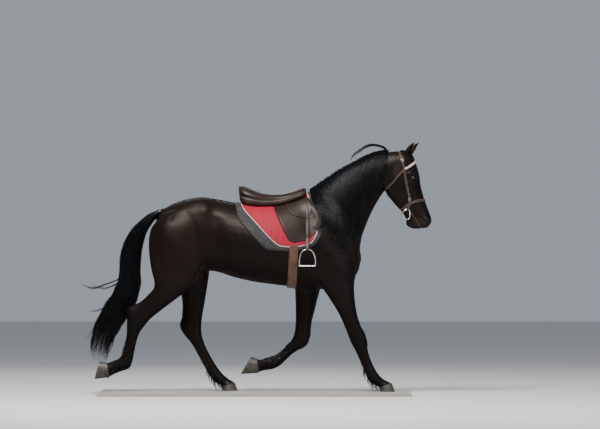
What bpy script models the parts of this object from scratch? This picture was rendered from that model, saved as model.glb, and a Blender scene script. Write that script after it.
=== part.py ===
"""A Friesian horse at the trot, life-size, saddled and bridled, on a flat display base.

The animal is drawn on a proportion grid with 200 squares from the ground to the withers, so one
number sets its size. Each limb is a loft through ribs: a rib is the line between two points of the
outline, with a half width across the body. The lofts are fused into one skin, which is modelled
with muscles, thinned, and parted by thin cuts into the nodes that a person would name.
x runs from the tail to the nose, y to the horse's left and z up. The origin is the middle of the
base's underside.
"""

import itertools
import math
import random

import bmesh
import bpy
import numpy as np
from mathutils import Matrix, Vector
from mathutils.bvhtree import BVHTree

# Driving dimensions, in metres
WITHERS_HEIGHT = 1.60
SQUARES_TO_WITHERS = 200
SQUARE = WITHERS_HEIGHT / SQUARES_TO_WITHERS
BASE_LENGTH, BASE_WIDTH, BASE_THICK = 2.48, 0.84, 0.03
GAP = 0.0004
FLAT_ANGLE = math.radians(0.8)

# Fineness of the skin
SKIN_VOXEL = 0.011
RIB_SIDES = 28
STEPS_BETWEEN_RIBS = 5
TRUNK_AXIS = 150

# Ribs in squares: outline point, opposite outline point, half width, middle's y, pear, squareness.
# A pear above 0 widens the side of the first point, and a squareness of 2 is an ellipse.
TRUNK = [
    ((-99, 174), (-97, 156), 5, 0, 0.0, 2.0),
    ((-94, 180.5), (-92, 142), 15, 0, 0.0, 2.0),
    ((-85, 186.3), (-84, 128), 22, 0, 0.05, 2.1),
    ((-72, 191.3), (-72, 120), 27.5, 0, 0.10, 2.2),
    ((-56, 194.0), (-56, 119), 30, 0, 0.08, 2.25),
    ((-40, 192.3), (-40, 119.5), 31.5, 0, 0.0, 2.2),
    ((-20, 188.6), (-20, 113.5), 35.5, 0, -0.04, 2.15),
    ((0, 186.6), (0, 109.0), 38.5, 0, -0.06, 2.1),
    ((20, 187.4), (20, 106.3), 38, 0, -0.10, 2.05),
    ((38, 192), (38, 104.0), 34.5, 0, -0.18, 2.0),
    ((52, 197.6), (52, 102.0), 30, 0, -0.25, 2.0),
    ((63, 200.5), (64, 101.5), 27.5, 0, -0.28, 2.0),
    ((76, 194), (77, 103), 27, 0, -0.18, 2.1),
    ((90, 182), (91, 108), 24.5, 0, -0.08, 2.2),
    ((100, 165), (101, 117), 19, 0, 0.0, 2.2),
    ((104.5, 152), (104.5, 126), 10, 0, 0.0, 2.0),
]
NECK = [
    ((50, 196), (92, 108), 22, 0, -0.20, 2.0),
    ((62, 205.5), (101, 122), 21.5, 0, -0.24, 2.0),
    ((72, 212.5), (105, 138), 19, 0, -0.26, 2.0),
    ((82, 219), (106.5, 152), 16.5, 0, -0.26, 2.0),
    ((94, 226), (110.5, 164), 14, 0, -0.24, 2.0),
    ((106, 231.8), (116, 177), 12.2, 0, -0.2, 2.0),
    ((119, 236.2), (123, 190), 10.8, 0, -0.14, 2.0),
    ((131, 238.3), (131, 202), 9.8, 0, -0.08, 2.0),
    ((140, 240), (139, 212), 9.0, 0, 0.0, 2.0),
    ((147, 239), (146, 222), 6.0, 0, 0.0, 2.0),
]
HEAD = [
    ((140, 239), (131, 226), 6.0, 0, 0.0, 2.0),
    ((148.5, 240.2), (129.3, 220), 8.8, 0, 0.10, 2.2),
    ((156.5, 236.5), (129.0, 212), 10.4, 0, 0.12, 2.4),
    ((161, 228), (129.5, 203.5), 11.4, 0, 0.14, 2.5),
    ((164.3, 217), (132.5, 194.5), 11.8, 0, 0.12, 2.5),
    ((165.8, 206), (138.5, 186.5), 10.2, 0, 0.06, 2.4),
    ((168.2, 196.5), (144.5, 179.5), 8.4, 0, 0.0, 2.3),
    ((171.2, 187.5), (148.3, 174), 7.2, 0, -0.02, 2.3),
    ((174.3, 179), (150.3, 169.2), 6.9, 0, 0.02, 2.3),
    ((176.8, 172.3), (151.3, 165.5), 7.2, 0, 0.06, 2.3),
    ((176.0, 167.2), (155.5, 163.2), 6.6, 0, 0.04, 2.3),
    ((172.6, 163.2), (161.5, 162.2), 4.6, 0, 0.0, 2.0),
]
FORE_RIGHT = [
    ((99, 138), (56, 150), 11.5, -14, 0.0, 2.0),
    ((100.5, 122), (59, 122), 13.5, -15, 0.0, 2.0),
    ((99, 109), (65.5, 106), 11.8, -15.5, 0.0, 2.0),
    ((99.3, 95), (73.5, 93.5), 9.4, -15.5, 0.0, 2.0),
    ((101, 81), (82, 80), 7.8, -15, 0.05, 2.0),
    ((104.8, 68), (88.2, 67), 6.6, -14.8, 0.05, 2.0),
    ((109.3, 58.3), (92.3, 56.8), 6.3, -14.5, 0.05, 2.2),
    ((111.3, 50.8), (95.5, 48.8), 6.5, -14.3, 0.08, 2.4),
    ((112.2, 43.8), (99.3, 41.8), 5.6, -14.1, 0.05, 2.2),
    ((114.3, 35.8), (103.4, 32.8), 4.3, -13.9, 0.0, 2.0),
    ((117.8, 26.8), (107.4, 23.4), 4.1, -13.7, 0.0, 2.0),
    ((121.8, 19.8), (110.8, 15.4), 4.7, -13.5, 0.0, 2.0),
    ((125.8, 14.6), (114.2, 9.2), 5.2, -13.4, 0.0, 2.0),
    ((130.6, 11.3), (120.4, 5.6), 4.6, -13.3, 0.0, 2.0),
    ((136.0, 8.6), (124.6, 4.6), 6.2, -13.2, 0.0, 2.0),
    ((137.4, 5.4), (126.0, 1.4), 5.6, -13.2, 0.0, 2.0),
]
FORE_LEFT = [
    ((80, 150), (44, 156), 10.5, 14, 0.0, 2.0),
    ((74, 122), (41, 124), 13, 15, 0.0, 2.0),
    ((67, 106), (40, 108), 11.6, 15.5, 0.0, 2.0),
    ((63.6, 95), (40, 97), 9.8, 15.5, 0.0, 2.0),
    ((60.3, 82), (40.4, 83), 8.0, 15, 0.05, 2.0),
    ((57.4, 70), (40.4, 70), 6.8, 14.8, 0.05, 2.0),
    ((55.8, 60), (39.6, 60), 6.4, 14.6, 0.05, 2.2),
    ((54.8, 52.8), (37.8, 53.6), 6.5, 14.4, 0.08, 2.4),
    ((51.8, 46.2), (35.2, 49.4), 6.4, 14.2, 0.08, 2.4),
    ((45.6, 41.8), (31.4, 46.2), 5.6, 14.0, 0.05, 2.2),
    ((37.8, 36.8), (27.2, 41.0), 4.4, 13.8, 0.0, 2.0),
    ((31.2, 30.6), (21.0, 36.6), 4.2, 13.6, 0.0, 2.0),
    ((24.6, 24.6), (15.2, 34.2), 4.8, 13.4, 0.0, 2.0),
    ((17.6, 21.4), (10.2, 32.8), 5.2, 13.2, 0.0, 2.0),
    ((9.6, 20.2), (6.4, 31.4), 4.7, 13.0, 0.0, 2.0),
    ((3.6, 18.4), (2.6, 31.6), 6.2, 12.9, 0.0, 2.0),
    ((0.4, 18.6), (0.4, 31.2), 5.6, 12.9, 0.0, 2.0),
]
HIND_RIGHT = [
    ((-50, 186), (-93, 176), 14, -9, 0.0, 2.0),
    ((-46.5, 170), (-102.5, 163), 18.5, -12.5, 0.0, 2.1),
    ((-46.5, 154), (-105.5, 150), 19.0, -14.5, 0.0, 2.1),
    ((-48, 136), (-104.8, 133), 16.5, -16, 0.0, 2.1),
    ((-52.5, 121), (-102.8, 120), 14.0, -16.5, 0.0, 2.1),
    ((-60, 108), (-100.4, 110.4), 11.6, -16.5, 0.0, 2.0),
    ((-71, 97.8), (-100.6, 103.6), 9.6, -16, 0.0, 2.0),
    ((-82.4, 89.2), (-106, 96.8), 8.2, -15.5, 0.0, 2.0),
    ((-94.4, 79.6), (-114.2, 89.4), 7.0, -15, 0.0, 2.0),
    ((-103.2, 72.4), (-122.6, 85.6), 6.4, -14.6, 0.0, 2.1),
    ((-109.4, 65.4), (-127.4, 81.6), 6.6, -14.3, 0.0, 2.2),
    ((-114.4, 58.4), (-127.6, 71.8), 6.2, -14.0, 0.0, 2.2),
    ((-117.4, 49.6), (-127.8, 58.2), 4.7, -13.7, 0.0, 2.0),
    ((-119.4, 40.6), (-129.8, 46.6), 4.3, -13.4, 0.0, 2.0),
    ((-121.2, 31.8), (-131.8, 37.2), 4.8, -13.2, 0.0, 2.0),
    ((-124.2, 23.6), (-134.6, 33.4), 5.4, -13.0, 0.0, 2.0),
    ((-130.8, 20.6), (-138.6, 31.6), 5.2, -12.8, 0.0, 2.0),
    ((-138.2, 17.8), (-142.8, 29.4), 4.8, -12.6, 0.0, 2.0),
    ((-144.4, 14.6), (-146.6, 28.6), 6.3, -12.5, 0.0, 2.0),
    ((-147.6, 14.2), (-148.8, 27.6), 5.6, -12.5, 0.0, 2.0),
]
HIND_LEFT = [
    ((-50, 186), (-93, 176), 14, 9, 0.0, 2.0),
    ((-46, 170), (-101, 163), 18.5, 12.5, 0.0, 2.1),
    ((-45, 154), (-101, 149), 19.0, 14.5, 0.0, 2.1),
    ((-45, 136), (-94, 130), 16.5, 16, 0.0, 2.1),
    ((-46, 119), (-84, 114), 13.4, 16.5, 0.0, 2.1),
    ((-48, 104), (-76, 101), 10.8, 16.3, 0.0, 2.0),
    ((-50.4, 89), (-73.4, 87.6), 8.6, 16, 0.0, 2.0),
    ((-52.6, 76), (-73.8, 75), 7.2, 15.6, 0.0, 2.0),
    ((-53.8, 66.5), (-75.2, 66), 6.6, 15.2, 0.0, 2.2),
    ((-53.4, 56.6), (-72.8, 58), 6.4, 14.8, 0.0, 2.2),
    ((-50.4, 46.8), (-64.0, 46.8), 5.0, 14.3, 0.0, 2.0),
    ((-45.4, 36.4), (-57.4, 35.4), 4.4, 13.8, 0.0, 2.0),
    ((-39.6, 26.6), (-51.8, 25.0), 4.4, 13.4, 0.0, 2.0),
    ((-33.6, 18.4), (-46.6, 15.6), 4.9, 13.1, 0.0, 2.0),
    ((-29.0, 14.0), (-41.2, 9.0), 5.4, 12.9, 0.0, 2.0),
    ((-24.8, 11.0), (-35.6, 5.8), 4.9, 12.8, 0.0, 2.0),
    ((-20.6, 8.4), (-33.4, 4.6), 6.4, 12.7, 0.0, 2.0),
    ((-19.2, 5.2), (-32.0, 1.4), 5.8, 12.7, 0.0, 2.0),
]


def place(x, y, z):
    """Squares of the drawing grid to metres, with the ground at the top of the base."""
    return Vector((x * SQUARE, y * SQUARE, z * SQUARE + BASE_THICK))


def smooth_rows(rows, steps):
    """Rows of numbers with `steps` more between each two, on a Catmull-Rom curve."""
    rows = np.asarray(rows, float)
    padded = np.vstack([2 * rows[0] - rows[1], rows, 2 * rows[-1] - rows[-2]])
    a, b, c, d = padded[:-3], padded[1:-2], padded[2:-1], padded[3:]
    t = (np.arange(steps) / steps)[None, :, None]
    a, b, c, d = (v[:, None, :] for v in (a, b, c, d))
    curve = 0.5 * (2 * b + (c - a) * t + (2 * a - 5 * b + 4 * c - d) * t**2
                   + (3 * b - a - 3 * c + d) * t**3)
    return np.vstack([curve.reshape(-1, rows.shape[1]), rows[-1:]])


def ring_points(rows, sides):
    """Superellipse rings for ribs given as rows of ten numbers, as an array (rib, side, xyz)."""
    fx, fz, bx, bz, width, middle, pear, square = (rows[:, i, None] for i in range(8))
    angle = np.linspace(0, 2 * math.pi, sides, endpoint=False)[None, :]
    power = 2 / square
    along = np.sign(np.cos(angle)) * np.abs(np.cos(angle)) ** power
    across = np.sign(np.sin(angle)) * np.abs(np.sin(angle)) ** power
    x = (fx + bx) / 2 + (fx - bx) / 2 * along
    z = (fz + bz) / 2 + (fz - bz) / 2 * along
    y = middle + width * across * (1 + pear * along)
    return np.stack([x * SQUARE, y * SQUARE, z * SQUARE + BASE_THICK], axis=2)


def mesh_object(name, points, faces):
    mesh = bpy.data.meshes.new(name)
    mesh.from_pydata([tuple(p) for p in points], [], [tuple(f) for f in faces])
    mesh.validate()
    made = bpy.data.objects.new(name, mesh)
    bpy.context.scene.collection.objects.link(made)
    return made


def closed_stack(name, rings):
    """A closed mesh through rings of equal count, with a flat face over each end."""
    count, sides = rings.shape[0], rings.shape[1]
    faces = []
    for i in range(count - 1):
        for j in range(sides):
            k = (j + 1) % sides
            faces.append((i * sides + j, i * sides + k, (i + 1) * sides + k, (i + 1) * sides + j))
    faces.append(tuple(range(sides - 1, -1, -1)))
    faces.append(tuple((count - 1) * sides + j for j in range(sides)))
    made = mesh_object(name, rings.reshape(-1, 3), faces)
    face_outwards(made)
    return made


def face_outwards(obj):
    """Recalculates the normals and turns a mesh whose volume comes out negative."""
    work = bmesh.new()
    work.from_mesh(obj.data)
    bmesh.ops.recalc_face_normals(work, faces=work.faces[:])
    if work.calc_volume(signed=True) < 0:
        bmesh.ops.reverse_faces(work, faces=work.faces[:])
    work.to_mesh(obj.data)
    work.free()


def loft(name, ribs, sides=RIB_SIDES, steps=STEPS_BETWEEN_RIBS):
    rows = np.array([[*front, *back, *rest] for front, back, *rest in ribs], float)
    return closed_stack(name, ring_points(smooth_rows(rows, steps), sides))


def apply_modifiers(obj):
    """Replaces an object's mesh by what its modifiers make of it."""
    graph = bpy.context.evaluated_depsgraph_get()
    mesh = bpy.data.meshes.new_from_object(obj.evaluated_get(graph))
    obj.modifiers.clear()
    old = obj.data
    obj.data = mesh
    bpy.data.meshes.remove(old)


def joined(name, objects):
    """One object holding the meshes of several, without joining their surfaces."""
    work = bmesh.new()
    for obj in objects:
        work.from_mesh(obj.data)
    mesh = bpy.data.meshes.new(name)
    work.to_mesh(mesh)
    work.free()
    for obj in objects:
        bpy.data.objects.remove(obj)
    made = bpy.data.objects.new(name, mesh)
    bpy.context.scene.collection.objects.link(made)
    return made


# Muscles, bones and hollows that both sides have: from, to, reach and height in squares.
PAIRED_FORMS = {
    "shoulder blade": ((60, 20, 186), (96, 23, 146), 10, 1.8),
    "hollow behind the shoulder": ((49, 26, 186), (60, 28, 134), 6, -1.0),
    "triceps": ((64, 27, 152), (80, 26, 128), 9, 1.8),
    "point of the shoulder": ((99, 17, 142), (99, 18, 136), 6, 1.4),
    "pectoral": ((104, 8, 132), (96, 9, 114), 7, 1.8),
    "flank hollow": ((-40, 30, 168), (-38, 31, 150), 8, -1.7),
    "hook of the hip": ((-47, 24, 184), (-49, 26, 180), 5, 1.3),
    "gluteal": ((-56, 19, 188), (-86, 19, 174), 11, 1.6),
    "thigh": ((-90, 27, 164), (-74, 30, 130), 10, 1.5),
    "thigh groove": ((-100, 24, 160), (-91, 27, 118), 3.5, -1.0),
    "cheek": ((141, 10, 212), (143, 9, 200), 8, 1.0),
    "jaw edge": ((130.5, 7, 214), (136, 7.5, 194), 3, 0.6),
    "cheek bone": ((154, 11, 207), (163, 8.5, 193), 2.2, 1.0),
    "brow": ((160.5, 9, 218), (155.5, 11, 217), 3.0, 1.5),
    "temple hollow": ((153, 9, 226), (155, 9, 223), 2.6, -1.1),
    "nose hollow": ((166, 8, 198), (170, 7, 184), 3.0, -0.7),
    "nostril rim": ((175.5, 6, 174.5), (172.5, 6.5, 170), 2.6, 1.5),
    "upper lip": ((173, 5, 165), (166, 5.5, 166), 2.6, 0.9),
    "chin": ((159.5, 4, 163.5), (157, 4, 164), 3.2, 0.9),
    "neck furrow": ((100, 10, 160), (124, 7, 194), 4, -0.8),
}
MIDDLE_FORMS = {
    "breast furrow": ((108, 0, 142), (101, 0, 112), 4, -1.4),
    "croup furrow": ((-58, 0, 196), (-94, 0, 182), 4, -0.9),
    "furrow under the jaw": ((136, 0, 192), (150, 0, 172), 3, -1.8),
    "crest": ((84, 0, 218), (134, 0, 241), 5, 0.5),
}
LEG_FORMS = {
    "right stifle": ((-54, -29, 121), (-57, -27, 113), 6, 1.5),
    "left stifle": ((-46, 29, 120), (-50, 27, 110), 6, 1.3),
    "right gaskin": ((-66, -24, 104), (-86, -22, 90), 6, 1.2),
    "left gaskin": ((-58, 24, 104), (-60, 23, 84), 6, 1.2),
    "right hock bone": ((-119, -15, 79), (-126, -15, 83), 3.5, 0.9),
    "left hock bone": ((-70, 15, 62), (-75, 15, 66), 3.5, 0.9),
    "right forearm": ((93, -22, 98), (95, -20, 82), 6, 1.2),
    "left forearm": ((56, 22, 98), (52, 20, 82), 6, 1.2),
    "right knee": ((107, -15, 56), (110, -15, 48), 3.6, 0.9),
    "left knee": ((53, 15, 57), (48, 15, 45), 3.6, 0.9),
    "right elbow": ((62, -24, 118), (60, -22, 112), 5, 1.2),
    "left elbow": ((44, 24, 118), (42, 22, 112), 5, 1.2),
}


def all_forms():
    """Every form as (from, to, reach, height) arrays in metres, the paired ones on both sides."""
    listed = [*MIDDLE_FORMS.values(), *LEG_FORMS.values()]
    for start, end, reach, height in PAIRED_FORMS.values():
        for side in (1, -1):
            listed.append(((start[0], side * start[1], start[2]),
                           (end[0], side * end[1], end[2]), reach, height))
    return [(np.array(place(*a)), np.array(place(*b)), r * SQUARE, h * SQUARE)
            for a, b, r, h in listed]


def vertex_arrays(mesh):
    points = np.empty(len(mesh.vertices) * 3, np.float32)
    normals = np.empty(len(mesh.vertices) * 3, np.float32)
    mesh.vertices.foreach_get("co", points)
    mesh.vertex_normals.foreach_get("vector", normals)
    return points.reshape(-1, 3).astype(float), normals.reshape(-1, 3).astype(float)


def swell(obj, forms):
    """Moves each point along its normal by every form's height, fading with its distance."""
    points, normals = vertex_arrays(obj.data)
    rise = np.zeros(len(points))
    for start, end, reach, height in forms:
        line = end - start
        t = np.clip((points - start) @ line / (line @ line), 0, 1)
        away = ((points - start - t[:, None] * line) ** 2).sum(1)
        rise += height * np.exp(-away / reach**2)
    obj.data.vertices.foreach_set("co", (points + normals * rise[:, None]).astype(np.float32).ravel())
    obj.data.update()


def islands_in(work):
    """The separate surfaces of a bmesh as lists of vertices, the largest box first."""
    left, islands = set(work.verts), []
    while left:
        seed = left.pop()
        island, edge = [seed], [seed]
        while edge:
            for link in edge.pop().link_edges:
                for vert in link.verts:
                    if vert in left:
                        left.discard(vert)
                        island.append(vert)
                        edge.append(vert)
        islands.append(island)
    return sorted(islands, key=extent_of, reverse=True)


def extent_of(island):
    points = np.array([v.co for v in island])
    return float(np.prod(points.max(0) - points.min(0) + 1e-6))


def keep_largest(obj):
    """Drops every loose scrap and sealed hollow of a mesh but its largest closed surface."""
    work = bmesh.new()
    work.from_mesh(obj.data)
    extra = [v for island in islands_in(work)[1:] for v in island]
    bmesh.ops.delete(work, geom=extra, context="VERTS")
    work.to_mesh(obj.data)
    work.free()


def fused_skin(lofts):
    """One smooth skin round all the lofts, with its muscles."""
    skin = joined("skin", lofts)
    fuse = skin.modifiers.new("fuse", "REMESH")
    fuse.mode = "VOXEL"
    fuse.voxel_size = SKIN_VOXEL
    apply_modifiers(skin)
    keep_largest(skin)
    soften = skin.modifiers.new("soften", "SMOOTH")
    soften.factor = 0.5
    soften.iterations = 9
    apply_modifiers(skin)
    swell(skin, all_forms())
    return skin


def body_lofts():
    tables = {"trunk": TRUNK, "neck": NECK, "head": HEAD, "fore_right": FORE_RIGHT,
              "fore_left": FORE_LEFT, "hind_right": HIND_RIGHT, "hind_left": HIND_LEFT}
    return [loft(name, ribs) for name, ribs in tables.items()]

# Thin cuts that part the skin: line across the limb, and its reach to the right and left, in squares.
CUTS = {
    "neck root": ((52, 211), (114, 130), -40, 40),
    "throat": ((133, 246), (126.4, 190), -20, 20),
    "right elbow": ((57, 93.2), (112, 109.5), -32, -2.5),
    "left elbow": ((31, 101), (75, 90.8), 2.5, 32),
    "right knee": ((89, 52), (117, 54.6), -26, -4),
    "left knee": ((31, 52.2), (60, 48.6), 4, 26),
    "right stifle": ((-107, 122.3), (-69, 74.4), -32, -2.5),
    "left stifle": ((-83, 99.7), (-40, 102.3), 2.5, 32),
    "right hock": ((-109, 57), (-133, 78.6), -26, -4),
    "left hock": ((-48, 55.4), (-80, 59.6), 4, 26),
    "right fore coronet": ((120.6, 3.2), (141.0, 10.4), -24, -4),
    "left fore coronet": ((3.9, 14.4), (2.3, 35.6), 4, 24),
    "right hind coronet": ((-143.7, 10.2), (-147.3, 33.0), -24, -4),
    "left hind coronet": ((-37.4, 3.4), (-16.6, 9.6), 4, 24),
}
# A point inside each node of the skin, in squares.
NODE_SEEDS = {
    "torso": (0, 0, 150),
    "neck": (100, 0, 190),
    "head": (152, 0, 205),
    "fore_right_forearm": (90, -15, 78),
    "fore_right_cannon": (110, -14, 28),
    "fore_left_forearm": (50, 15, 76),
    "fore_left_cannon": (27, 14, 35),
    "hind_right_gaskin": (-104, -15, 88),
    "hind_right_cannon": (-124, -13, 45),
    "hind_left_gaskin": (-62, 15, 84),
    "hind_left_cannon": (-50, 14, 33),
}
# Triangles left in each region of the skin: lowest and highest x and z in squares.
REGIONS = {
    "head": ((127, 200), (150, 260), 1000),
    "neck": ((56, 127), (170, 260), 420),
    "legs": ((-200, 200), (-10, 104), 1400),
    "trunk": ((-120, 127), (104, 215), 1080),
}


# Triangles left in nodes that many Booleans cut or join.
TRIMMED = {"neck": 2250, "head": 2300, "tail": 640, "tail_lower": 1250,
           "fore_right_cannon": 520, "fore_left_cannon": 520, "hind_right_cannon": 520,
           "hind_left_cannon": 520, "bridle_headpiece": 560, "bridle_noseband": 260,
           "bridle_throatlash": 240}


def material(name, colour, roughness, metallic=0.0):
    made = bpy.data.materials.new(name)
    made.use_nodes = True
    shader = made.node_tree.nodes["Principled BSDF"]
    shader.inputs["Base Color"].default_value = (*colour, 1.0)
    shader.inputs["Roughness"].default_value = roughness
    shader.inputs["Metallic"].default_value = metallic
    made.diffuse_color = (*colour, 1.0)
    return made


def thin(obj):
    """Thins the skin region by region, each to about its own number of triangles."""
    for (low_x, high_x), (low_z, high_z), wanted in REGIONS.values():
        points, _ = vertex_arrays(obj.data)
        x, z = points[:, 0] / SQUARE, (points[:, 2] - BASE_THICK) / SQUARE
        inside = (x >= low_x) & (x < high_x) & (z >= low_z) & (z < high_z)
        obj.data.calc_loop_triangles()
        corners = np.empty(len(obj.data.loop_triangles) * 3, np.int32)
        obj.data.loop_triangles.foreach_get("vertices", corners)
        there = int(inside[corners.reshape(-1, 3)].all(1).sum())
        group = obj.vertex_groups.new(name="may go")
        group.add(np.nonzero(inside)[0].tolist(), 1.0, "REPLACE")
        less = obj.modifiers.new("thin", "DECIMATE")
        less.ratio = 1 - (there - wanted) / len(obj.data.loop_triangles)
        less.vertex_group = group.name
        less.use_collapse_triangulate = True
        apply_modifiers(obj)
        obj.vertex_groups.clear()


def trim(obj, wanted):
    """Removes the slivers that Booleans leave, down to about a wanted number of triangles."""
    less = obj.modifiers.new("trim", "DECIMATE")
    less.ratio = min(1.0, wanted / len(obj.data.polygons))
    less.use_collapse_triangulate = True
    graph = bpy.context.evaluated_depsgraph_get()
    mesh = bpy.data.meshes.new_from_object(obj.evaluated_get(graph))
    obj.modifiers.clear()
    if triangulated(mesh):
        obj.data = mesh


def part_shared_edges(work, source):
    """Where two faces were split along one and the same line, gives one of them a middle point."""
    for edge in [edge for edge in work.edges if len(edge.link_faces) > 2]:
        pairs = itertools.combinations(list(edge.link_faces), 2)
        split = next((pair for pair in pairs if pair[0][source] == pair[1][source]), None)
        if split is None:
            continue
        start, end = edge.verts
        middle = work.verts.new((start.co + end.co) / 2)
        for face in split:
            corners, number = list(face.verts), face[source]
            work.faces.remove(face)
            for gone in (start, end):
                half = work.faces.new([middle if vert is gone else vert for vert in corners])
                half[source] = number


def triangulated(mesh, flat_angle=None):
    """Splits a mesh's faces into triangles, and says whether they then close it.

    With an angle, faces that lie flat together within it are merged first.
    """
    work = bmesh.new()
    work.from_mesh(mesh)
    if flat_angle is not None:
        bmesh.ops.dissolve_limit(work, angle_limit=flat_angle, verts=work.verts[:], edges=work.edges[:])
    source = work.faces.layers.int.new("source")
    for number, face in enumerate(work.faces):
        face[source] = number
    bmesh.ops.triangulate(work, faces=work.faces[:])
    part_shared_edges(work, source)
    work.faces.layers.int.remove(source)
    closed = all(edge.is_contiguous for edge in work.edges)
    if closed or flat_angle is None:
        work.to_mesh(mesh)
    work.free()
    return closed


def boolean(obj, cutters, operation, solvers=("MANIFOLD", "EXACT")):
    """Applies one Boolean on a collection of closed meshes, and removes them.

    All are split into triangles first, as a bent face could be cut along one diagonal and kept
    along the other. The solvers are tried in turn until one gives a closed mesh.
    """
    for part in (obj, *cutters):
        triangulated(part.data)
    group = bpy.data.collections.new("cutters")
    bpy.context.scene.collection.children.link(group)
    for cutter in cutters:
        for holder in cutter.users_collection:
            holder.objects.unlink(cutter)
        group.objects.link(cutter)
    for solver in solvers:
        work = obj.modifiers.new(operation.lower(), "BOOLEAN")
        work.operation = operation
        work.operand_type = "COLLECTION"
        work.collection = group
        work.solver = solver
        graph = bpy.context.evaluated_depsgraph_get()
        mesh = bpy.data.meshes.new_from_object(obj.evaluated_get(graph))
        obj.modifiers.clear()
        if triangulated(mesh):
            break
        print(f"{obj.name}: {solver} {operation} left an edge open")
    old = obj.data
    obj.data = mesh
    bpy.data.meshes.remove(old)
    for cutter in cutters:
        bpy.data.objects.remove(cutter)
    bpy.data.collections.remove(group)


def thin_plate(name, start, end, low_y, high_y):
    """A plate two gaps thick on the line from start to end, from low_y to high_y."""
    a, b = place(start[0], 0, start[1]), place(end[0], 0, end[1])
    along = (b - a).normalized()
    thick = Vector((-along.z, 0, along.x)) * GAP / 2
    corners = [(a - thick, low_y), (b - thick, low_y), (b + thick, low_y), (a + thick, low_y)]
    points = [Vector((p.x, y * SQUARE, p.z)) for p, y in corners]
    points += [Vector((p.x, high_y * SQUARE, p.z)) for p, _ in corners]
    faces = [(0, 1, 2, 3), (7, 6, 5, 4), (0, 4, 5, 1), (1, 5, 6, 2), (2, 6, 7, 3), (3, 7, 4, 0)]
    plate = mesh_object(name, points, faces)
    face_outwards(plate)
    return plate


def split_islands(obj):
    """The separate closed surfaces of a mesh, each as an object of its own, largest first."""
    work = bmesh.new()
    work.from_mesh(obj.data)
    made = []
    for number, island in enumerate(islands_in(work)):
        order = {vert: i for i, vert in enumerate(island)}
        faces = {face for vert in island for face in vert.link_faces}
        corners = [[order[vert] for vert in face.verts] for face in sorted(faces, key=face_number)]
        made.append(mesh_object(f"piece_{number}", [vert.co for vert in island], corners))
    work.free()
    bpy.data.objects.remove(obj)
    return made


def face_number(face):
    return face.index


def middle_of(obj):
    points, _ = vertex_arrays(obj.data)
    return (points.min(0) + points.max(0)) / 2


def parted(skin):
    """The skin's nodes by name. The stubs beyond the coronets are dropped, as the hooves go there."""
    plates = [thin_plate(name, *cut) for name, cut in CUTS.items()]
    boolean(skin, plates, "DIFFERENCE", ("EXACT",))
    pieces = split_islands(skin)
    middles = {piece: middle_of(piece) for piece in pieces}
    nodes = {}
    for name, seed in NODE_SEEDS.items():
        at = np.array(place(*seed))
        nearest = min(middles, key=lambda piece: float(np.linalg.norm(middles[piece] - at)))
        middles.pop(nearest)
        nodes[name] = renamed(nearest, name)
    for scrap in middles:
        bpy.data.objects.remove(scrap)
    return nodes


def renamed(obj, name):
    obj.name = name
    obj.data.name = name
    return obj


def surface_tree(obj):
    work = bmesh.new()
    work.from_mesh(obj.data)
    tree = BVHTree.FromBMesh(work)
    work.free()
    return tree


def side_point(tree, x, z, side):
    """Where a level line from one side, in squares, meets the skin, or the skin's nearest point."""
    hit = tree.ray_cast(place(x, side * 60, z), Vector((0, -side, 0)))[0]
    if hit is None or hit.y * side < 0.01:
        hit = tree.find_nearest(place(x, side * 9, z))[0]
    return hit


def round_point(tree, x, angle):
    """Where a line outwards from the trunk's axis meets the skin. An angle of 0 points up."""
    way = Vector((0, math.sin(angle), math.cos(angle)))
    return tree.ray_cast(place(x, 0, TRUNK_AXIS), way)[0]


def grid_normals(points, outward, wrap=False):
    """Unit normals of a grid of points (row, column, xyz), on the side that `outward` points to."""
    along = np.gradient(points, axis=0)
    if wrap:
        along = np.roll(points, -1, 0) - np.roll(points, 1, 0)
    normals = np.cross(along, np.gradient(points, axis=1))
    normals /= np.linalg.norm(normals, axis=2, keepdims=True) + 1e-12
    return normals * np.sign((normals * outward).sum())


def sheet(name, points, normals, low, high, wrap=False):
    """A closed sheet over a grid of points, between two heights above it, which may vary by row."""
    rows, columns = points.shape[:2]
    low, high = (np.broadcast_to(np.atleast_1d(h), rows)[:, None, None] for h in (low, high))
    shell = np.stack([points + normals * low, points + normals * high])
    number = np.arange(2 * rows * columns).reshape(2, rows, columns)
    if wrap:
        number = np.concatenate([number, number[:, :1]], axis=1)
    faces = []
    for layer in number:
        faces += quads(layer)
    faces += quads(number[:, :, 0]) + quads(number[:, :, -1])
    if not wrap:
        faces += quads(number[:, 0]) + quads(number[:, -1])
    made = mesh_object(name, shell.reshape(-1, 3), faces)
    face_outwards(made)
    return made


def quads(grid):
    """Four-cornered faces between neighbours in a grid of vertex numbers."""
    corners = np.stack([grid[:-1, :-1], grid[1:, :-1], grid[1:, 1:], grid[:-1, 1:]], axis=-1)
    return corners.reshape(-1, 4).tolist()


def inflated(obj, by=GAP):
    """A copy of a closed mesh pushed out along its normals."""
    copy = bpy.data.objects.new(obj.name + "_grown", obj.data.copy())
    bpy.context.scene.collection.objects.link(copy)
    points, normals = vertex_arrays(copy.data)
    copy.data.vertices.foreach_set("co", (points + normals * by).astype(np.float32).ravel())
    copy.data.update()
    return copy


def carve(obj, neighbours, gap=GAP):
    """Cuts a node clear of its neighbours by the gap, and keeps its largest piece."""
    for neighbour in neighbours:
        boolean(obj, [inflated(neighbour, gap)], "DIFFERENCE")
    keep_largest(obj)


def fuse(obj, others):
    boolean(obj, others, "UNION")
    keep_largest(obj)


def box(name, low, high):
    """A closed box between two corners in metres."""
    xs, ys, zs = zip(low, high)
    points = [(x, y, z) for x in xs for y in ys for z in zs]
    faces = [(0, 1, 3, 2), (4, 6, 7, 5), (0, 4, 5, 1), (2, 3, 7, 6), (0, 2, 6, 4), (1, 5, 7, 3)]
    made = mesh_object(name, points, faces)
    face_outwards(made)
    return made


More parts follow.
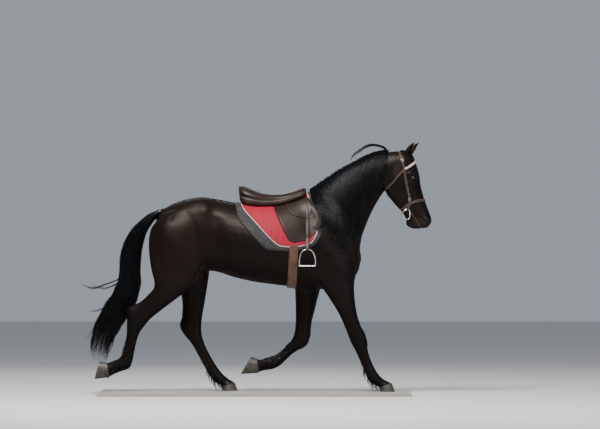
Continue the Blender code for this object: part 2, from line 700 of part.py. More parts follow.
def tube(name, path, radius, sides=8, wrap=False):
    """A round bar along a path of points in metres that stays in one plane."""
    path = np.asarray(path, float)
    along = np.gradient(path, axis=0)
    if wrap:
        along = np.roll(path, -1, 0) - np.roll(path, 1, 0)
    along /= np.linalg.norm(along, axis=1, keepdims=True)
    flat = np.linalg.svd(path - path.mean(0))[2][2]
    across = np.cross(along, flat)
    angle = np.linspace(0, 2 * math.pi, sides, endpoint=False)[None, :, None]
    rings = path[:, None] + radius * (np.cos(angle) * across[:, None] + np.sin(angle) * flat)
    if not wrap:
        return closed_stack(name, rings)
    count = len(path)
    number = np.arange(count * sides).reshape(count, sides)
    number = np.concatenate([number, number[:1]], axis=0)
    number = np.concatenate([number, number[:, :1]], axis=1)
    made = mesh_object(name, rings.reshape(-1, 3), quads(number))
    face_outwards(made)
    return made


def bar(name, start, end, radius, sides=12):
    """A round bar between two points in metres."""
    start, end = Vector(start), Vector(end)
    turn = (end - start).to_track_quat("Z", "Y").to_matrix()
    rings = []
    for point in (start, end):
        angles = [2 * math.pi * i / sides for i in range(sides)]
        rings.append([point + turn @ Vector((radius * math.cos(a), radius * math.sin(a), 0))
                      for a in angles])
    return closed_stack(name, np.array(rings))


def ball(name, centre, sizes, turn=0.0, sides=20, rings=12):
    """A closed ellipsoid, turned about Y. Its poles lie on the Y axis."""
    work = bmesh.new()
    bmesh.ops.create_uvsphere(work, u_segments=sides, v_segments=rings, radius=1.0)
    stretch = Matrix.Diagonal((*sizes, 1.0)) @ Matrix.Rotation(math.pi / 2, 4, "X")
    work.transform(Matrix.Translation(centre) @ Matrix.Rotation(turn, 4, "Y") @ stretch)
    mesh = bpy.data.meshes.new(name)
    work.to_mesh(mesh)
    work.free()
    made = bpy.data.objects.new(name, mesh)
    bpy.context.scene.collection.objects.link(made)
    face_outwards(made)
    return made


# Hooves: the coronet's cut, its front and back along that cut, toe, heel, half width and middle.
HOOVES = {
    "hoof_fore_right": ("right fore coronet", 0.77, 0.19, (139.6, 0.04), (125.4, 0.04), 8.2, -13.2),
    "hoof_fore_left": ("left fore coronet", 0.16, 0.84, (-14.4, 16.6), (-4.2, 34.6), 8.2, 12.9),
    "hoof_hind_right": ("right hind coronet", 0.18, 0.82, (-159.4, 12.4), (-154.6, 30.2), 7.8, -12.5),
    "hoof_hind_left": ("left hind coronet", 0.80, 0.20, (-17.4, 0.04), (-33.0, 0.04), 7.8, 12.7),
}
HOOF_STEPS = [(0.0, 0.80), (0.12, 0.86), (0.55, 0.94), (0.96, 1.0), (1.0, 0.985)]


def hoof(name, cut, front, back, toe, heel, half_width, middle):
    """A hoof from the gap below its coronet to a flat sole."""
    start, end = (np.array(p, float) for p in CUTS[cut][:2])
    toe, heel = np.array(toe), np.array(heel)
    top = [start + (end - start) * t for t in (front, back)]
    drop = (toe + heel) / 2 - (top[0] + top[1]) / 2
    across = np.array([start[1] - end[1], end[0] - start[0]])
    across *= np.sign(across @ drop) / np.linalg.norm(across)
    top = [p + across * GAP / SQUARE for p in top]
    ribs = []
    for t, share in HOOF_STEPS:
        a, b = top[0] + (toe - top[0]) * t, top[1] + (heel - top[1]) * t
        ribs.append((tuple(a), tuple(b), half_width * share, middle, -0.06, 2.2))
    rows = np.array([[*a, *b, *rest] for a, b, *rest in ribs])
    return closed_stack(name, ring_points(rows, 16))


# Ears: base middle, tip, which way the cup opens, in squares.
EARS = {
    "ear_right": ((151.5, -5.6, 235.2), (158.8, -8.2, 248.6), (0.86, -0.5, 0.05)),
    "ear_left": ((153.5, 5.6, 235.2), (164.0, 8.4, 248.9), (0.86, 0.5, 0.05)),
}
EAR_HALF_WIDTHS = [(0.0, 2.7), (0.18, 3.1), (0.38, 3.25), (0.58, 2.75), (0.78, 1.75), (0.92, 0.85), (1.0, 0.2)]
EAR_WALL = 0.55


def ear(name, base, tip, opening):
    """A leaf-shaped ear with a cup: each section is a ring that opens towards the front."""
    base, tip, front = (np.array(v, float) for v in (base, tip, opening))
    axis = tip - base
    length = np.linalg.norm(axis)
    axis /= length
    front -= axis * (front @ axis)
    front /= np.linalg.norm(front)
    side = np.cross(axis, front)
    steps = np.linspace(0, 1, 8)
    widths = np.interp(steps, *zip(*EAR_HALF_WIDTHS))
    rings = []
    for t, width in zip(steps, widths):
        half_open = 0.10 + 1.15 * min(1.0, t / 0.55)
        turn = np.linspace(half_open, 2 * math.pi - half_open, 6)
        inner = max(0.1, (width - EAR_WALL) * min(1.0, max(0.0, (t - 0.1) / 0.25)))
        arc = np.concatenate([np.full(6, width), np.full(6, inner)])
        turn = np.concatenate([turn, turn[::-1]])
        bow = 0.9 * math.sin(math.pi * t)
        centre = base + axis * length * t - front * bow
        rings.append(centre + (front * 0.82) * (arc * np.cos(turn))[:, None]
                     + side * (arc * np.sin(turn))[:, None])
    rings = np.array(rings) * SQUARE + np.array((0, 0, BASE_THICK))
    return closed_stack(name, rings)


# Eye, lids, nostril and mouth, in squares.
EYE_AT = (157.6, 213.0)
EYE_RADIUS, EYE_SUNK = 0.0215, 0.0135
LID_THICK = 0.0035
LID_TURN = math.radians(32)
LID_LONG, LID_HIGH = 0.0185, 0.0105
NOSTRIL_AT, NOSTRIL_SIZES, NOSTRIL_TURN = (173.4, 174.2), (0.0105, 0.014, 0.019), math.radians(-24)
MOUTH_LINE = [(156.4, 178.0), (159.2, 173.2), (162.4, 168.4), (164.4, 164.6), (165.4, 159.0)]
MOUTH_GAP = 0.22


def eye_centre(tree, side):
    at = side_point(tree, *EYE_AT, side)
    return Vector((at.x, at.y - side * EYE_SUNK, at.z))


def almond(name, centre, side):
    """A wide prism outwards from an eye's middle, in the outline of the open lids."""
    outline = []
    for i in range(12):
        turn = 2 * math.pi * i / 12
        high = LID_HIGH * (1.0 if math.sin(turn) > 0 else 0.8)
        u = LID_LONG * math.cos(turn)
        v = high * math.copysign(abs(math.sin(turn)) ** 1.3, math.sin(turn))
        outline.append((u * math.cos(LID_TURN) + v * math.sin(LID_TURN),
                        v * math.cos(LID_TURN) - u * math.sin(LID_TURN)))
    rings = [[(centre.x + u, centre.y + side * reach, centre.z + v) for u, v in outline]
             for reach in (0.004, 0.06)]
    return closed_stack(name, np.array(rings))


def mouth_slot():
    """A thin bent plate across the muzzle along the line of the mouth."""
    line = smooth_rows(MOUTH_LINE, 2)
    along = np.gradient(line, axis=0)
    across = np.stack([-along[:, 1], along[:, 0]], axis=1)
    across /= np.linalg.norm(across, axis=1, keepdims=True)
    points = np.array([[place(x, y, z) for y in (-14, 14)] for x, z in line])
    normals = np.repeat(np.stack([across[:, 0], across[:, 0] * 0, across[:, 1]], 1)[:, None], 2, 1)
    half = MOUTH_GAP * SQUARE / 2
    return sheet("mouth_slot", points, normals, -half, half)


def head_details(head, tree):
    """Adds lids and cuts sockets, nostrils and the mouth's line. Returns the two eyes."""
    eyes = []
    for name, side in (("eye_right", -1), ("eye_left", 1)):
        centre = eye_centre(tree, side)
        shell = EYE_RADIUS + LID_THICK
        fuse(head, [ball("lids", centre, (shell, shell, shell), 0, 12, 6)])
        eyes.append(ball(name, centre, (EYE_RADIUS,) * 3, 0, 12, 6))
        boolean(head, [almond("opening", centre, side)], "DIFFERENCE")
    carve(head, eyes)
    for side in (-1, 1):
        at = side_point(tree, *NOSTRIL_AT, side)
        pit = ball("pit", Vector((at.x, at.y + side * 0.002, at.z)), NOSTRIL_SIZES, NOSTRIL_TURN, 10, 6)
        boolean(head, [pit], "DIFFERENCE")
    boolean(head, [mouth_slot()], "DIFFERENCE")
    keep_largest(head)
    return eyes


def ribs_along(points, halves, depths, middle):
    """Rib rows square to a path in the side view, with half widths in that view and across it."""
    points = np.asarray(points, float)
    along = np.gradient(points, axis=0)
    across = np.stack([along[:, 1], -along[:, 0]], 1) / np.linalg.norm(along, axis=1)[:, None]
    middles = np.broadcast_to(middle, len(points))
    return [(tuple(p + a * h), tuple(p - a * h), d, m, 0.0, 2.0)
            for p, a, h, d, m in zip(points, across, halves, depths, middles)]


# Long hair: paths in squares in the side view, half widths there and half widths across.
TAIL_PATH = [(-92, 180), (-98, 177), (-109, 169), (-119, 153), (-124, 136), (-125, 116), (-128, 99),
             (-137, 83), (-147, 66), (-154, 48), (-157, 31), (-158, 26)]
TAIL_HALVES = [3, 4, 8, 12, 12.5, 12, 12.5, 13, 12, 10, 6, 2]
TAIL_DEPTHS = [3, 4, 5, 6, 6.5, 6.5, 6.5, 6.5, 6, 5, 3, 1]
WISP_PATH = [(-128, 120), (-137, 111), (-150, 105), (-164, 103.5), (-176.48, 107)]
WISP_HALVES = [6, 4.5, 3.2, 2.2, 0.6]
TAIL_CUTS = [((-155, 134.5), (-95, 131.5), -20, 20), ((-143, 124), (-142, 95), -20, 20)]
TAIL_NODES = ("tail_wisp", "tail", "tail_lower")
MANE_TOP = [(129, 240), (119, 238), (109, 234), (99, 228), (89, 222), (79, 216.5), (70, 210.5), (61, 204.5)]
MANE_FOOT = [(117, 205), (109, 195), (104, 169), (104.5, 151), (103, 129), (93, 127), (81, 139), (69, 153)]
FEATHER_PATHS = {
    "fore_right_cannon": ([(103, 42), (106, 28), (112, 13), (117, 3)], (2, 4, 4, 1.5), -13.7),
    "fore_left_cannon": ([(30, 44), (18, 36), (8, 34.5), (-1, 36)], (2, 4, 3.5, 1), 13.4),
    "hind_right_cannon": ([(-129, 52), (-133, 38), (-140, 32), (-146, 33)], (2, 4, 4, 1.5), -13.2),
    "hind_left_cannon": ([(-60, 42), (-52, 26), (-45, 13), (-38.5, 3.5)], (2, 4, 4, 1.5), 13.2),
}


LOCK_STEPS = (0, 0.2, 0.45, 0.7, 1.0)
LOCK_WIDTHS = (0.6, 1.0, 1.0, 0.75, 0.06)
LOCK_DEPTHS = (1.0, 1.0, 1.0, 0.85, 0.12)
MANE_LOCKS, MANE_WIDTH, LOCK_DEPTH = 7, 5.0, 1.5
FLYING_LOCK = [(133, 0, 238), (128, -1, 243.4), (118, -2.5, 245.8), (108, -3.3, 242.4), (100, -4, 237.0),
               (95, -4.5, 231)]
TAIL_LOCKS, TAIL_WIDTH, TAIL_DEPTH = 6, 6.2, 2.4
TAIL_CORE_END = 0.5
FEATHER_LOCKS, FEATHER_WIDTH = 4, 3.8
FORELOCKS = [(-3.4, 158.6, 231.6), (-0.6, 162.2, 230.8), (2.6, 160.6, 231.6)]


def lock(points, outward, half_width, half_depth=LOCK_DEPTH):
    """A tapered lock of hair along points in squares: flat below, with a low ridge outward."""
    points, outward = np.asarray(points, float), np.asarray(outward, float)
    along = np.gradient(points, axis=0)
    side = np.cross(along, outward)
    side /= np.linalg.norm(side, axis=1, keepdims=True)
    out = np.cross(side, along)
    out /= np.linalg.norm(out, axis=1, keepdims=True)
    steps = np.linspace(0, 1, len(points))
    side *= half_width * np.interp(steps, LOCK_STEPS, LOCK_WIDTHS)[:, None]
    out *= half_depth * np.interp(steps, LOCK_STEPS, LOCK_DEPTHS)[:, None]
    rings = np.stack([points + side - out, points + out, points - side - out], axis=1)
    return closed_stack("lock", rings * SQUARE + np.array((0, 0, BASE_THICK)))


def combed(locks, neighbours):
    """Many locks as one mesh, cut clear of the neighbouring nodes by the gap."""
    first, rest = locks[0], locks[1:]
    boolean(first, rest, "UNION")
    for neighbour in neighbours:
        boolean(first, [inflated(neighbour)], "DIFFERENCE")
    return first


def beyond_neck(x, z):
    """How far a point of the side view lies below the neck's root cut, in squares."""
    (ax, az), (bx, bz) = CUTS["neck root"][:2]
    length = math.hypot(bx - ax, bz - az)
    return ((bx - ax) * (az - z) - (bz - az) * (ax - x)) / length


def mane_lock(tree, place_along, reach, width, lift, wave):
    """One lock from inside the crest, over it and down the right of the neck."""
    spots = np.arange(len(MANE_TOP))
    at = place_along * (len(MANE_TOP) - 1)
    top = np.array([np.interp(at, spots, [p[i] for p in MANE_TOP]) for i in (0, 1)])
    foot = np.array([np.interp(at, spots, [p[i] for p in MANE_FOOT]) for i in (0, 1)])
    points = [(top[0], 3.2, top[1] - 3.2), (top[0] - 0.3, -1.2, top[1] - 0.2)]
    outward = [(0, 0.6, 1), (0, -0.6, 0.8)]
    across = np.array((-(foot - top)[1], (foot - top)[0])) / np.linalg.norm(foot - top)
    for t in (0.2, 0.46, 0.73, 1.0):
        x, z = top + (foot - top) * t * reach + across * 1.7 * t * math.sin(2 * math.pi * (1.25 * t + wave))
        hit = side_point(tree, x, z, -1)
        normal = np.array(tree.find_nearest(hit)[1])
        clear = 0.35 + lift + 1.1 * min(1.0, max(0.0, 0.5 + beyond_neck(x, z) / 8))
        spot = (np.array(hit) - (0, 0, BASE_THICK)) / SQUARE + normal * clear
        points.append(spot)
        outward.append(normal)
    return lock(points, outward, width)


def add_mane(tree, nodes, others):
    draw = random.Random(11)
    locks = []
    for tier, (lift, reach) in enumerate(((0.0, 1.0), (0.9, 0.68))):
        for i in range(MANE_LOCKS - tier):
            where = min(1.0, (i + 0.15 + 0.6 * tier) / MANE_LOCKS)
            locks.append(mane_lock(tree, where, reach * draw.uniform(0.86, 1.0),
                                   MANE_WIDTH * draw.uniform(0.85, 1.1), lift, draw.random()))
    locks.append(lock(FLYING_LOCK, np.tile((0, -1.0, 0.2), (6, 1)), 1.3, 0.5))
    fuse(nodes["neck"], [combed(locks, [nodes["torso"], nodes["head"], *others])])


def tail_frames(steps):
    """Middle, direction across, half width and depth of the tail at parts of its length."""
    rows = smooth_rows(np.column_stack([TAIL_PATH, TAIL_HALVES, TAIL_DEPTHS]), 6)
    length = np.concatenate([[0], np.cumsum(np.linalg.norm(np.diff(rows[:, :2], axis=0), axis=1))])
    at = np.asarray(steps) * length[-1]
    x, z, half, depth = (np.interp(at, length, rows[:, i]) for i in range(4))
    ahead = np.gradient(rows[:, :2], axis=0)
    ax, az = (np.interp(at, length, ahead[:, i]) for i in range(2))
    across = np.stack([az, -ax], 1) / np.hypot(ax, az)[:, None]
    return np.stack([x, z], 1), across, half, depth


def tail_lock(start, end, angle, wave, width):
    """A lock that starts inside the tail's core and runs down its outside."""
    steps = start + (end - start) * np.array((0, 0.18, 0.4, 0.62, 0.82, 1.0))
    middle, across, half, depth = tail_frames(steps)
    out = np.array((0.25, 0.76, 0.84, 0.85, 0.83, 0.75))
    turn = angle + 0.35 * np.sin(2 * math.pi * (np.linspace(0, 1.3, 6) + wave)) * np.linspace(0, 1, 6)
    x = middle[:, 0] + across[:, 0] * half * out * np.cos(turn)
    z = middle[:, 1] + across[:, 1] * half * out * np.cos(turn)
    y = depth * out * np.sin(turn)
    outward = np.stack([across[:, 0] * np.cos(turn), np.sin(turn) * 1.6, across[:, 1] * np.cos(turn)], 1)
    return lock(np.stack([x, y, z], 1), outward, width, TAIL_DEPTH)


def make_tail(nodes):
    """The tail: a short core, two tiers of locks and a flying wisp, parted into three nodes."""
    draw = random.Random(5)
    middle, across, half, depth = tail_frames(np.linspace(0, TAIL_CORE_END, 8))
    share = np.array((1.0, 1.0, 0.95, 0.8, 0.7, 0.64, 0.5, 0.2))
    rows = [(*(m + a * h * s), *(m - a * h * s), d * s, 0, 0, 2.0)
            for m, a, h, d, s in zip(middle, across, half, depth, share)]
    core = closed_stack("tail", ring_points(np.array(rows), 12))
    locks = []
    for tier, (start, end) in enumerate(((0.03, 0.54), (0.40, 0.99))):
        for i in range(TAIL_LOCKS):
            angle = 2 * math.pi * (i + 0.5 * tier) / TAIL_LOCKS
            locks.append(tail_lock(start + draw.uniform(0, 0.08), end - draw.uniform(0, 0.1), angle,
                                   draw.random(), TAIL_WIDTH * draw.uniform(0.85, 1.1)))
    path = smooth_rows(WISP_PATH, 2)[[0, 2, 4, 5, 7, 8]]
    for y, drop in ((-0.5, 0.0), (0.9, -2.4)):
        points = np.stack([path[:, 0], np.full(6, y), path[:, 1] + drop], 1)
        points[-1, 0] += -drop * 2
        locks.append(lock(points, np.tile((0.1, 1.0, 0.1), (6, 1)), 3.2 + drop / 2, 1.0))
    boolean(core, locks, "UNION")
    carve(core, [nodes["torso"], nodes["hind_right_gaskin"], nodes["hind_right_cannon"],
                 nodes["hoof_hind_right"]])
    boolean(core, [thin_plate("cut", *cut) for cut in TAIL_CUTS], "DIFFERENCE")
    pieces = split_islands(core)[:3]
    pieces.sort(key=lambda piece: -middle_of(piece)[2] - 9 * (middle_of(piece)[0] < -1.15))
    return {name: renamed(piece, name) for piece, name in zip(pieces, TAIL_NODES)}


def add_feathers(nodes):
    """Short locks behind each cannon and fetlock, down over the heels."""
    for name, (path, _, middle) in FEATHER_PATHS.items():
        draw = random.Random(name)
        line = smooth_rows(path, 8)
        locks = []
        for i in range(FEATHER_LOCKS):
            where = 2 * i / (FEATHER_LOCKS - 1) - 1
            start = 0.42 * abs(where) + draw.uniform(0, 0.16)
            steps = np.linspace(start, min(1.0, start + 0.6), 6) * (len(line) - 1)
            x, z = (np.interp(steps, np.arange(len(line)), line[:, k]) for k in (0, 1))
            dx, dz = np.gradient(x), np.gradient(z)
            back = np.stack([dz, -dx], 1) / np.hypot(dx, dz)[:, None]
            push = np.array((-3.5, -0.4, 0.7, 1.0, 0.9, 0.6)) * (1 - 0.35 * abs(where)) - 2.2 * abs(where)
            push += 0.4 * np.sin(np.linspace(0, 5, 6) + draw.uniform(0, 6))
            y = middle + where * np.array((2.5, 4.8, 5.3, 5.4, 5.3, 4.8))
            points = np.stack([x + back[:, 0] * push, y, z + back[:, 1] * push], 1)
            outward = np.stack([back[:, 0], np.full(6, where * 1.4), back[:, 1]], 1)
            locks.append(lock(points, outward, FEATHER_WIDTH * draw.uniform(0.85, 1.1), 1.1))
        hoof_name = "hoof_" + name.replace("_cannon", "")
        upper = name.replace("cannon", "forearm" if "fore" in name else "gaskin")
        fuse(nodes[name], [combed(locks, [nodes[hoof_name], nodes[upper], nodes["stand_base"]])])


def add_forelock(tree, nodes, others):
    locks = []
    for y, x, z in FORELOCKS:
        path = smooth_rows([(144, 236.5), (147.5, 241.6), (154, 240.0), (x, z)], 2)[[0, 1, 2, 4, 5, 6]]
        points = np.stack([path[:, 0], np.linspace(y * 0.3, y, 6), path[:, 1]], 1)
        for k in range(2, 6):
            hit, normal = tree.find_nearest(place(*points[k]))[:2]
            points[k] = (np.array(hit) - (0, 0, BASE_THICK)) / SQUARE + np.array(normal) * 0.5
        ahead = np.gradient(points, axis=0)
        outward = np.stack([-ahead[:, 2], np.full(6, y * 0.4), ahead[:, 0]], 1)
        locks.append(lock(points, outward, 2.3, 0.9))
    fuse(nodes["head"], [combed(locks, others)])


# Saddlery. The pad's columns run from its rear to its front: x over the spine, and its foot.
PAD_TOP = [-19, -13, -7, -1, 5, 11, 17, 23, 29, 35, 41, 48, 54.5]
PAD_FOOT = [(-18.5, 184), (-15, 171), (-9, 163), (-2, 155), (5, 148), (12, 141.8), (20, 140.5), (29, 140),
            (38, 140), (47, 141.5), (55, 144), (61, 148), (65.5, 155)]
PAD_SUNK, PAD_THICK, PAD_TRIANGLES = 0.002, 0.009, 860
SEAT_RIBS = [
    ((-16.5, 203.5), (-15.5, 190), 9, 0, -0.1, 2.0),
    ((-14, 206), (-12, 186), 16, 0, -0.25, 2.2),
    ((-7, 203.2), (-6, 184), 19, 0, -0.15, 2.4),
    ((3, 199.2), (3, 183), 18.5, 0, -0.1, 2.4),
    ((14, 197.2), (14, 183), 15, 0, -0.1, 2.4),
    ((26, 197.6), (26, 184), 12.5, 0, -0.1, 2.2),
    ((38, 200.2), (38, 188), 12, 0, -0.2, 2.0),
    ((46, 203.2), (46, 192), 12, 0, -0.3, 2.0),
    ((51, 202.6), (51.5, 194.5), 9, 0, -0.3, 2.0),
]
FLAP_REAR = [(19, 184.5), (21, 178), (24, 171), (27, 164), (30, 157), (34, 150), (39, 148)]
FLAP_FRONT = [(54, 190), (60, 186.5), (65, 180.5), (67.3, 174), (66.5, 166), (62, 159.5), (52, 150.5)]
FLAP_LOW, FLAP_HIGH = 0.006, 0.0155
GIRTH_X, GIRTH_TOP, GIRTH_THICK = (34, 39, 44), 146, 0.021
GIRTH_BACK = 5.5
LEATHER_X, LEATHER_HALF = 52.2, 1.75
LEATHER_HEIGHTS = [187, 181, 175, 169, 163, 157, 151]
IRON_TOP, IRON_DROP, IRON_HALF = 141.0, 17, 8
IRON_CLEAR = 0.030
IRON_LINE = [(0, 0), (16, 0), (34, -7), (50, -26), (59, -56), (63, -92), (63, -128)]


def saddle_pad(tree):
    rows = []
    for top, (x, z) in zip(PAD_TOP, PAD_FOOT):
        foot = side_point(tree, x, z, -1)
        limit = math.atan2(abs(foot.y), (z - TRUNK_AXIS) * SQUARE)
        row = []
        for v in np.linspace(-1, 1, 12):
            row.append(round_point(tree, top + (x - top) * abs(v) ** 0.8, limit * v))
        rows.append(row)
    points = np.array(rows)
    away = points - np.array(place(0, 0, TRUNK_AXIS)) * (0, 1, 1) - points * (1, 0, 0)
    return sheet("saddle_pad", points, grid_normals(points, away), -PAD_SUNK, PAD_THICK)


def saddle_flap(name, tree, side):
    rows = []
    for rear, front in zip(FLAP_REAR, FLAP_FRONT):
        rows.append([side_point(tree, rear[0] + (front[0] - rear[0]) * t,
                                rear[1] + (front[1] - rear[1]) * t, side) for t in np.linspace(0, 1, 6)])
    points = np.array(rows)
    return sheet(name, points, grid_normals(points, np.array((0, side, 0))), FLAP_LOW, FLAP_HIGH)


def girth():
    """A padded band under the belly. On the left it lies further back, behind the bent foreleg."""
    trunk = loft("trunk", TRUNK)
    tree = surface_tree(trunk)
    bpy.data.objects.remove(trunk)
    foot = side_point(tree, GIRTH_X[1], GIRTH_TOP, 1)
    start = math.atan2(foot.y, (GIRTH_TOP - TRUNK_AXIS) * SQUARE)
    angles = np.linspace(start, 2 * math.pi - start, 21)
    backs = GIRTH_BACK * np.linspace(1, 0, 21)
    points = np.array([[round_point(tree, x - back, a) for x in GIRTH_X]
                       for a, back in zip(angles, backs)])
    away = points - np.array(place(0, 0, TRUNK_AXIS)) * (0, 1, 1) - points * (1, 0, 0)
    return sheet("girth", points, grid_normals(points, away), -0.002, GIRTH_THICK)


def leather_line(tree, side):
    """The strap's (y, z) points in metres: over the flap, then down to the iron's eye."""
    line, widest = [], 0.0
    for z in LEATHER_HEIGHTS:
        at = side_point(tree, LEATHER_X, z, side)
        widest = max(widest, abs(at.y) + FLAP_HIGH)
        line.append((side * widest, at.z))
    flank = max(abs(side_point(tree, LEATHER_X + x, IRON_TOP - z, side).y)
                for x in (-IRON_HALF, 0, IRON_HALF) for z in (0, IRON_DROP / 2, IRON_DROP))
    hang = side * max(widest, flank + IRON_CLEAR)
    foot = IRON_TOP * SQUARE + BASE_THICK
    line += [(line[-1][0] * 0.4 + hang * 0.6, at.z + (foot - at.z) * 0.5), (hang, foot)]
    return np.array(line)


def stirrup(side_name, tree, side, neighbours):
    """A stirrup leather with its loop, and the iron that hangs in it, both in the side's plane."""
    line = leather_line(tree, side)
    x, (y, z) = LEATHER_X * SQUARE, line[-1]
    points = np.array([[(x + s * LEATHER_HALF * SQUARE, py, pz) for s in (-1, 1)] for py, pz in line])
    normals = np.zeros_like(points)
    normals[..., 1] = side
    strap = sheet(f"stirrup_leather_{side_name}", points, normals, -0.003, 0.004)
    middle = y + side * 0.0005
    half = LEATHER_HALF * SQUARE
    fuse(strap, [bar("loop", (x - half, middle, z), (x + half, middle, z), 0.0105, 8)])
    iron = stirrup_iron(f"stirrup_iron_{side_name}", x, middle, z)
    carve(strap, neighbours + [iron])
    return strap, iron


def stirrup_iron(name, x, y, z):
    right = np.array(IRON_LINE) / 1000
    foot = z - 0.128
    under = np.array([(0.04, -0.128), (0.0, -0.128), (-0.04, -0.128)])
    outline = np.vstack([right, under, (right * (-1, 1))[:0:-1]])
    path = [(x + u, y, z + v) for u, v in outline]
    tread = box("tread", (x - 0.068, y - 0.022, foot - 0.006), (x + 0.068, y + 0.022, foot + 0.005))
    made = tube(name, path, 0.005, 6, wrap=True)
    fuse(made, [tread])
    return made


# Bridle straps: points near the head's right side in squares, half width in metres.
HEADPIECE = [(142.3, 0, 242), (143.2, -4.5, 241), (145.5, -9, 235), (147.8, -11, 228), (149.3, -12, 219),
             (150.6, -13, 210), (152.3, -12, 201), (154.2, -10, 194), (154.2, -9.5, 189), (153.2, -9, 184.5),
             (152.7, -8.8, 181.4)]
BROWBAND = [(149.4, -12, 221.5), (153, -12, 223.5), (157, -10.5, 226), (160, -7, 228.3), (161.6, -3, 229.4),
            (161.9, 0, 229.6)]
NOSEBAND = [(171.0, 0, 191), (168, -6, 190.8), (163, -9, 189.8), (156, -9.5, 187.5), (150.5, -8, 184),
            (147, -4.5, 181.5), (145.5, 0, 180.5)]
THROATLASH = [(148.6, -12, 221), (143.5, -12, 215.5), (138.5, -12, 210), (134, -10, 205), (131.2, -5, 202),
              (130.6, 0, 201)]
BIT_AT = (155.0, 176.6)
RING_LINE = [(154.4, 176.6), (154.4, 179.8), (153.6, 181.2), (152.0, 181.5), (150.2, 181.0), (148.2, 179.2),
             (147.4, 176.6), (148.2, 174.0), (150.2, 172.2), (152.0, 171.7), (153.6, 172.0), (154.4, 173.4)]
RING_RADIUS, BIT_RADIUS = 0.004, 0.0065
STRAP_CLEAR = 0.0022


def strap_points(tree, half_path, whole):
    """Points and normals on the skin under a strap, mirrored to the left side when `whole`."""
    path = smooth_rows(half_path, 2)
    if whole:
        path = np.vstack([path, (path * (1, -1, 1))[-2::-1]])
    found = [tree.find_nearest(place(*p))[:2] for p in path]
    points = np.array([f[0] for f in found])
    normals = np.array([f[1] for f in found])
    return points, normals


def strap(name, tree, half_path, width, high, whole=True, closed=False):
    """A flat strap laid on the skin. A half path ends on the middle of the head."""
    points, normals = strap_points(tree, half_path, whole)
    if closed:
        points, normals = points[:-1], normals[:-1]
    for _ in range(4):
        normals = (np.roll(normals, 1, 0) + normals * 2 + np.roll(normals, -1, 0)) if closed else \
            np.vstack([normals[:1], normals[:-2] + normals[1:-1] * 2 + normals[2:], normals[-1:]])
        normals /= np.linalg.norm(normals, axis=1, keepdims=True)
    along = np.roll(points, -1, 0) - np.roll(points, 1, 0) if closed else np.gradient(points, axis=0)
    side = np.cross(along, normals)
    side /= np.linalg.norm(side, axis=1, keepdims=True)
    grid = points[:, None] + side[:, None] * (np.array((-0.5, 0.5)) * width)[None, :, None]
    spread = np.repeat(normals[:, None], 2, 1)
    return sheet(name, grid, spread, STRAP_CLEAR, high, wrap=closed)


def bridle(tree, nodes, bit, ears):
    """The straps of the bridle, each cut clear of what it lies on."""
    head, neck = nodes["head"], nodes["neck"]
    made = {}
    made["bridle_noseband"] = strap("bridle_noseband", tree, NOSEBAND, 0.018, 0.0062, closed=True)
    carve(made["bridle_noseband"], [head])
    high = np.interp(np.arange(41), [0, 2, 3, 5, 6, 34, 35, 37, 38, 40],
                     [6, 6, 11, 11, 6, 6, 11, 11, 6, 6]) / 1000
    piece = strap("bridle_headpiece", tree, HEADPIECE[::-1], 0.016, high)
    for side in (-1, 1):
        at = side_ring_top(tree, side)
        fuse(piece, [bar("loop", (at[0] - 0.007, at[1], at[2]), (at[0] + 0.007, at[1], at[2]), 0.0085, 8)])
    carve(piece, [head, neck, bit, made["bridle_noseband"], *ears])
    made["bridle_headpiece"] = piece
    made["bridle_browband"] = strap("bridle_browband", tree, BROWBAND, 0.018, 0.0062)
    carve(made["bridle_browband"], [head, piece, *ears])
    made["bridle_throatlash"] = strap("bridle_throatlash", tree, THROATLASH, 0.012, 0.0062)
    carve(made["bridle_throatlash"], [head, neck, piece, made["bridle_browband"]])
    return made


def ring_side(tree, side):
    """How far out the bit's rings lie on one side, in metres."""
    return max(abs(side_point(tree, x, z, side).y) for x, z in RING_LINE) + 0.007


def side_ring_top(tree, side):
    at = place(152.4, 0, 181.45)
    return at.x, side * ring_side(tree, side), at.z


def make_bit(tree):
    reach = ring_side(tree, -1)
    centre = place(BIT_AT[0], 0, BIT_AT[1])
    made = bar("bit", (centre.x, -reach, centre.z), (centre.x, reach, centre.z), BIT_RADIUS, 8)
    for side in (-1, 1):
        line = np.array(RING_LINE)
        path = [(x * SQUARE, side * reach, z * SQUARE + BASE_THICK) for x, z in line]
        ring = tube("ring", path, RING_RADIUS, 6, wrap=True)
        low, top = place(154.6, 0, 174.2), place(154.6, 0, 179.0)
        sleeve = bar("sleeve", (low.x, side * reach, low.z), (top.x, side * reach, top.z), 0.0068, 8)
        fuse(made, [ring, sleeve])
    return made


def base_plate():
    half = (BASE_LENGTH / 2, BASE_WIDTH / 2)
    inset = 0.006
    rings = []
    for z, cut in ((0, 0), (BASE_THICK - inset, 0), (BASE_THICK, inset)):
        x, y = half[0] - cut, half[1] - cut
        rings.append([(-x, -y, z), (x, -y, z), (x, y, z), (-x, y, z)])
    return closed_stack("stand_base", np.array(rings, float))


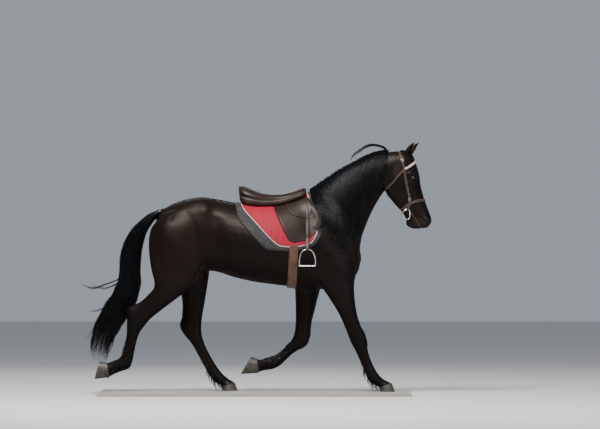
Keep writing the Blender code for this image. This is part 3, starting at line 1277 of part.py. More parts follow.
LOOKS = {
    "coat": ((0.030, 0.022, 0.019), 0.45, 0.0),
    "hair": ((0.012, 0.012, 0.014), 0.5, 0.0),
    "hoof": ((0.075, 0.068, 0.062), 0.5, 0.0),
    "eye": ((0.02, 0.01, 0.006), 0.08, 0.0),
    "leather": ((0.075, 0.035, 0.018), 0.4, 0.0),
    "pad": ((0.20, 0.02, 0.035), 0.85, 0.0),
    "girth": ((0.16, 0.09, 0.05), 0.7, 0.0),
    "iron": ((0.62, 0.62, 0.63), 0.25, 1.0),
    "band": ((0.55, 0.46, 0.36), 0.5, 0.0),
    "base": ((0.32, 0.30, 0.28), 0.6, 0.0),
}
LOOK_OF = {"tail": "hair", "hoof": "hoof", "eye": "eye", "saddle_pad": "pad", "saddle": "leather",
           "girth": "girth", "stirrup_leather": "leather", "stirrup_iron": "iron", "bit": "iron",
           "bridle_browband": "band", "bridle": "leather", "stand": "base"}


def dress(nodes):
    """Gives every node a material of its own by what its name starts with."""
    for name, obj in nodes.items():
        starts = [start for start in LOOK_OF if name.startswith(start)]
        look = LOOK_OF[max(starts, key=len)] if starts else "coat"
        obj.data.materials.clear()
        obj.data.materials.append(material(f"{name}_{look}", *LOOKS[look]))


def make_tack(tree, nodes):
    """Saddle, pad, girth, stirrups, bridle and bit, each clear of the rest by the gap."""
    torso = nodes["torso"]
    pad = saddle_pad(tree)
    carve(pad, [torso, nodes["neck"]])
    trim(pad, PAD_TRIANGLES)
    flaps = [saddle_flap("saddle_flap_right", tree, -1), saddle_flap("saddle_flap_left", tree, 1)]
    seat = loft("saddle_seat", SEAT_RIBS, 14, 1)
    carve(seat, [torso, pad], 3 * GAP)
    for flap in flaps:
        carve(flap, [torso, pad, seat, nodes["neck"]])
    band = girth()
    carve(band, [torso, pad, *flaps, nodes["fore_right_forearm"], nodes["fore_left_forearm"]])
    made = {obj.name: obj for obj in (pad, seat, band, *flaps)}
    for side_name, side, flap in (("right", -1, flaps[0]), ("left", 1, flaps[1])):
        for obj in stirrup(side_name, tree, side, [torso, pad, seat, flap, band]):
            made[obj.name] = obj
    return made


def main():
    for obj in list(bpy.data.objects):
        bpy.data.objects.remove(obj)
    skin = fused_skin(body_lofts())
    tree = surface_tree(skin)
    thin(skin)
    nodes = parted(skin)
    hooves = {name: hoof(name, *sizes) for name, sizes in HOOVES.items()}
    eyes = head_details(nodes["head"], tree)
    bit = make_bit(tree)
    carve(nodes["head"], [bit])
    ears = [ear(name, *sizes) for name, sizes in EARS.items()]
    for one in ears:
        carve(one, [nodes["head"]])
    tack = make_tack(tree, nodes)
    straps = bridle(tree, nodes, bit, ears)
    add_forelock(tree, nodes, [*ears, straps["bridle_headpiece"], straps["bridle_browband"]])
    nodes |= hooves | tack | straps
    for obj in (*eyes, *ears, bit, base_plate()):
        nodes[obj.name] = obj
    add_mane(tree, nodes, [*tack.values(), *straps.values()])
    add_feathers(nodes)
    nodes |= make_tail(nodes)
    for name, obj in nodes.items():
        triangulated(obj.data)
        triangulated(obj.data, FLAT_ANGLE)
        if name in TRIMMED:
            trim(obj, TRIMMED[name])
    dress(nodes)


if __name__ == "__main__":
    main()
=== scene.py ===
# %% [markdown]
# # A Friesian horse at the trot
#
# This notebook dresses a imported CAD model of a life-size horse in its coat, hair and saddlery.
# The CAD solids stay where they are, and each visible surface here is laid over one or more of them.
# All sizes are metres. x runs from tail to nose, y to the horse's left, and z up.

import math

import bmesh
import bpy
import numpy as np
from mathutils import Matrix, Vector
from mathutils.bvhtree import BVHTree


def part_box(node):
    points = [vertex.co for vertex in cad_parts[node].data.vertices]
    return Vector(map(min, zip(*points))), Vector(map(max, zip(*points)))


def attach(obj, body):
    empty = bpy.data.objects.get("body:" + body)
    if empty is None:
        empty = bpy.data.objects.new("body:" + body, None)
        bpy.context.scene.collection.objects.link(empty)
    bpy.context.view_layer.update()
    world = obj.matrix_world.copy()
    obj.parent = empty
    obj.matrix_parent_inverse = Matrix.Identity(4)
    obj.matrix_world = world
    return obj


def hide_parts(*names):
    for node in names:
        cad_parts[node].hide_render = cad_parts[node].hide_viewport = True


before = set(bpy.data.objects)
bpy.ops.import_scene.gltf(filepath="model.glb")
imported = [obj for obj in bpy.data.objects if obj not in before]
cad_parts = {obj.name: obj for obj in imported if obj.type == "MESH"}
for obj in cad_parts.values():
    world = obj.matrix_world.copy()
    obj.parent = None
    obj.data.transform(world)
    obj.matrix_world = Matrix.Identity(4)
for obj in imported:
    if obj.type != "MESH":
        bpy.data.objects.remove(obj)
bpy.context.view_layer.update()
draw = np.random.default_rng(7)
print("CAD nodes:", len(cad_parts))

# %% [markdown]
# ## The drawing grid
#
# A horse is easiest to draw on squares, as horse painters do: 200 squares reach from the ground to
# the withers, so one square is 8 mm on an animal of 1.60 m. Squares could be avoided by writing
# metres everywhere, but small whole numbers are easier to read and to correct against a drawing.

# %% Squares to metres
WITHERS_HEIGHT = 1.60
SQUARE = WITHERS_HEIGHT / 200
BASE_THICK = 0.03


def place(points):
    """Squares to metres: every coordinate times the square, and z raised by the base's thickness."""
    return np.asarray(points, float) * SQUARE + np.array((0, 0, BASE_THICK))


def squares(points):
    """Metres back to squares, the inverse of place."""
    return (np.asarray(points, float) - np.array((0, 0, BASE_THICK))) / SQUARE


print("one square is", SQUARE * 1000, "mm")

# %% [markdown]
# ## Ribs of the body
#
# Trunk, neck, head and each leg are tubes whose section changes along the way. A rib names the two
# points of the outline that it joins, its half width, the middle's y, how pear-shaped it is and how
# square. A sculpted mesh would be freer, but ribs keep every proportion readable and easy to move.

# %% Rib tables in squares
TRUNK = [
    ((-99, 174), (-97, 156), 5, 0),
    ((-94, 180.5), (-92, 142), 15, 0),
    ((-85, 186.3), (-84, 128), 22, 0, 0.05, 2.1),
    ((-72, 191.3), (-72, 120), 27.5, 0, 0.10, 2.2),
    ((-56, 194.0), (-56, 119), 30, 0, 0.08, 2.25),
    ((-40, 192.3), (-40, 119.5), 31.5, 0, 0.0, 2.2),
    ((-20, 188.6), (-20, 113.5), 35.5, 0, -0.04, 2.15),
    ((0, 186.6), (0, 109.0), 38.5, 0, -0.06, 2.1),
    ((20, 187.4), (20, 106.3), 38, 0, -0.10, 2.05),
    ((38, 192), (38, 104.0), 34.5, 0, -0.18, 2.0),
    ((52, 197.6), (52, 102.0), 30, 0, -0.25, 2.0),
    ((63, 200.5), (64, 101.5), 27.5, 0, -0.28, 2.0),
    ((76, 194), (77, 103), 27, 0, -0.18, 2.1),
    ((90, 182), (91, 108), 24.5, 0, -0.08, 2.2),
    ((100, 165), (101, 117), 19, 0, 0.0, 2.2),
    ((104.5, 152), (104.5, 126), 10, 0),
]
NECK = [
    ((50, 196), (92, 108), 22, 0, -0.20, 2.0),
    ((62, 205.5), (101, 122), 21.5, 0, -0.24, 2.0),
    ((72, 212.5), (105, 138), 19, 0, -0.26, 2.0),
    ((82, 219), (106.5, 152), 16.5, 0, -0.26, 2.0),
    ((94, 226), (110.5, 164), 14, 0, -0.24, 2.0),
    ((106, 231.8), (116, 177), 12.2, 0, -0.2, 2.0),
    ((119, 236.2), (123, 190), 10.8, 0, -0.14, 2.0),
    ((131, 238.3), (131, 202), 9.8, 0, -0.08, 2.0),
    ((140, 240), (139, 212), 9.0, 0),
    ((147, 239), (146, 222), 6.0, 0),
]
HEAD = [
    ((140, 239), (131, 226), 6.0, 0),
    ((148.5, 240.2), (129.3, 220), 8.8, 0, 0.10, 2.2),
    ((156.5, 236.5), (129.0, 212), 10.4, 0, 0.12, 2.4),
    ((161, 228), (129.5, 203.5), 11.4, 0, 0.14, 2.5),
    ((164.3, 217), (132.5, 194.5), 11.8, 0, 0.12, 2.5),
    ((165.8, 206), (138.5, 186.5), 10.2, 0, 0.06, 2.4),
    ((168.2, 196.5), (144.5, 179.5), 8.4, 0, 0.0, 2.3),
    ((171.2, 187.5), (148.3, 174), 7.2, 0, -0.02, 2.3),
    ((174.3, 179), (150.3, 169.2), 6.9, 0, 0.02, 2.3),
    ((176.8, 172.3), (151.3, 165.5), 7.2, 0, 0.06, 2.3),
    ((176.0, 167.2), (155.5, 163.2), 6.6, 0, 0.04, 2.3),
    ((172.6, 163.2), (161.5, 162.2), 4.6, 0),
]
FORE_RIGHT = [
    ((99, 138), (56, 150), 11.5, -14),
    ((100.5, 122), (59, 122), 13.5, -15),
    ((99, 109), (65.5, 106), 11.8, -15.5),
    ((99.3, 95), (73.5, 93.5), 9.4, -15.5),
    ((101, 81), (82, 80), 7.8, -15, 0.05, 2.0),
    ((104.8, 68), (88.2, 67), 6.6, -14.8, 0.05, 2.0),
    ((109.3, 58.3), (92.3, 56.8), 6.3, -14.5, 0.05, 2.2),
    ((111.3, 50.8), (95.5, 48.8), 6.5, -14.3, 0.08, 2.4),
    ((112.2, 43.8), (99.3, 41.8), 5.6, -14.1, 0.05, 2.2),
    ((114.3, 35.8), (103.4, 32.8), 4.3, -13.9),
    ((117.8, 26.8), (107.4, 23.4), 4.1, -13.7),
    ((121.8, 19.8), (110.8, 15.4), 4.7, -13.5),
    ((125.8, 14.6), (114.2, 9.2), 5.2, -13.4),
    ((130.6, 11.3), (120.4, 5.6), 4.6, -13.3),
    ((136.0, 8.6), (124.6, 4.6), 6.2, -13.2),
    ((137.4, 5.4), (126.0, 1.4), 5.6, -13.2),
]
FORE_LEFT = [
    ((80, 150), (44, 156), 10.5, 14),
    ((74, 122), (41, 124), 13, 15),
    ((67, 106), (40, 108), 11.6, 15.5),
    ((63.6, 95), (40, 97), 9.8, 15.5),
    ((60.3, 82), (40.4, 83), 8.0, 15, 0.05, 2.0),
    ((57.4, 70), (40.4, 70), 6.8, 14.8, 0.05, 2.0),
    ((55.8, 60), (39.6, 60), 6.4, 14.6, 0.05, 2.2),
    ((54.8, 52.8), (37.8, 53.6), 6.5, 14.4, 0.08, 2.4),
    ((51.8, 46.2), (35.2, 49.4), 6.4, 14.2, 0.08, 2.4),
    ((45.6, 41.8), (31.4, 46.2), 5.6, 14.0, 0.05, 2.2),
    ((37.8, 36.8), (27.2, 41.0), 4.4, 13.8),
    ((31.2, 30.6), (21.0, 36.6), 4.2, 13.6),
    ((24.6, 24.6), (15.2, 34.2), 4.8, 13.4),
    ((17.6, 21.4), (10.2, 32.8), 5.2, 13.2),
    ((9.6, 20.2), (6.4, 31.4), 4.7, 13.0),
    ((3.6, 18.4), (2.6, 31.6), 6.2, 12.9),
    ((0.4, 18.6), (0.4, 31.2), 5.6, 12.9),
]
HIND_RIGHT = [
    ((-50, 186), (-93, 176), 14, -9),
    ((-46.5, 170), (-102.5, 163), 18.5, -12.5, 0.0, 2.1),
    ((-46.5, 154), (-105.5, 150), 19.0, -14.5, 0.0, 2.1),
    ((-48, 136), (-104.8, 133), 16.5, -16, 0.0, 2.1),
    ((-52.5, 121), (-102.8, 120), 14.0, -16.5, 0.0, 2.1),
    ((-60, 108), (-100.4, 110.4), 11.6, -16.5),
    ((-71, 97.8), (-100.6, 103.6), 9.6, -16),
    ((-82.4, 89.2), (-106, 96.8), 8.2, -15.5),
    ((-94.4, 79.6), (-114.2, 89.4), 7.0, -15),
    ((-103.2, 72.4), (-122.6, 85.6), 6.4, -14.6, 0.0, 2.1),
    ((-109.4, 65.4), (-127.4, 81.6), 6.6, -14.3, 0.0, 2.2),
    ((-114.4, 58.4), (-127.6, 71.8), 6.2, -14.0, 0.0, 2.2),
    ((-117.4, 49.6), (-127.8, 58.2), 4.7, -13.7),
    ((-119.4, 40.6), (-129.8, 46.6), 4.3, -13.4),
    ((-121.2, 31.8), (-131.8, 37.2), 4.8, -13.2),
    ((-124.2, 23.6), (-134.6, 33.4), 5.4, -13.0),
    ((-130.8, 20.6), (-138.6, 31.6), 5.2, -12.8),
    ((-138.2, 17.8), (-142.8, 29.4), 4.8, -12.6),
    ((-144.4, 14.6), (-146.6, 28.6), 6.3, -12.5),
    ((-147.6, 14.2), (-148.8, 27.6), 5.6, -12.5),
]
HIND_LEFT = [
    ((-50, 186), (-93, 176), 14, 9),
    ((-46, 170), (-101, 163), 18.5, 12.5, 0.0, 2.1),
    ((-45, 154), (-101, 149), 19.0, 14.5, 0.0, 2.1),
    ((-45, 136), (-94, 130), 16.5, 16, 0.0, 2.1),
    ((-46, 119), (-84, 114), 13.4, 16.5, 0.0, 2.1),
    ((-48, 104), (-76, 101), 10.8, 16.3),
    ((-50.4, 89), (-73.4, 87.6), 8.6, 16),
    ((-52.6, 76), (-73.8, 75), 7.2, 15.6),
    ((-53.8, 66.5), (-75.2, 66), 6.6, 15.2, 0.0, 2.2),
    ((-53.4, 56.6), (-72.8, 58), 6.4, 14.8, 0.0, 2.2),
    ((-50.4, 46.8), (-64.0, 46.8), 5.0, 14.3),
    ((-45.4, 36.4), (-57.4, 35.4), 4.4, 13.8),
    ((-39.6, 26.6), (-51.8, 25.0), 4.4, 13.4),
    ((-33.6, 18.4), (-46.6, 15.6), 4.9, 13.1),
    ((-29.0, 14.0), (-41.2, 9.0), 5.4, 12.9),
    ((-24.8, 11.0), (-35.6, 5.8), 4.9, 12.8),
    ((-20.6, 8.4), (-33.4, 4.6), 6.4, 12.7),
    ((-19.2, 5.2), (-32.0, 1.4), 5.8, 12.7),
]
LOFTS = (TRUNK, NECK, HEAD, FORE_RIGHT, FORE_LEFT, HIND_RIGHT, HIND_LEFT)
print("ribs:", sum(len(table) for table in LOFTS))

# %% [markdown]
# ## From ribs to one skin
#
# Each table becomes a closed tube, and a voxel remesh melts the tubes into one surface, as clay
# pieces are pressed together. Boolean unions would leave creases where a leg meets the trunk, and
# the remesh followed by smoothing gives the soft webs of skin that a real elbow or stifle has.

# %% Tube surfaces and the melted skin
RIB_SIDES, STEPS_BETWEEN_RIBS = 36, 6
SKIN_VOXEL = 0.0045
SMOOTHING = 0.0011


def smooth_rows(rows, steps):
    """Catmull-Rom curve: each span blends its four nearest rows with cubic weights."""
    rows = np.asarray(rows, float)
    padded = np.vstack([2 * rows[0] - rows[1], rows, 2 * rows[-1] - rows[-2]])
    a, b, c, d = (padded[i:len(padded) - 3 + i, None, :] for i in range(4))
    t = (np.arange(steps) / steps)[None, :, None]
    curve = 0.5 * (2 * b + (c - a) * t + (2 * a - 5 * b + 4 * c - d) * t**2
                   + (3 * b - a - 3 * c + d) * t**3)
    return np.vstack([curve.reshape(-1, rows.shape[1]), rows[-1:]])


def circle(count):
    """Even angles round a full turn, without the last, which is the first again."""
    return np.linspace(0, 2 * math.pi, count, endpoint=False)


def signed_power(wave, power):
    """A cosine or sine's size to a power, with its sign kept."""
    return np.sign(wave) * np.abs(wave) ** power


def rib_rows(table):
    """Rows of eight numbers. A rib that gives no pear or square share is a plain ellipse."""
    return np.array([[*front, *back, *rest, *((0.0, 2.0) if len(rest) == 2 else ())]
                     for front, back, *rest in table], float)


def ring_points(rows, sides):
    """Superellipse sections: cosine and sine to the power 2/n, widened by pear times the cosine."""
    fx, fz, bx, bz, width, middle, pear, square = (rows[:, i, None] for i in range(8))
    angle = circle(sides)[None, :]
    along, across = signed_power(np.cos(angle), 2 / square), signed_power(np.sin(angle), 2 / square)
    x = (fx + bx) / 2 + (fx - bx) / 2 * along
    z = (fz + bz) / 2 + (fz - bz) / 2 * along
    y = middle + width * across * (1 + pear * along)
    return place(np.stack([x, y, z], axis=2))


def new_object(name, data):
    """An object in the scene that holds a mesh, a camera or a lamp."""
    made = bpy.data.objects.new(name, data)
    bpy.context.scene.collection.objects.link(made)
    return made


def read_all(items, field, width, kind=np.float32):
    """One field of every item of a mesh, as an array (item, width)."""
    values = np.empty(len(items) * width, kind)
    items.foreach_get(field, values)
    return values.reshape(-1, width)


def mesh_piece(name, points, faces, uv=None):
    """A mesh object from an array of points and an array, or list, of corner numbers."""
    mesh = bpy.data.meshes.new(name)
    faces = faces.tolist() if isinstance(faces, np.ndarray) else faces
    mesh.from_pydata(np.asarray(points, float).reshape(-1, 3).tolist(), [], faces)
    if uv is not None:
        layer = mesh.uv_layers.new(name="OFBake" if name.startswith("hair") else "UVMap")
        corners = read_all(mesh.loops, "vertex_index", 1, np.int32)[:, 0]
        layer.data.foreach_set("uv", np.asarray(uv, np.float32).reshape(-1, 2)[corners].ravel())
    mesh.shade_smooth()
    return new_object(name, mesh)


def quads(grid):
    """Four-cornered faces between neighbours in a grid of vertex numbers."""
    corners = np.stack([grid[:-1, :-1], grid[1:, :-1], grid[1:, 1:], grid[:-1, 1:]], axis=-1)
    return corners.reshape(-1, 4)

def face_outwards(obj):
    """Recalculates normals, turns the mesh where its signed volume is negative, and returns it."""
    work = bmesh.new()
    work.from_mesh(obj.data)
    bmesh.ops.recalc_face_normals(work, faces=work.faces[:])
    if work.calc_volume(signed=True) < 0:
        bmesh.ops.reverse_faces(work, faces=work.faces[:])
    work.to_mesh(obj.data)
    work.free()
    return obj


def closed_stack(name, rings):
    """A closed tube: quads between neighbouring rings, and a flat face over each end."""
    count, sides = rings.shape[0], rings.shape[1]
    number = np.arange(count * sides).reshape(count, sides)
    faces = quads(np.concatenate([number, number[:, :1]], axis=1)).tolist()
    faces += [number[0, ::-1].tolist(), number[-1].tolist()]
    return face_outwards(mesh_piece(name, rings, faces))


def loft(name, ribs, sides=RIB_SIDES, steps=STEPS_BETWEEN_RIBS):
    """A closed tube through smoothed ribs."""
    return closed_stack(name, ring_points(smooth_rows(rib_rows(ribs), steps), sides))


def apply_modifiers(obj):
    """Replaces an object's mesh by what its modifiers make of it."""
    graph = bpy.context.evaluated_depsgraph_get()
    mesh = bpy.data.meshes.new_from_object(obj.evaluated_get(graph))
    obj.modifiers.clear()
    old, obj.data = obj.data, mesh
    bpy.data.meshes.remove(old)


def joined(name, objects):
    """One object holding the meshes of several."""
    work = bmesh.new()
    for obj in objects:
        work.from_mesh(obj.data)
        bpy.data.objects.remove(obj)
    mesh = bpy.data.meshes.new(name)
    work.to_mesh(mesh)
    work.free()
    mesh.shade_smooth()
    mesh.shade_smooth()
    return new_object(name, mesh)


def modify(obj, kind, **settings):
    """Adds one modifier with the given settings and applies it."""
    made = obj.modifiers.new(kind.lower(), kind)
    for key, value in settings.items():
        setattr(made, key, value)
    apply_modifiers(obj)


def vertex_arrays(mesh):
    """A mesh's points and normals as two arrays (vertex, xyz)."""
    return (read_all(mesh.vertices, "co", 3).astype(float),
            read_all(mesh.vertex_normals, "vector", 3).astype(float))


def triangle_corners(mesh):
    """The three point numbers of every triangle."""
    mesh.calc_loop_triangles()
    return read_all(mesh.loop_triangles, "vertices", 3, np.int32)


def set_points(obj, points):
    obj.data.vertices.foreach_set("co", points.astype(np.float32).ravel())
    obj.data.update()


skin = joined("skin", [loft("tube", table) for table in LOFTS])
modify(skin, "REMESH", mode="VOXEL", voxel_size=SKIN_VOXEL, use_smooth_shade=True)
modify(skin, "SMOOTH", factor=0.5, iterations=int(SMOOTHING / SKIN_VOXEL**2))
print("melted skin:", len(skin.data.polygons), "faces")

# %% [markdown]
# ## Muscles, bones and veins
#
# Under a glossy coat every muscle catches the light. Each form here is a soft ridge or furrow along
# a line: a point of the skin moves along its normal by the form's height times a bell curve of its
# distance from the line. Sculpting by hand would be quicker once, but a table can be corrected.

# %% Forms in squares: from, to, reach and height
PAIRED_FORMS = {
    "shoulder blade": ((60, 20, 186), (96, 23, 146), 10, 1.8),
    "hollow behind the shoulder": ((49, 26, 186), (60, 28, 134), 6, -1.0),
    "triceps": ((64, 27, 152), (80, 26, 128), 9, 1.8),
    "point of the shoulder": ((99, 17, 142), (99, 18, 136), 6, 1.4),
    "pectoral": ((104, 8, 132), (96, 9, 114), 7, 1.8),
    "flank hollow": ((-40, 30, 168), (-38, 31, 150), 8, -1.7),
    "hook of the hip": ((-47, 24, 184), (-49, 26, 180), 5, 1.3),
    "gluteal": ((-56, 19, 188), (-86, 19, 174), 11, 1.6),
    "thigh": ((-90, 27, 164), (-74, 30, 130), 10, 1.5),
    "thigh groove": ((-100, 24, 160), (-91, 27, 118), 3.5, -1.0),
    "cheek": ((141, 10, 212), (143, 9, 200), 8, 1.0),
    "jaw edge": ((130.5, 7, 214), (136, 7.5, 194), 3, 0.6),
    "cheek bone": ((154, 11, 207), (163, 8.5, 193), 2.2, 1.0),
    "brow": ((160.5, 9, 218), (155.5, 11, 217), 3.0, 1.5),
    "temple hollow": ((153, 9, 226), (155, 9, 223), 2.6, -1.1),
    "nose hollow": ((166, 8, 198), (170, 7, 184), 3.0, -0.7),
    "nostril rim": ((175.5, 6, 174.5), (172.5, 6.5, 170), 2.6, 1.5),
    "upper lip": ((173, 5, 165), (166, 5.5, 166), 2.6, 0.9),
    "chin": ((159.5, 4, 163.5), (157, 4, 164), 3.2, 0.9),
    "neck furrow": ((100, 10, 160), (124, 7, 194), 4, -0.8),
}
MIDDLE_FORMS = {
    "breast furrow": ((108, 0, 142), (101, 0, 112), 4, -1.4),
    "croup furrow": ((-58, 0, 196), (-94, 0, 182), 4, -0.9),
    "furrow under the jaw": ((136, 0, 192), (150, 0, 172), 3, -1.8),
    "crest": ((84, 0, 218), (134, 0, 241), 5, 0.5),
}
LEG_FORMS = {
    "right stifle": ((-54, -29, 121), (-57, -27, 113), 6, 1.5),
    "left stifle": ((-46, 29, 120), (-50, 27, 110), 6, 1.3),
    "right gaskin": ((-66, -24, 104), (-86, -22, 90), 6, 1.2),
    "left gaskin": ((-58, 24, 104), (-60, 23, 84), 6, 1.2),
    "right hock bone": ((-119, -15, 79), (-126, -15, 83), 3.5, 0.9),
    "left hock bone": ((-70, 15, 62), (-75, 15, 66), 3.5, 0.9),
    "right forearm": ((93, -22, 98), (95, -20, 82), 6, 1.2),
    "left forearm": ((56, 22, 98), (52, 20, 82), 6, 1.2),
    "right knee": ((107, -15, 56), (110, -15, 48), 3.6, 0.9),
    "left knee": ((53, 15, 57), (48, 15, 45), 3.6, 0.9),
    "right elbow": ((62, -24, 118), (60, -22, 112), 5, 1.2),
    "left elbow": ((44, 24, 118), (42, 22, 112), 5, 1.2),
}
FINE_FORMS = {
    "spine of the blade": ((70, 23, 180), (93, 23, 152), 2.6, 0.5),
    "seam before the shoulder": ((78, 17, 194), (104, 13, 152), 3.4, -0.9),
    "neck muscle": ((90, 17, 168), (127, 9, 214), 5, 0.7),
    "seam over the neck muscle": ((86, 17, 182), (124, 9, 222), 2.6, -0.5),
    "hollow beside the withers": ((56, 14, 192), (66, 16, 184), 5, -0.6),
    "loin": ((-22, 17, 190), (-46, 17, 193), 6, 0.6),
    "flank fold": ((-46, 25, 138), (-36, 31, 120), 3, 0.9),
    "thigh seam": ((-82, 25, 172), (-84, 28, 128), 2.4, -0.7),
    "buttock": ((-99, 17, 160), (-99, 20, 138), 6, 0.7),
    "stifle hollow": ((-60, 29, 128), (-50, 28, 132), 3, -0.5),
    "breast edge": ((104, 7, 128), (99, 12, 108), 2.2, -0.6),
    "triceps seam": ((74, 28, 150), (66, 27, 122), 2.0, -0.6),
    "nasal ridge": ((165, 4.6, 214), (172, 3.6, 190), 1.4, 0.4),
    "face vein": ((155, 9.5, 200), (166, 8, 190), 0.6, 0.3),
    "branch of the face vein": ((161, 9, 194.5), (168, 7.5, 196), 0.5, 0.24),
    "front edge of the cheek": ((148, 11, 200), (152, 8, 184), 1.6, -0.5),
    "bone behind the eye": ((149, 9, 229), (152, 10.5, 217), 1.8, 0.6),
    "lip fold": ((168, 6.2, 170.6), (163, 6.4, 173.5), 1.0, -0.35),
    "throat fold": ((132, 8, 222), (128, 7, 206), 1.6, -0.9),
    "upper lip's edge": ((172.0, 4.2, 163.4), (164.0, 5.4, 166.2), 1.5, 0.55),
    "lower lip": ((164.0, 4.4, 161.6), (157.5, 5.6, 170.5), 1.7, 0.5),
    "groove over the chin": ((159.6, 5.0, 163.0), (154.6, 5.2, 168.6), 1.3, -0.65),
    "groove over the upper lip": ((170.4, 6.4, 169.0), (163.6, 7.2, 174.2), 1.6, -0.45),
    "pad of the nostril": ((170.0, 6.6, 176.5), (170.8, 6.4, 171.5), 1.8, 0.55),
    "hollow behind the nostril": ((167.2, 7.2, 180.5), (168.2, 7.4, 175.0), 1.6, -0.45),
}
RIB_COUNT, FIRST_RIB, RIB_SPACING, RIB_REACH, RIB_HEIGHT = 10, 26, 6.2, 1.7, 0.24
TENDONS = [(FORE_RIGHT, 8, 11), (FORE_LEFT, 9, 12), (HIND_RIGHT, 12, 14), (HIND_LEFT, 10, 12)]
TENDON_SHARE, TENDON_REACH, TENDON_HEIGHT = 0.62, 1.25, -0.42


def unit(vectors):
    return vectors / (np.linalg.norm(vectors, axis=-1, keepdims=True) + 1e-12)


def mirrored(forms):
    """Each form twice, with y as it is and with y changed in sign."""
    return [(tuple(start * np.array((1, side, 1))), tuple(end * np.array((1, side, 1))), reach, height)
            for start, end, reach, height in forms for side in (1, -1)]


def tendon_grooves():
    """Furrows along both sides of each cannon, two thirds of the way from bone to back tendon."""
    lines = []
    for table, first, last in TENDONS:
        for side in (1, -1):
            spots = [(f[0] + (b[0] - f[0]) * TENDON_SHARE, middle + side * width * 0.95,
                      f[1] + (b[1] - f[1]) * TENDON_SHARE)
                     for f, b, width, middle, *_ in table[first:last + 1]]
            lines += [(a, b, TENDON_REACH, TENDON_HEIGHT) for a, b in zip(spots[:-1], spots[1:])]
    return lines


def swell(obj, forms):
    """Moves points along normals: rise = sum of height * exp(-(distance to the line / reach)^2)."""
    points, normals = vertex_arrays(obj.data)
    at = squares(points)
    rise = np.zeros(len(at))
    for start, end, reach, height in forms:
        start, line = np.array(start, float), np.array(end, float) - np.array(start, float)
        t = np.clip((at - start) @ line / (line @ line), 0, 1)
        away = ((at - start - t[:, None] * line) ** 2).sum(1)
        rise += height * np.exp(-away / reach**2)
    set_points(obj, points + normals * rise[:, None] * SQUARE)


rib_tops = [FIRST_RIB - RIB_SPACING * i for i in range(RIB_COUNT)]
rib_forms = [((x + 2, 36, 170), (x - 1, 37, 128), RIB_REACH, RIB_HEIGHT) for x in rib_tops]
forms = mirrored([*PAIRED_FORMS.values(), *FINE_FORMS.values(), *rib_forms])
forms += [*MIDDLE_FORMS.values(), *LEG_FORMS.values(), *tendon_grooves()]
swell(skin, forms)
print("forms on the skin:", len(forms))

# %% [markdown]
# ## Fine where it matters
#
# A face needs small triangles round eye, nostril and mouth, and a rump doesn't. Decimation thins
# the trunk and legs and leaves the head alone. A second, finer remesh of the head was the other
# choice, but then a seam would show across the throat.

# %% Thin the body and split the head's triangles
BODY_TRIANGLES = 105000
HEAD_FROM = (134, 158)
EYE_AT, NOSTRIL_AT = (157.6, 213.0), (173.4, 174.2)
MOUTH_LINE = [(156.0, 178.6), (159.2, 173.2), (162.4, 168.4), (164.4, 164.6), (165.6, 160.0)]
FLIP_ROUNDS, TURNED_COSINE, MEND_SHARE = 8, 0.35, 0.7


def thin_body(obj, wanted):
    """Collapses short edges outside the head until about a wanted number of triangles is left."""
    at = squares(vertex_arrays(obj.data)[0])
    body = ~((at[:, 0] > HEAD_FROM[0]) & (at[:, 2] > HEAD_FROM[1]))
    group = obj.vertex_groups.new(name="may go")
    group.add(np.nonzero(body)[0].tolist(), 1.0, "REPLACE")
    total = len(triangle_corners(obj.data))
    there = total * body.mean()
    if there > wanted:
        modify(obj, "DECIMATE", ratio=1 - (there - wanted) / total, vertex_group="may go",
               use_collapse_triangulate=True)
    obj.vertex_groups.clear()


def split_near(obj, spots):
    """Halves the edges that lie within a reach of any spot (x, z, reach in squares)."""
    work = bmesh.new()
    work.from_mesh(obj.data)
    middles = squares(np.array([(e.verts[0].co + e.verts[1].co) / 2 for e in work.edges]))
    near = np.zeros(len(middles), bool)
    for x, z, reach in spots:
        near |= np.hypot(middles[:, 0] - x, middles[:, 2] - z) < reach
    chosen = [edge for edge, close in zip(work.edges, near) if close]
    bmesh.ops.subdivide_edges(work, edges=chosen, cuts=1, smooth=0.0, use_grid_fill=True)
    bmesh.ops.triangulate(work, faces=work.faces[:])
    work.to_mesh(obj.data)
    work.free()


def mend_flips(obj):
    """Moves the corners of triangles that face against their neighbours towards their neighbours' mean."""
    mesh = obj.data
    corners, edges = triangle_corners(mesh), read_all(mesh.edges, "vertices", 2, np.int32)
    both = np.concatenate([edges, edges[:, ::-1]])
    for _ in range(FLIP_ROUNDS):
        points, normals = vertex_arrays(mesh)
        a, b, c = (points[corners[:, i]] for i in range(3))
        face = unit(np.cross(b - a, c - a))
        against = ((normals[corners] * face[:, None]).sum(2) < TURNED_COSINE).any(1)
        bad = np.zeros(len(points), bool)
        bad[corners[against]] = True
        bad &= squares(points)[:, 0] < HEAD_FROM[0]
        if not bad.any():
            break
        total, number = np.zeros_like(points), np.bincount(both[:, 0], minlength=len(points))
        np.add.at(total, both[:, 0], points[both[:, 1]])
        points[bad] = (1 - MEND_SHARE) * points[bad] + MEND_SHARE * total[bad] / number[bad, None]
        set_points(obj, points)
    print("corners still turned:", int(bad.sum()))


thin_body(skin, BODY_TRIANGLES)
mend_flips(skin)
split_near(skin, [(*EYE_AT, 5.5), (*NOSTRIL_AT, 5.0)] + [(*spot, 2.6) for spot in MOUTH_LINE])
split_near(skin, [(*EYE_AT, 3.4), (*NOSTRIL_AT, 3.2)] + [(*spot, 1.4) for spot in MOUTH_LINE])
print("skin:", len(skin.data.polygons), "triangles")

# %% [markdown]
# ## Eyelids, nostrils and mouth
#
# The lids are a thin shell over the eyeball with an almond opening, the nostril is a comma with a
# raised rim, and the mouth is a crease with a lip on each side. All three are depths given by a
# formula of the distance from a drawn outline, so that they stay one surface with the face.

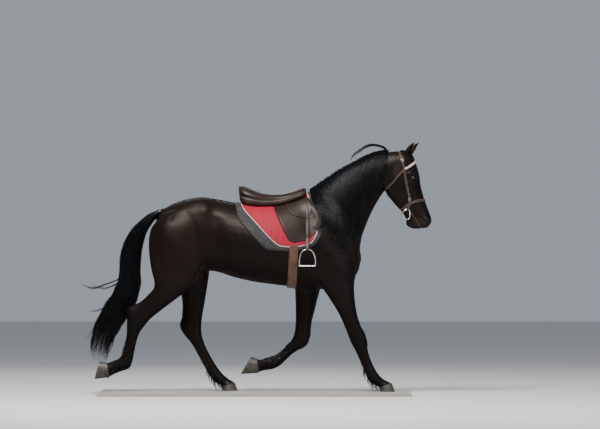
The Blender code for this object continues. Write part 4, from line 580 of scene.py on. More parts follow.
# %% Face details
EYE_RADIUS, LID_THICK = 0.0215, 0.0032
LID_LONG, LID_HIGH, LID_TURN = 0.0186, 0.0132, math.radians(32)
LID_FOLD_AT, LID_FOLD_DEPTH, LID_FOLD_WIDTH = 1.5, 0.0016, 0.16
LID_REACH, LID_BLEND, BEHIND_BALL = 0.045, 0.0035, 0.004
NOSTRIL_LONG, NOSTRIL_WIDE, NOSTRIL_TURN = 0.0215, 0.0112, math.radians(-24)
NOSTRIL_BEND, NOSTRIL_DEPTH, NOSTRIL_RIM, NOSTRIL_REACH = 9.0, 0.022, 0.0030, 5.5
MOUTH_DEPTH, MOUTH_WIDTH, LIP_RISE, LIP_AT, LIP_WIDTH = 0.0050, 0.0024, 0.0022, 0.0078, 0.0042


def bell(away, width):
    """A bell curve: 1 at no distance, and about a third at the width."""
    return np.exp(-(away / width) ** 2)


def turned(a, b, angle):
    """A pair of coordinates turned by an angle."""
    return a * math.cos(angle) - b * math.sin(angle), a * math.sin(angle) + b * math.cos(angle)


def smooth_step(value, low, high):
    """0 below low, 1 above high, and 3t^2 - 2t^3 between."""
    t = np.clip((value - low) / (high - low), 0, 1)
    return t * t * (3 - 2 * t)


def eye_middle(side):
    """The centre of the CAD eye on one side (-1 right, 1 left)."""
    low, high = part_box("eye_right" if side < 0 else "eye_left")
    return (np.array(low) + np.array(high)) / 2


def almond_distance(u, v):
    """1 on the lids' edge: the root of (u/long)^2 + |v/high|^1.54, flatter below than above."""
    high = np.where(v > 0, LID_HIGH, LID_HIGH * 0.8)
    return np.sqrt((u / LID_LONG) ** 2 + np.abs(v / high) ** 1.54)


def open_eyes(points):
    """Lays the skin over each eyeball as lids, and sinks it behind the ball inside the almond."""
    for side in (-1, 1):
        middle = eye_middle(side)
        at = points - middle
        u, v = turned(at[:, 0], at[:, 2], LID_TURN)
        out = at[:, 1] * side
        off_axis = u**2 + v**2
        near = (off_axis < LID_REACH**2) & (out > -0.01)
        r = almond_distance(u, v)
        shell = np.sqrt(np.maximum((EYE_RADIUS + LID_THICK) ** 2 - off_axis, 0))
        shell -= LID_FOLD_DEPTH * bell(r - LID_FOLD_AT, LID_FOLD_WIDTH) * (v > 0)
        lid = (out + shell + np.sqrt((out - shell) ** 2 + LID_BLEND**2)) / 2
        hidden = np.sqrt(np.maximum((EYE_RADIUS - BEHIND_BALL) ** 2 - off_axis, 0.006**2))
        open_share = 1 - smooth_step(r, 0.9, 1.06)
        new = lid * (1 - open_share) + hidden * open_share
        points[near, 1] = middle[1] + side * new[near]
    return points


def open_nostrils(points):
    """Sinks a comma-shaped hollow and raises its rim; the comma is an ellipse bent along itself."""
    for side in (-1, 1):
        here = np.hypot(*(squares(points)[:, [0, 2]] - NOSTRIL_AT).T)
        near = (here < NOSTRIL_REACH) & (points[:, 1] * side > 0.004)
        at = points - place((NOSTRIL_AT[0], 0, NOSTRIL_AT[1]))
        v, u = turned(at[:, 0], at[:, 2], NOSTRIL_TURN)
        v = v + NOSTRIL_BEND * u**2 - 0.0012
        r = np.sqrt((u / NOSTRIL_LONG) ** 2 + (v / NOSTRIL_WIDE) ** 2)
        sink = NOSTRIL_DEPTH * (1 - smooth_step(r, 0.1, 1.02))
        points[near, 1] += side * (NOSTRIL_RIM * bell(r - 1.22, 0.24) - sink)[near]
    return points


def distance_to_line(at, line):
    """Least distance in the side view from each point to a broken line, in metres."""
    best = np.full(len(at), 1e9)
    for a, b in zip(line[:-1], line[1:]):
        a, b = np.array(a), np.array(b)
        t = np.clip((at - a) @ (b - a) / ((b - a) @ (b - a)), 0, 1)
        best = np.minimum(best, np.linalg.norm(at - a - t[:, None] * (b - a), axis=1))
    return best * SQUARE


def crease_mouth(points, normals):
    """A furrow of a bell curve's shape along the mouth, with a low lip beyond it on each side."""
    away = distance_to_line(squares(points)[:, [0, 2]], MOUTH_LINE)
    rise = LIP_RISE * bell(away - LIP_AT, LIP_WIDTH) - MOUTH_DEPTH * bell(away, MOUTH_WIDTH)
    return points + normals * rise[:, None]


points, normals = vertex_arrays(skin.data)
set_points(skin, open_eyes(open_nostrils(crease_mouth(points, normals))))
print("eye middles:", [eye_middle(side).round(4).tolist() for side in (-1, 1)])

# %% [markdown]
# ## Room for the coat
#
# The CAD flesh is the outside of the coat. The skin therefore lies a coat's depth inside it, 2 mm
# on the body and 1 mm on the face, and the tufts of hair fill that depth. A skin at full size with
# hair on top of it would make the animal too large all round.

# %% Sink the skin by the coat's depth
COAT_DEPTH, FACE_COAT_DEPTH = 0.002, 0.001
points, normals = vertex_arrays(skin.data)
at = squares(points)
face_share = smooth_step(at[:, 0] - at[:, 2] * 0.2, 92, 104) * smooth_step(at[:, 2], 160, 166)
depth = COAT_DEPTH + (FACE_COAT_DEPTH - COAT_DEPTH) * face_share
set_points(skin, points - normals * depth[:, None])
mend_flips(skin)
skin_tree = BVHTree.FromObject(skin, bpy.context.evaluated_depsgraph_get())
print("skin box:", [list(np.round(end, 3)) for end in (points.min(0), points.max(0))])

# %% [markdown]
# ## A chart of the body
#
# Hair needs to know which way it lies, and a texture needs flat coordinates. Both come from the
# ribs: every point of the skin has a nearest rib, a share along that limb and an angle round it. A
# painted map would do the same, but the chart follows by itself when a rib is moved.

# %% Limb chart, lie of the coat and markings
LIE_SIGNS = (-1, -1, 1, 1, 1, 1, 1)
CHART_PATCH, FALL_OF_COAT, ROWS_AT_A_TIME = 0.003, np.array((0, 0, -0.35)), 40


def limb_rows():
    """All smoothed rib middles: place, direction of the hair, rib's front direction, limb, share, size."""
    found = []
    for number, table in enumerate(LOFTS):
        rows = smooth_rows(rib_rows(table), 4)
        middle = np.stack([(rows[:, 0] + rows[:, 2]) / 2, rows[:, 5], (rows[:, 1] + rows[:, 3]) / 2], 1)
        front = np.stack([rows[:, 0] - rows[:, 2], rows[:, 5] * 0, rows[:, 1] - rows[:, 3]], 1)
        half = np.linalg.norm(front, axis=1) / 2
        found.append((middle, unit(np.gradient(middle, axis=0) * LIE_SIGNS[number]), unit(front),
                      np.full(len(rows), number), np.linspace(0, 1, len(rows)), (half + rows[:, 4]) / 2))
    return [np.concatenate(column) for column in zip(*found)]


MIDDLES, WAYS, FRONTS, LIMBS, SHARES, HALVES = limb_rows()


def nearest_row(points):
    """The row of the chart for each point: least distance measured in that rib's half sizes."""
    at = squares(points)
    best, found = np.full(len(at), np.inf), np.zeros(len(at), int)
    for start in range(0, len(MIDDLES), ROWS_AT_A_TIME):
        part = slice(start, start + ROWS_AT_A_TIME)
        away = np.linalg.norm(at[:, None] - MIDDLES[None, part], axis=2) / HALVES[None, part]
        least, which = away.min(1), away.argmin(1) + start
        found = np.where(least < best, which, found)
        best = np.minimum(best, least)
    return found


def lie_of_coat(points, normals):
    """Unit vectors along the skin: the limb's direction with some fall, made square to the normal."""
    way = WAYS[nearest_row(points)] + FALL_OF_COAT
    return unit(way - normals * (way * normals).sum(1, keepdims=True))


def chart(points):
    """Flat coordinates on the ribs' unwrap: u = (limb + share)/7 and v = angle round the limb."""
    row = nearest_row(points)
    at = squares(points) - MIDDLES[row]
    angle = np.arctan2(at[:, 1], (at * FRONTS[row]).sum(1))
    return np.stack([(LIMBS[row] + 0.04 + 0.9 * SHARES[row]) / len(LOFTS),
                     0.02 + 0.94 * (angle / (2 * math.pi) + 0.5)], 1)


def markings_and_nostril_shade(points):
    """Red: legs' black share, and painted shade inside the nostrils. Green: bare dark skin. Blue: rosy edge
    of the lips.
    """
    at = squares(points)
    x, z = at[:, 0], at[:, 2]
    head = x > HEAD_FROM[0]
    black = 1 - smooth_step(z, 62, 118)
    muzzle = smooth_step(x * 0.25 - z, -134.5, -126.5) * head
    eye = bell(np.hypot(x - EYE_AT[0], z - EYE_AT[1]), 2.9) * head
    lips = bell(distance_to_line(at[:, [0, 2]], MOUTH_LINE) - 0.0026, 0.0022) * head
    # The hollow is the inside of each nostril: painted shade, made black and kept free of bare skin.
    hollow = 1 - smooth_step(np.hypot((x - NOSTRIL_AT[0]) * 1.3, z - NOSTRIL_AT[1]), 0.6, 2.0)
    bare = np.clip(muzzle + eye, 0, 1) * (1 - hollow)
    return np.stack([np.maximum(black, hollow), bare, lips, np.ones(len(at))], 1)


def paint(obj, colours, name="marks"):
    """Stores an array of colours as a vertex attribute for the materials to read."""
    layer = obj.data.color_attributes.new(name, "FLOAT_COLOR", "POINT")
    layer.data.foreach_set("color", colours.astype(np.float32).ravel())


paint(skin, markings_and_nostril_shade(vertex_arrays(skin.data)[0]))
print("chart rows:", len(MIDDLES))

# %% [markdown]
# ## Hair as solid strands
#
# Hair grows in locks: strands that share a path, a wave and a pointed end. One lock's path is laid
# first, and its strands are spread about it, so the hair clumps and parts as combed hair does.
# Particle hair looks finer, but it is no solid surface and can't leave Blender as a mesh.

# %% Strand builder
STRAND_PROFILE = ((0, 0.15, 0.6, 0.88, 1.0), (0.7, 1.0, 0.85, 0.5, 0.06))
LOCK_PROFILE = ((0, 0.12, 0.5, 0.8, 1.0), (0.85, 1.0, 0.95, 0.62, 0.16))
FEWER = 1.0


def along_rows(values, t):
    """Linear values (lock, step, ...) at shares t (lock, strand, step) of each lock's length."""
    last = values.shape[1] - 1
    at = np.clip(t, 0, 1) * last
    low = np.minimum(at.astype(int), last - 1)
    share = (at - low)[..., None]
    lock_number = np.arange(len(values))[:, None, None]
    return values[lock_number, low] * (1 - share) + values[lock_number, low + 1] * share


def lock_strands(name, paths, outs, widths, depths, count, thick, steps=9, wave=(0.003, 5.0),
                 loose=0.0012, shortest=0.72, roots_uv=None):
    """Tapered three-sided strands about each lock's path.

    Strand = path + side * a * width + out * b * depth + a sine wave that the lock shares, where
    (a, b) is a place in the lock's section. Each ring is three corners round that line.
    """
    paths, outs = np.asarray(paths, float), np.asarray(outs, float)
    locks, count = len(paths), max(1, round(count * FEWER))
    total = locks * count
    each = (locks, count, 1)
    first = draw.uniform(0, 0.10, each)
    last = 1 - (1 - shortest) * draw.random(each) ** 1.6
    own = np.linspace(0, 1, steps)
    t = first + (last - first) * own
    centre, out = along_rows(paths, t), along_rows(outs, t)
    ahead = unit(np.gradient(centre, axis=2))
    side = unit(np.cross(ahead, out))
    out = unit(np.cross(side, ahead))
    spread = np.interp(t, *LOCK_PROFILE)
    radius = np.sqrt(draw.random(each))
    turn = draw.uniform(0, 2 * math.pi, each)
    a, b = radius * np.cos(turn), radius * np.sin(turn)
    width, depth = (np.asarray(size, float).reshape(-1, 1, 1) for size in (widths, depths))
    swing = wave[0] * np.minimum(1, t * 2.2)
    phase = draw.uniform(0, 2 * math.pi, (locks, 1, 1)) + 0.5 * a
    pace = wave[1] * (1 + 0.12 * draw.standard_normal((locks, 1, 1)))
    phase = phase + 2 * math.pi * pace * t
    stray = loose * draw.standard_normal(each) * np.sin(2 * math.pi * (1.3 * t + draw.random(each)))
    stray *= np.minimum(1, t * 1.5)
    line = (centre + side * (a * width * spread + swing * np.sin(phase) + stray)[..., None]
            + out * (b * depth * spread + 0.5 * swing * np.cos(phase + 0.8) + 0.5 * stray)[..., None])
    ahead = unit(np.gradient(line, axis=2))
    side = unit(np.cross(ahead, out))
    out = np.cross(side, ahead)
    size = thick * draw.uniform(0.75, 1.25, each) * np.interp(own, *STRAND_PROFILE)
    spin = draw.uniform(0, 2 * math.pi, each)
    corners = [line + side * (size * np.cos(spin + angle))[..., None]
               + out * (size * np.sin(spin + angle))[..., None] for angle in circle(3)]
    flat = np.stack(corners, axis=3).reshape(-1, 3)
    number = np.arange(total * steps * 3).reshape(total, steps, 3)
    wrapped = np.concatenate([number, number[:, :, :1]], axis=2)
    faces = np.stack([wrapped[:, :-1, :-1], wrapped[:, 1:, :-1], wrapped[:, 1:, 1:], wrapped[:, :-1, 1:]], -1)
    faces = faces.reshape(-1, 4)
    triangles = np.concatenate([faces[:, [0, 1, 2]], faces[:, [0, 2, 3]], number[:, 0, ::-1], number[:, -1]])
    a, b, c = (flat[triangles[:, i]] for i in range(3))
    if np.einsum("ij,ij->i", a, np.cross(b, c)).sum() < 0:
        triangles = triangles[:, ::-1]
    if roots_uv is None:
        roots = chart(line[:, :, 0].reshape(-1, 3))
    else:
        roots = np.repeat(roots_uv, count, axis=0) + draw.uniform(-0.004, 0.004, (total, 2))
    uv = np.empty((total, steps, 3, 2))
    uv[..., 0] = roots[:, None, None, 0] + CHART_PATCH * np.array((0, 0.5, 1.0))
    uv[..., 1] = roots[:, None, None, 1] + CHART_PATCH * own[:, None]
    made = mesh_piece(name, flat, triangles, uv)
    tone = 0.6 * np.repeat(draw.random(locks), count) + 0.4 * draw.random(total)
    strand = np.ones((total, steps, 3, 4))
    for channel, values in enumerate((tone[:, None, None], own[:, None], draw.random((total, 1, 1)))):
        strand[..., channel] = values
    paint(made, strand.reshape(-1, 4), "strand")
    print(name, len(triangles), "triangles")
    return made


def nearest_skin(point):
    """The skin's nearest point and its normal there."""
    return (np.array(found) for found in skin_tree.find_nearest(Vector(point))[:2])


def cast_from(x, z, side):
    """Where a level line from one side, in squares, meets the skin: point and normal in metres."""
    hit, normal, *_ = skin_tree.ray_cast(Vector(place((x, side * 70, z))), Vector((0, -side, 0)))
    if hit is None or hit.y * side < 0.008:
        hit, normal = nearest_skin(place((x, side * 9, z)))
    return np.array(hit), np.array(normal)


def clear_of_skin(paths, gap, first=1):
    """Moves each step from a first one on out along the skin's normal until it clears a gap."""
    for path in paths:
        for k in range(first, len(path)):
            hit, out = nearest_skin(path[k])
            path[k] += out * max(0.0, gap - (path[k] - hit) @ out)
    return paths


# %% [markdown]
# ## The mane
#
# A Friesian's mane hangs to one side, here the right. Each lock leaves the crest, goes over it and
# falls down the neck with a crimped wave. Three layers with shorter locks outside give the depth.
# A single sheet with hair painted on it would look flat at the neck's edge.

# %% Mane
MANE_TOP = [(132, 240.4), (126, 239.6), (119, 238), (109, 234), (99, 228), (89, 222), (79, 216.5),
            (70, 210.5), (61, 204.5), (56, 201)]
MANE_FOOT = [(128, 205), (123, 194), (116.5, 182), (109, 165), (105.5, 149), (104, 131), (94, 127), (82, 138),
             (71, 151), (63, 166)]
MANE_LAYERS = ((64, 0.35, 1.0, 26), (56, 1.1, 0.92, 34), (46, 1.9, 0.72, 34))
MANE_STEPS = 17
NECK_ROOT = ((52, 211), (114, 130))
MANE_RISE_OVER_SHOULDER = 0.9


def beyond_neck(x, z):
    """Squares that a point of the side view lies behind the line where neck meets shoulder."""
    (ax, az), (bx, bz) = NECK_ROOT
    return ((bx - ax) * (az - z) - (bz - az) * (ax - x)) / math.hypot(bx - ax, bz - az)


def mane_path(share, lift, reach, wave):
    """One lock: root beside the crest, over it, then down the neck a little above the skin."""
    spots = np.arange(len(MANE_TOP))
    at = share * (len(MANE_TOP) - 1)
    top, foot = (np.array([np.interp(at, spots, [p[i] for p in line]) for i in (0, 1)])
                 for line in (MANE_TOP, MANE_FOOT))
    across = np.array((-(foot - top)[1], (foot - top)[0])) / np.linalg.norm(foot - top)
    back, edge = draw.uniform(0.8, 2.8), 4.0 * (1 - share) ** 8 * draw.uniform(-1.2, 0.6)
    over = [(back, -2.2), (0.75 * back, -0.3 + 0.4 * lift), (0.25 * back, 0.7 + 0.4 * lift),
            (-0.8, 0.6 + 0.4 * lift), (-2.0, -0.1 + 0.4 * lift)]
    points = [place((top[0] - 0.1 * k, y, top[1] + z)) for k, (y, z) in enumerate(over)]
    normals = [(0, 0.9, 0.5), (0, 0.6, 0.9), (0, 0.1, 1), (0, -0.5, 0.9), (0, -0.8, 0.7)]
    for t in np.linspace(0.1, 1.0, MANE_STEPS - len(over)):
        sway = 1.3 * t * math.sin(2 * math.pi * (0.9 * t + wave)) + edge * t
        x, z = top + (foot - top) * t * reach + across * sway
        hit, normal = cast_from(x, z, -1)
        over_shoulder = MANE_RISE_OVER_SHOULDER * np.clip(0.5 + beyond_neck(x, z) / 8, 0, 1)
        points.append(hit + normal * (lift * min(1.0, 0.4 + t) + over_shoulder) * SQUARE)
        normals.append(normal)
    return np.array(points), np.array(normals, float)


def smoothed(paths, times=2):
    """Averages each inner step of every path with its neighbours."""
    for _ in range(times):
        paths = np.concatenate([paths[:, :1], (paths[:, :-2] + 2 * paths[:, 1:-1] + paths[:, 2:]) / 4,
                                paths[:, -1:]], axis=1)
    return paths


mane_pieces = []
for layer, (count, lift, reach, per_lock) in enumerate(MANE_LAYERS):
    paths, outs = zip(*(mane_path((i + draw.uniform(0.1, 0.9)) / count, lift,
                                  reach * draw.uniform(0.84, 1.03), draw.random()) for i in range(count)))
    paths = clear_of_skin(smoothed(np.array(paths)), 0.0025 + 0.003 * layer)
    widths = draw.uniform(0.014, 0.024, count)
    mane_pieces.append(lock_strands(f"hair_mane_{layer + 1}", paths, outs, widths, 0.004, per_lock, 0.00060,
                                    13, wave=(0.0062, 6.5), loose=0.0026, shortest=0.6))

# %% [markdown]
# ## The flying lock and the forelock
#
# One thin lock lifts off the crest behind the ears as the horse moves, and a short forelock lies
# between the ears and the browband. Both are the same strands as the mane on paths of their own.

# %% Flying lock and forelock
FLYING_LOCK = [(133, 0, 238), (130.5, -0.5, 242), (126, -1.0, 244.6), (119, -2, 246.2), (112, -3, 244.8),
               (106, -3.5, 241.6), (101, -4, 237.6), (97, -4.5, 233.4), (95, -4.8, 230)]
FORELOCK_ENDS = [(-3.6, 158.2, 231.6), (-2.2, 160.6, 229.6), (-0.6, 162.4, 228.6), (1.0, 162.0, 229.0),
                 (2.6, 160.6, 230.2), (3.6, 158.6, 231.8)]
flying = smooth_rows(FLYING_LOCK, 2)[None]
flying_out = np.tile((0.0, -0.9, 0.4), (1, flying.shape[1], 1))
flying_mane = lock_strands("hair_mane_flying", place(flying), flying_out, 0.010, 0.004, 150, 0.0005, 14,
                           wave=(0.003, 3.0), loose=0.005, shortest=0.55)
paths, outs = [], []
for y, x, z in FORELOCK_ENDS:
    rows = smooth_rows([(144, y * 0.3, 237), (147.2, y * 0.45, 241.4), (153, y * 0.7, 240.2), (x, y, z)], 4)
    points, normals = place(rows), []
    for k in range(len(points)):
        hit, normal = nearest_skin(points[k])
        if k > 3:
            points[k] = hit + normal * 0.0045
        normals.append(normal)
    paths.append(points)
    outs.append(normals)
forelock = lock_strands("hair_forelock", paths, outs, 0.010, 0.0035, 60, 0.0005, 9,
                        wave=(0.0012, 2.0), loose=0.002, shortest=0.6)

# %% [markdown]
# ## The tail
#
# The tail hangs from the dock, arches away from the buttocks and breaks into wavy separate locks
# below the hocks. Locks start at different heights of the dock and keep an angle round it. A
# simulated tail would fall straight down, but the photographed moment has it swinging.

# %% Tail
TAIL_PATH = [(-90, 181), (-98, 177.5), (-109, 169), (-119, 153), (-124, 136), (-125, 116), (-128, 99),
             (-137, 83), (-147, 66), (-154, 48), (-157, 31), (-158, 24)]
TAIL_HALVES = [2.4, 4, 8, 11.6, 12.2, 12, 12.5, 13, 12.4, 11, 9, 7]
TAIL_DEPTHS = [2.4, 4, 5, 6, 6.5, 6.5, 6.5, 6.5, 6.2, 5.6, 5, 4]
TAIL_LAYERS = ((34, 0.0, 0.05, 0.95, 0.62, 40, 12), (44, 0.04, 0.22, 1.0, 0.86, 39, 15),
               (36, 0.30, 0.5, 1.0, 0.96, 40, 15))
TAIL_ROWS, DOCK_ROWS, DOCK_ENDS_AT = 18, 14, 0.42
WISPS = [[(-126, 122), (-134, 113.6), (-145, 108), (-156, 104.2), (-165, 103.2), (-172, 105.4),
          (-176.6, 107.6)],
         [(-126, 118), (-133, 110), (-143, 105), (-152, 102.6), (-160, 103.4), (-166, 104.6), (-170, 104)],
         [(-130, 96), (-138, 88), (-146, 83.5), (-153, 82), (-158, 80), (-163, 80.6), (-167, 79)],
         [(-133, 90), (-141, 81), (-150, 74), (-157, 68), (-161, 61), (-166, 56), (-170, 49)]]


def running_length(points):
    """Length from the first point to each point of a path."""
    return np.concatenate([[0], np.cumsum(np.linalg.norm(np.diff(points, axis=0), axis=1))])


def read_at(at, length, rows):
    """The rows' values at places along a length, straight between neighbours."""
    return np.stack([np.interp(at, length, rows[:, i]) for i in range(rows.shape[1])], -1)


def tail_frames(steps):
    """Middle, direction across, half width and depth of the tail at shares of its length."""
    rows = smooth_rows(np.column_stack([TAIL_PATH, TAIL_HALVES, TAIL_DEPTHS]), 6)
    length = running_length(rows[:, :2])
    at = np.asarray(steps) * length[-1]
    x, z, half, depth = read_at(at, length, rows).T
    ax, az = read_at(at, length, np.gradient(rows[:, :2], axis=0)).T
    return np.stack([x, z], 1), np.stack([az, -ax], 1) / np.hypot(ax, az)[:, None], half, depth


def tail_path(start, end, angle, share, wave):
    """A lock that leaves the dock and runs down at its own angle, swaying a little round the tail."""
    middle, across, half, depth = tail_frames(np.linspace(start, end, TAIL_ROWS))
    t = np.linspace(0, 1, TAIL_ROWS)
    out = share * np.interp(t, (0, 0.14, 0.3, 1), (0.25, 0.72, 0.92, 1.0))
    turn = angle + 0.42 * t * np.sin(2 * math.pi * (1.1 * t + wave))
    x, z = (middle + across * (half * out * np.cos(turn))[:, None]).T
    outward = np.stack([across[:, 0] * np.cos(turn), np.sin(turn) * 1.6, across[:, 1] * np.cos(turn)], 1)
    return place(np.stack([x, depth * out * np.sin(turn), z], 1)), unit(outward)


tail_pieces = []
for layer, (count, low, high, end, share, per_lock, steps) in enumerate(TAIL_LAYERS):
    paths, outs = zip(*(tail_path(draw.uniform(low, high), end * draw.uniform(0.82, 1.0),
                                  2 * math.pi * (i + draw.random()) / count, share * draw.uniform(0.8, 1.04),
                                  draw.random()) for i in range(count)))
    roots = np.stack([0.03 + 0.9 * np.arange(count) / count, np.full(count, 0.1 + 0.2 * layer)], 1)
    widths = draw.uniform(0.016, 0.028, count)
    tail_pieces.append(lock_strands(f"hair_tail_{layer + 1}", paths, outs, widths, 0.010, per_lock, 0.00075,
                                    steps, wave=(0.0075, 5.0), loose=0.004, shortest=0.66, roots_uv=roots))
rows = np.stack([smooth_rows(wisp, 2) for wisp in WISPS])
wisp_paths = place(np.stack([rows[..., 0], 0.6 * np.sin(rows[..., 0] / 9), rows[..., 1]], -1))
wisp_roots = np.array([(0.1 + 0.1 * i, 0.8) for i in range(len(WISPS))])
wisp_outs = np.tile((0.1, 1.0, 0.1), (*wisp_paths.shape[:2], 1))
tail_wisps = lock_strands("hair_tail_wisps", wisp_paths, wisp_outs, (0.006, 0.004, 0.005, 0.008), 0.004, 40,
                          0.00042, 13, wave=(0.005, 2.2), loose=0.006, shortest=0.5, roots_uv=wisp_roots)
dock = tail_frames(np.linspace(0.0, DOCK_ENDS_AT, DOCK_ROWS))
dock_share = np.interp(np.linspace(0, 1, DOCK_ROWS), (0, 0.4, 1), (0.9, 0.55, 0.2))
dock_rows = [(*(m + a * h * s), *(m - a * h * s), d * s, 0, 0, 2.0)
             for m, a, h, d, s in zip(*dock, dock_share)]
tail_dock = closed_stack("tail_dock", ring_points(np.array(dock_rows), 20))

# %% [markdown]
# ## Feathers
#
# Long hair grows from the back of the cannons and round the fetlocks and hangs over the hoof's
# coronet. Each lock starts at a point of the leg's chart and bends from the leg's direction to
# straight down. The four legs share one function, as each leg has its own table of ribs.

# %% Feathers on the fetlocks
FEATHER_LEGS = ((FORE_RIGHT, 9.0, 15.0), (FORE_LEFT, 9.6, 15.6), (HIND_RIGHT, 12.4, 18.6),
                (HIND_LEFT, 11.0, 16.8))
FEATHER_LOCKS, FRINGE_LOCKS, FEATHER_HAIRS, FEATHER_STEPS, LOWEST_HAIR = 84, 26, 9, 7, 0.035
FEATHER_LONG, FEATHER_SHORT, FEATHER_GAP, LEG_SIDES = 0.088, 0.022, 0.003, 72


def feather_path(rows, at, angle):
    """A lock from (rib, angle round the leg): length grows with the cosine towards the leg's back."""
    this, after = rows[int(at)], rows[min(int(at) + 1, len(rows) - 1)]
    ring = ring_points((this * (1 - at % 1) + after * (at % 1))[None], LEG_SIDES)[0]
    hit, normal = nearest_skin(ring[int((angle / (2 * math.pi)) * LEG_SIDES) % LEG_SIDES])
    ahead = after - this
    down = unit(np.array((ahead[0] + ahead[2], 0, ahead[1] + ahead[3])))
    behind = 0.5 - 0.5 * math.cos(angle)
    length = FEATHER_SHORT + (FEATHER_LONG - FEATHER_SHORT) * behind**1.6
    length *= (0.45 + 0.55 * min(1, at / len(rows) * 1.6)) * draw.uniform(0.7, 1.1)
    t = np.linspace(0, 1, FEATHER_STEPS)[:, None]
    fall = unit(down + np.array((0, 0, -0.45)))
    points = hit - normal * 0.002 + fall * length * t + normal * (0.006 + 0.012 * behind) * np.sin(t * 2.2)
    for k in range(2, FEATHER_STEPS):
        near, out = nearest_skin(points[k])
        if (points[k] - near) @ out < FEATHER_GAP:
            points[k] = near + out * FEATHER_GAP
    points[:, 2] = np.maximum(points[:, 2], LOWEST_HAIR)
    return points, np.tile(normal, (FEATHER_STEPS, 1))


locks = []
for table, first, last in FEATHER_LEGS:
    rows = rib_rows(table)
    for _ in range(FEATHER_LOCKS):
        at = first + (last - first) * draw.random() ** 0.7
        low = (at - first) / (last - first)
        spread = math.pi * (0.42 + 0.5 * smooth_step(low, 0.55, 0.95))
        locks.append(feather_path(rows, min(at, len(rows) - 1.001), math.pi + draw.uniform(-spread, spread)))
    for i in range(FRINGE_LOCKS):
        turn = 2 * math.pi * (i + draw.random()) / FRINGE_LOCKS
        locks.append(feather_path(rows, len(rows) - draw.uniform(1.35, 1.9), turn))
feathers = lock_strands("hair_feathers", *zip(*locks), 0.0095, 0.0030, FEATHER_HAIRS, 0.00040, FEATHER_STEPS,
                        wave=(0.0018, 1.2), loose=0.0022, shortest=0.55)

# %% [markdown]
# ## The short coat
#
# A groomed summer coat lies flat and shines. Its finest grain is bump in the material, and short
# pointed tufts follow the lie of the coat and break every edge. Each tuft is a slim closed
# pyramid, since four faces are the fewest that close, and so many more tufts can be laid.

# %% Short tufts over the body
TUFTS, TUFT_PIECES, BARE_FROM = 38000, 2, 0.35
TUFT_LONG, TUFT_WIDE, TUFT_RISE, TUFT_ROUND = (0.019, 0.0075), (0.0007, 0.00035), (0.0014, 0.0005), 0.28
TUFT_ROOT, TUFT_TURN = 0.0007, 0.16


def skin_samples(count):
    """Random places on the skin, by triangle area: corner + edge * u + other edge * v, u + v < 1."""
    corners = triangle_corners(skin.data)
    points, normals = vertex_arrays(skin.data)
    a, b, c = (points[corners[:, i]] for i in range(3))
    area = np.linalg.norm(np.cross(b - a, c - a), axis=1)
    which = draw.choice(len(area), count, p=area / area.sum())
    u, v = draw.random((2, count, 1))
    flip = u + v > 1
    u, v = np.where(flip, 1 - u, u), np.where(flip, 1 - v, v)
    return a[which] + (b - a)[which] * u + (c - a)[which] * v, unit(normals[corners[which]].sum(1))


def coat_tufts(name, count):
    """Pyramids: three corners about a root under the skin, and a tip a length on along the coat's lie."""
    roots, normals = skin_samples(int(count * 1.15))
    bare = markings_and_nostril_shade(roots)[:, 1] > BARE_FROM
    roots, normals = roots[~bare][:count], normals[~bare][:count]
    way = lie_of_coat(roots, normals)
    side = np.cross(way, normals)
    way = unit(way + side * draw.normal(0, TUFT_TURN, (len(roots), 1)))
    at = squares(roots)
    face = ((at[:, 0] > 130) & (at[:, 2] > HEAD_FROM[1])).astype(int)
    long, wide, rise = (np.array(sizes)[face][:, None] * draw.uniform(0.65, 1.25, (len(roots), 1))
                        for sizes in (TUFT_LONG, TUFT_WIDE, TUFT_RISE))
    base = roots - normals * TUFT_ROOT
    points = np.stack([base - side * wide, base + side * wide, base + normals * (TUFT_ROOT + 0.5 * rise),
                       roots + way * long + normals * rise], 1)
    number = np.arange(4 * len(roots)).reshape(-1, 4)
    faces = np.concatenate([number[:, corner] for corner in ((0, 1, 2), (0, 3, 1), (1, 3, 2), (2, 3, 0))])
    first = points[0]
    if np.cross(first[1] - first[0], first[2] - first[0]) @ (first[3] - first[0]) > 0:
        faces = faces[:, ::-1]
    uv = chart(roots)[:, None] + CHART_PATCH * np.array(((0, 0), (1, 0), (0.5, 0.3), (0.5, 1.0)))
    made = mesh_piece(name, points, faces, uv)
    paint(made, np.repeat(markings_and_nostril_shade(roots), 4, axis=0))
    shading = unit(normals[:, None] + TUFT_ROUND * np.stack([-side, side, 0 * side, 0 * side], 1))
    made.data.normals_split_custom_set_from_vertices(shading.reshape(-1, 3).tolist())
    print(name, len(faces), "triangles")
    return made


tuft_pieces = [coat_tufts(f"hair_coat_{i + 1}", TUFTS) for i in range(TUFT_PIECES)]

# %% [markdown]
# ## Ears
#
# An ear is a leaf rolled into a cup: wide above its base, narrow at the tip, open to the front. It
# is a stack of open arcs, each an outer and an inner wall. A cone with a dent would be quicker, but
# its rim would be too thick to let the light round it.

# %% Ears
EARS = {
    "ear_right": ((151.5, -5.6, 235.2), (158.8, -8.2, 248.6), (0.86, -0.5, 0.05)),
    "ear_left": ((153.5, 5.6, 235.2), (164.0, 8.4, 248.9), (0.86, 0.5, 0.05)),
}
EAR_HALF_WIDTHS = [(0.0, 2.7), (0.18, 3.1), (0.38, 3.25), (0.58, 2.75), (0.78, 1.75), (0.92, 0.85),
                   (1.0, 0.2)]
EAR_WALL, EAR_STEPS, EAR_SIDES = 0.38, 48, 26
EAR_HAIR_LOCKS, EAR_HAIR_STEPS = 90, 5


def ear_frame(base, tip, opening):
    base, axis = np.array(base, float), np.array(tip, float) - np.array(base, float)
    length = np.linalg.norm(axis)
    axis = axis / length
    front = np.array(opening, float)
    front = unit(front - axis * (front @ axis))
    return base, axis, length, front, np.cross(axis, front)


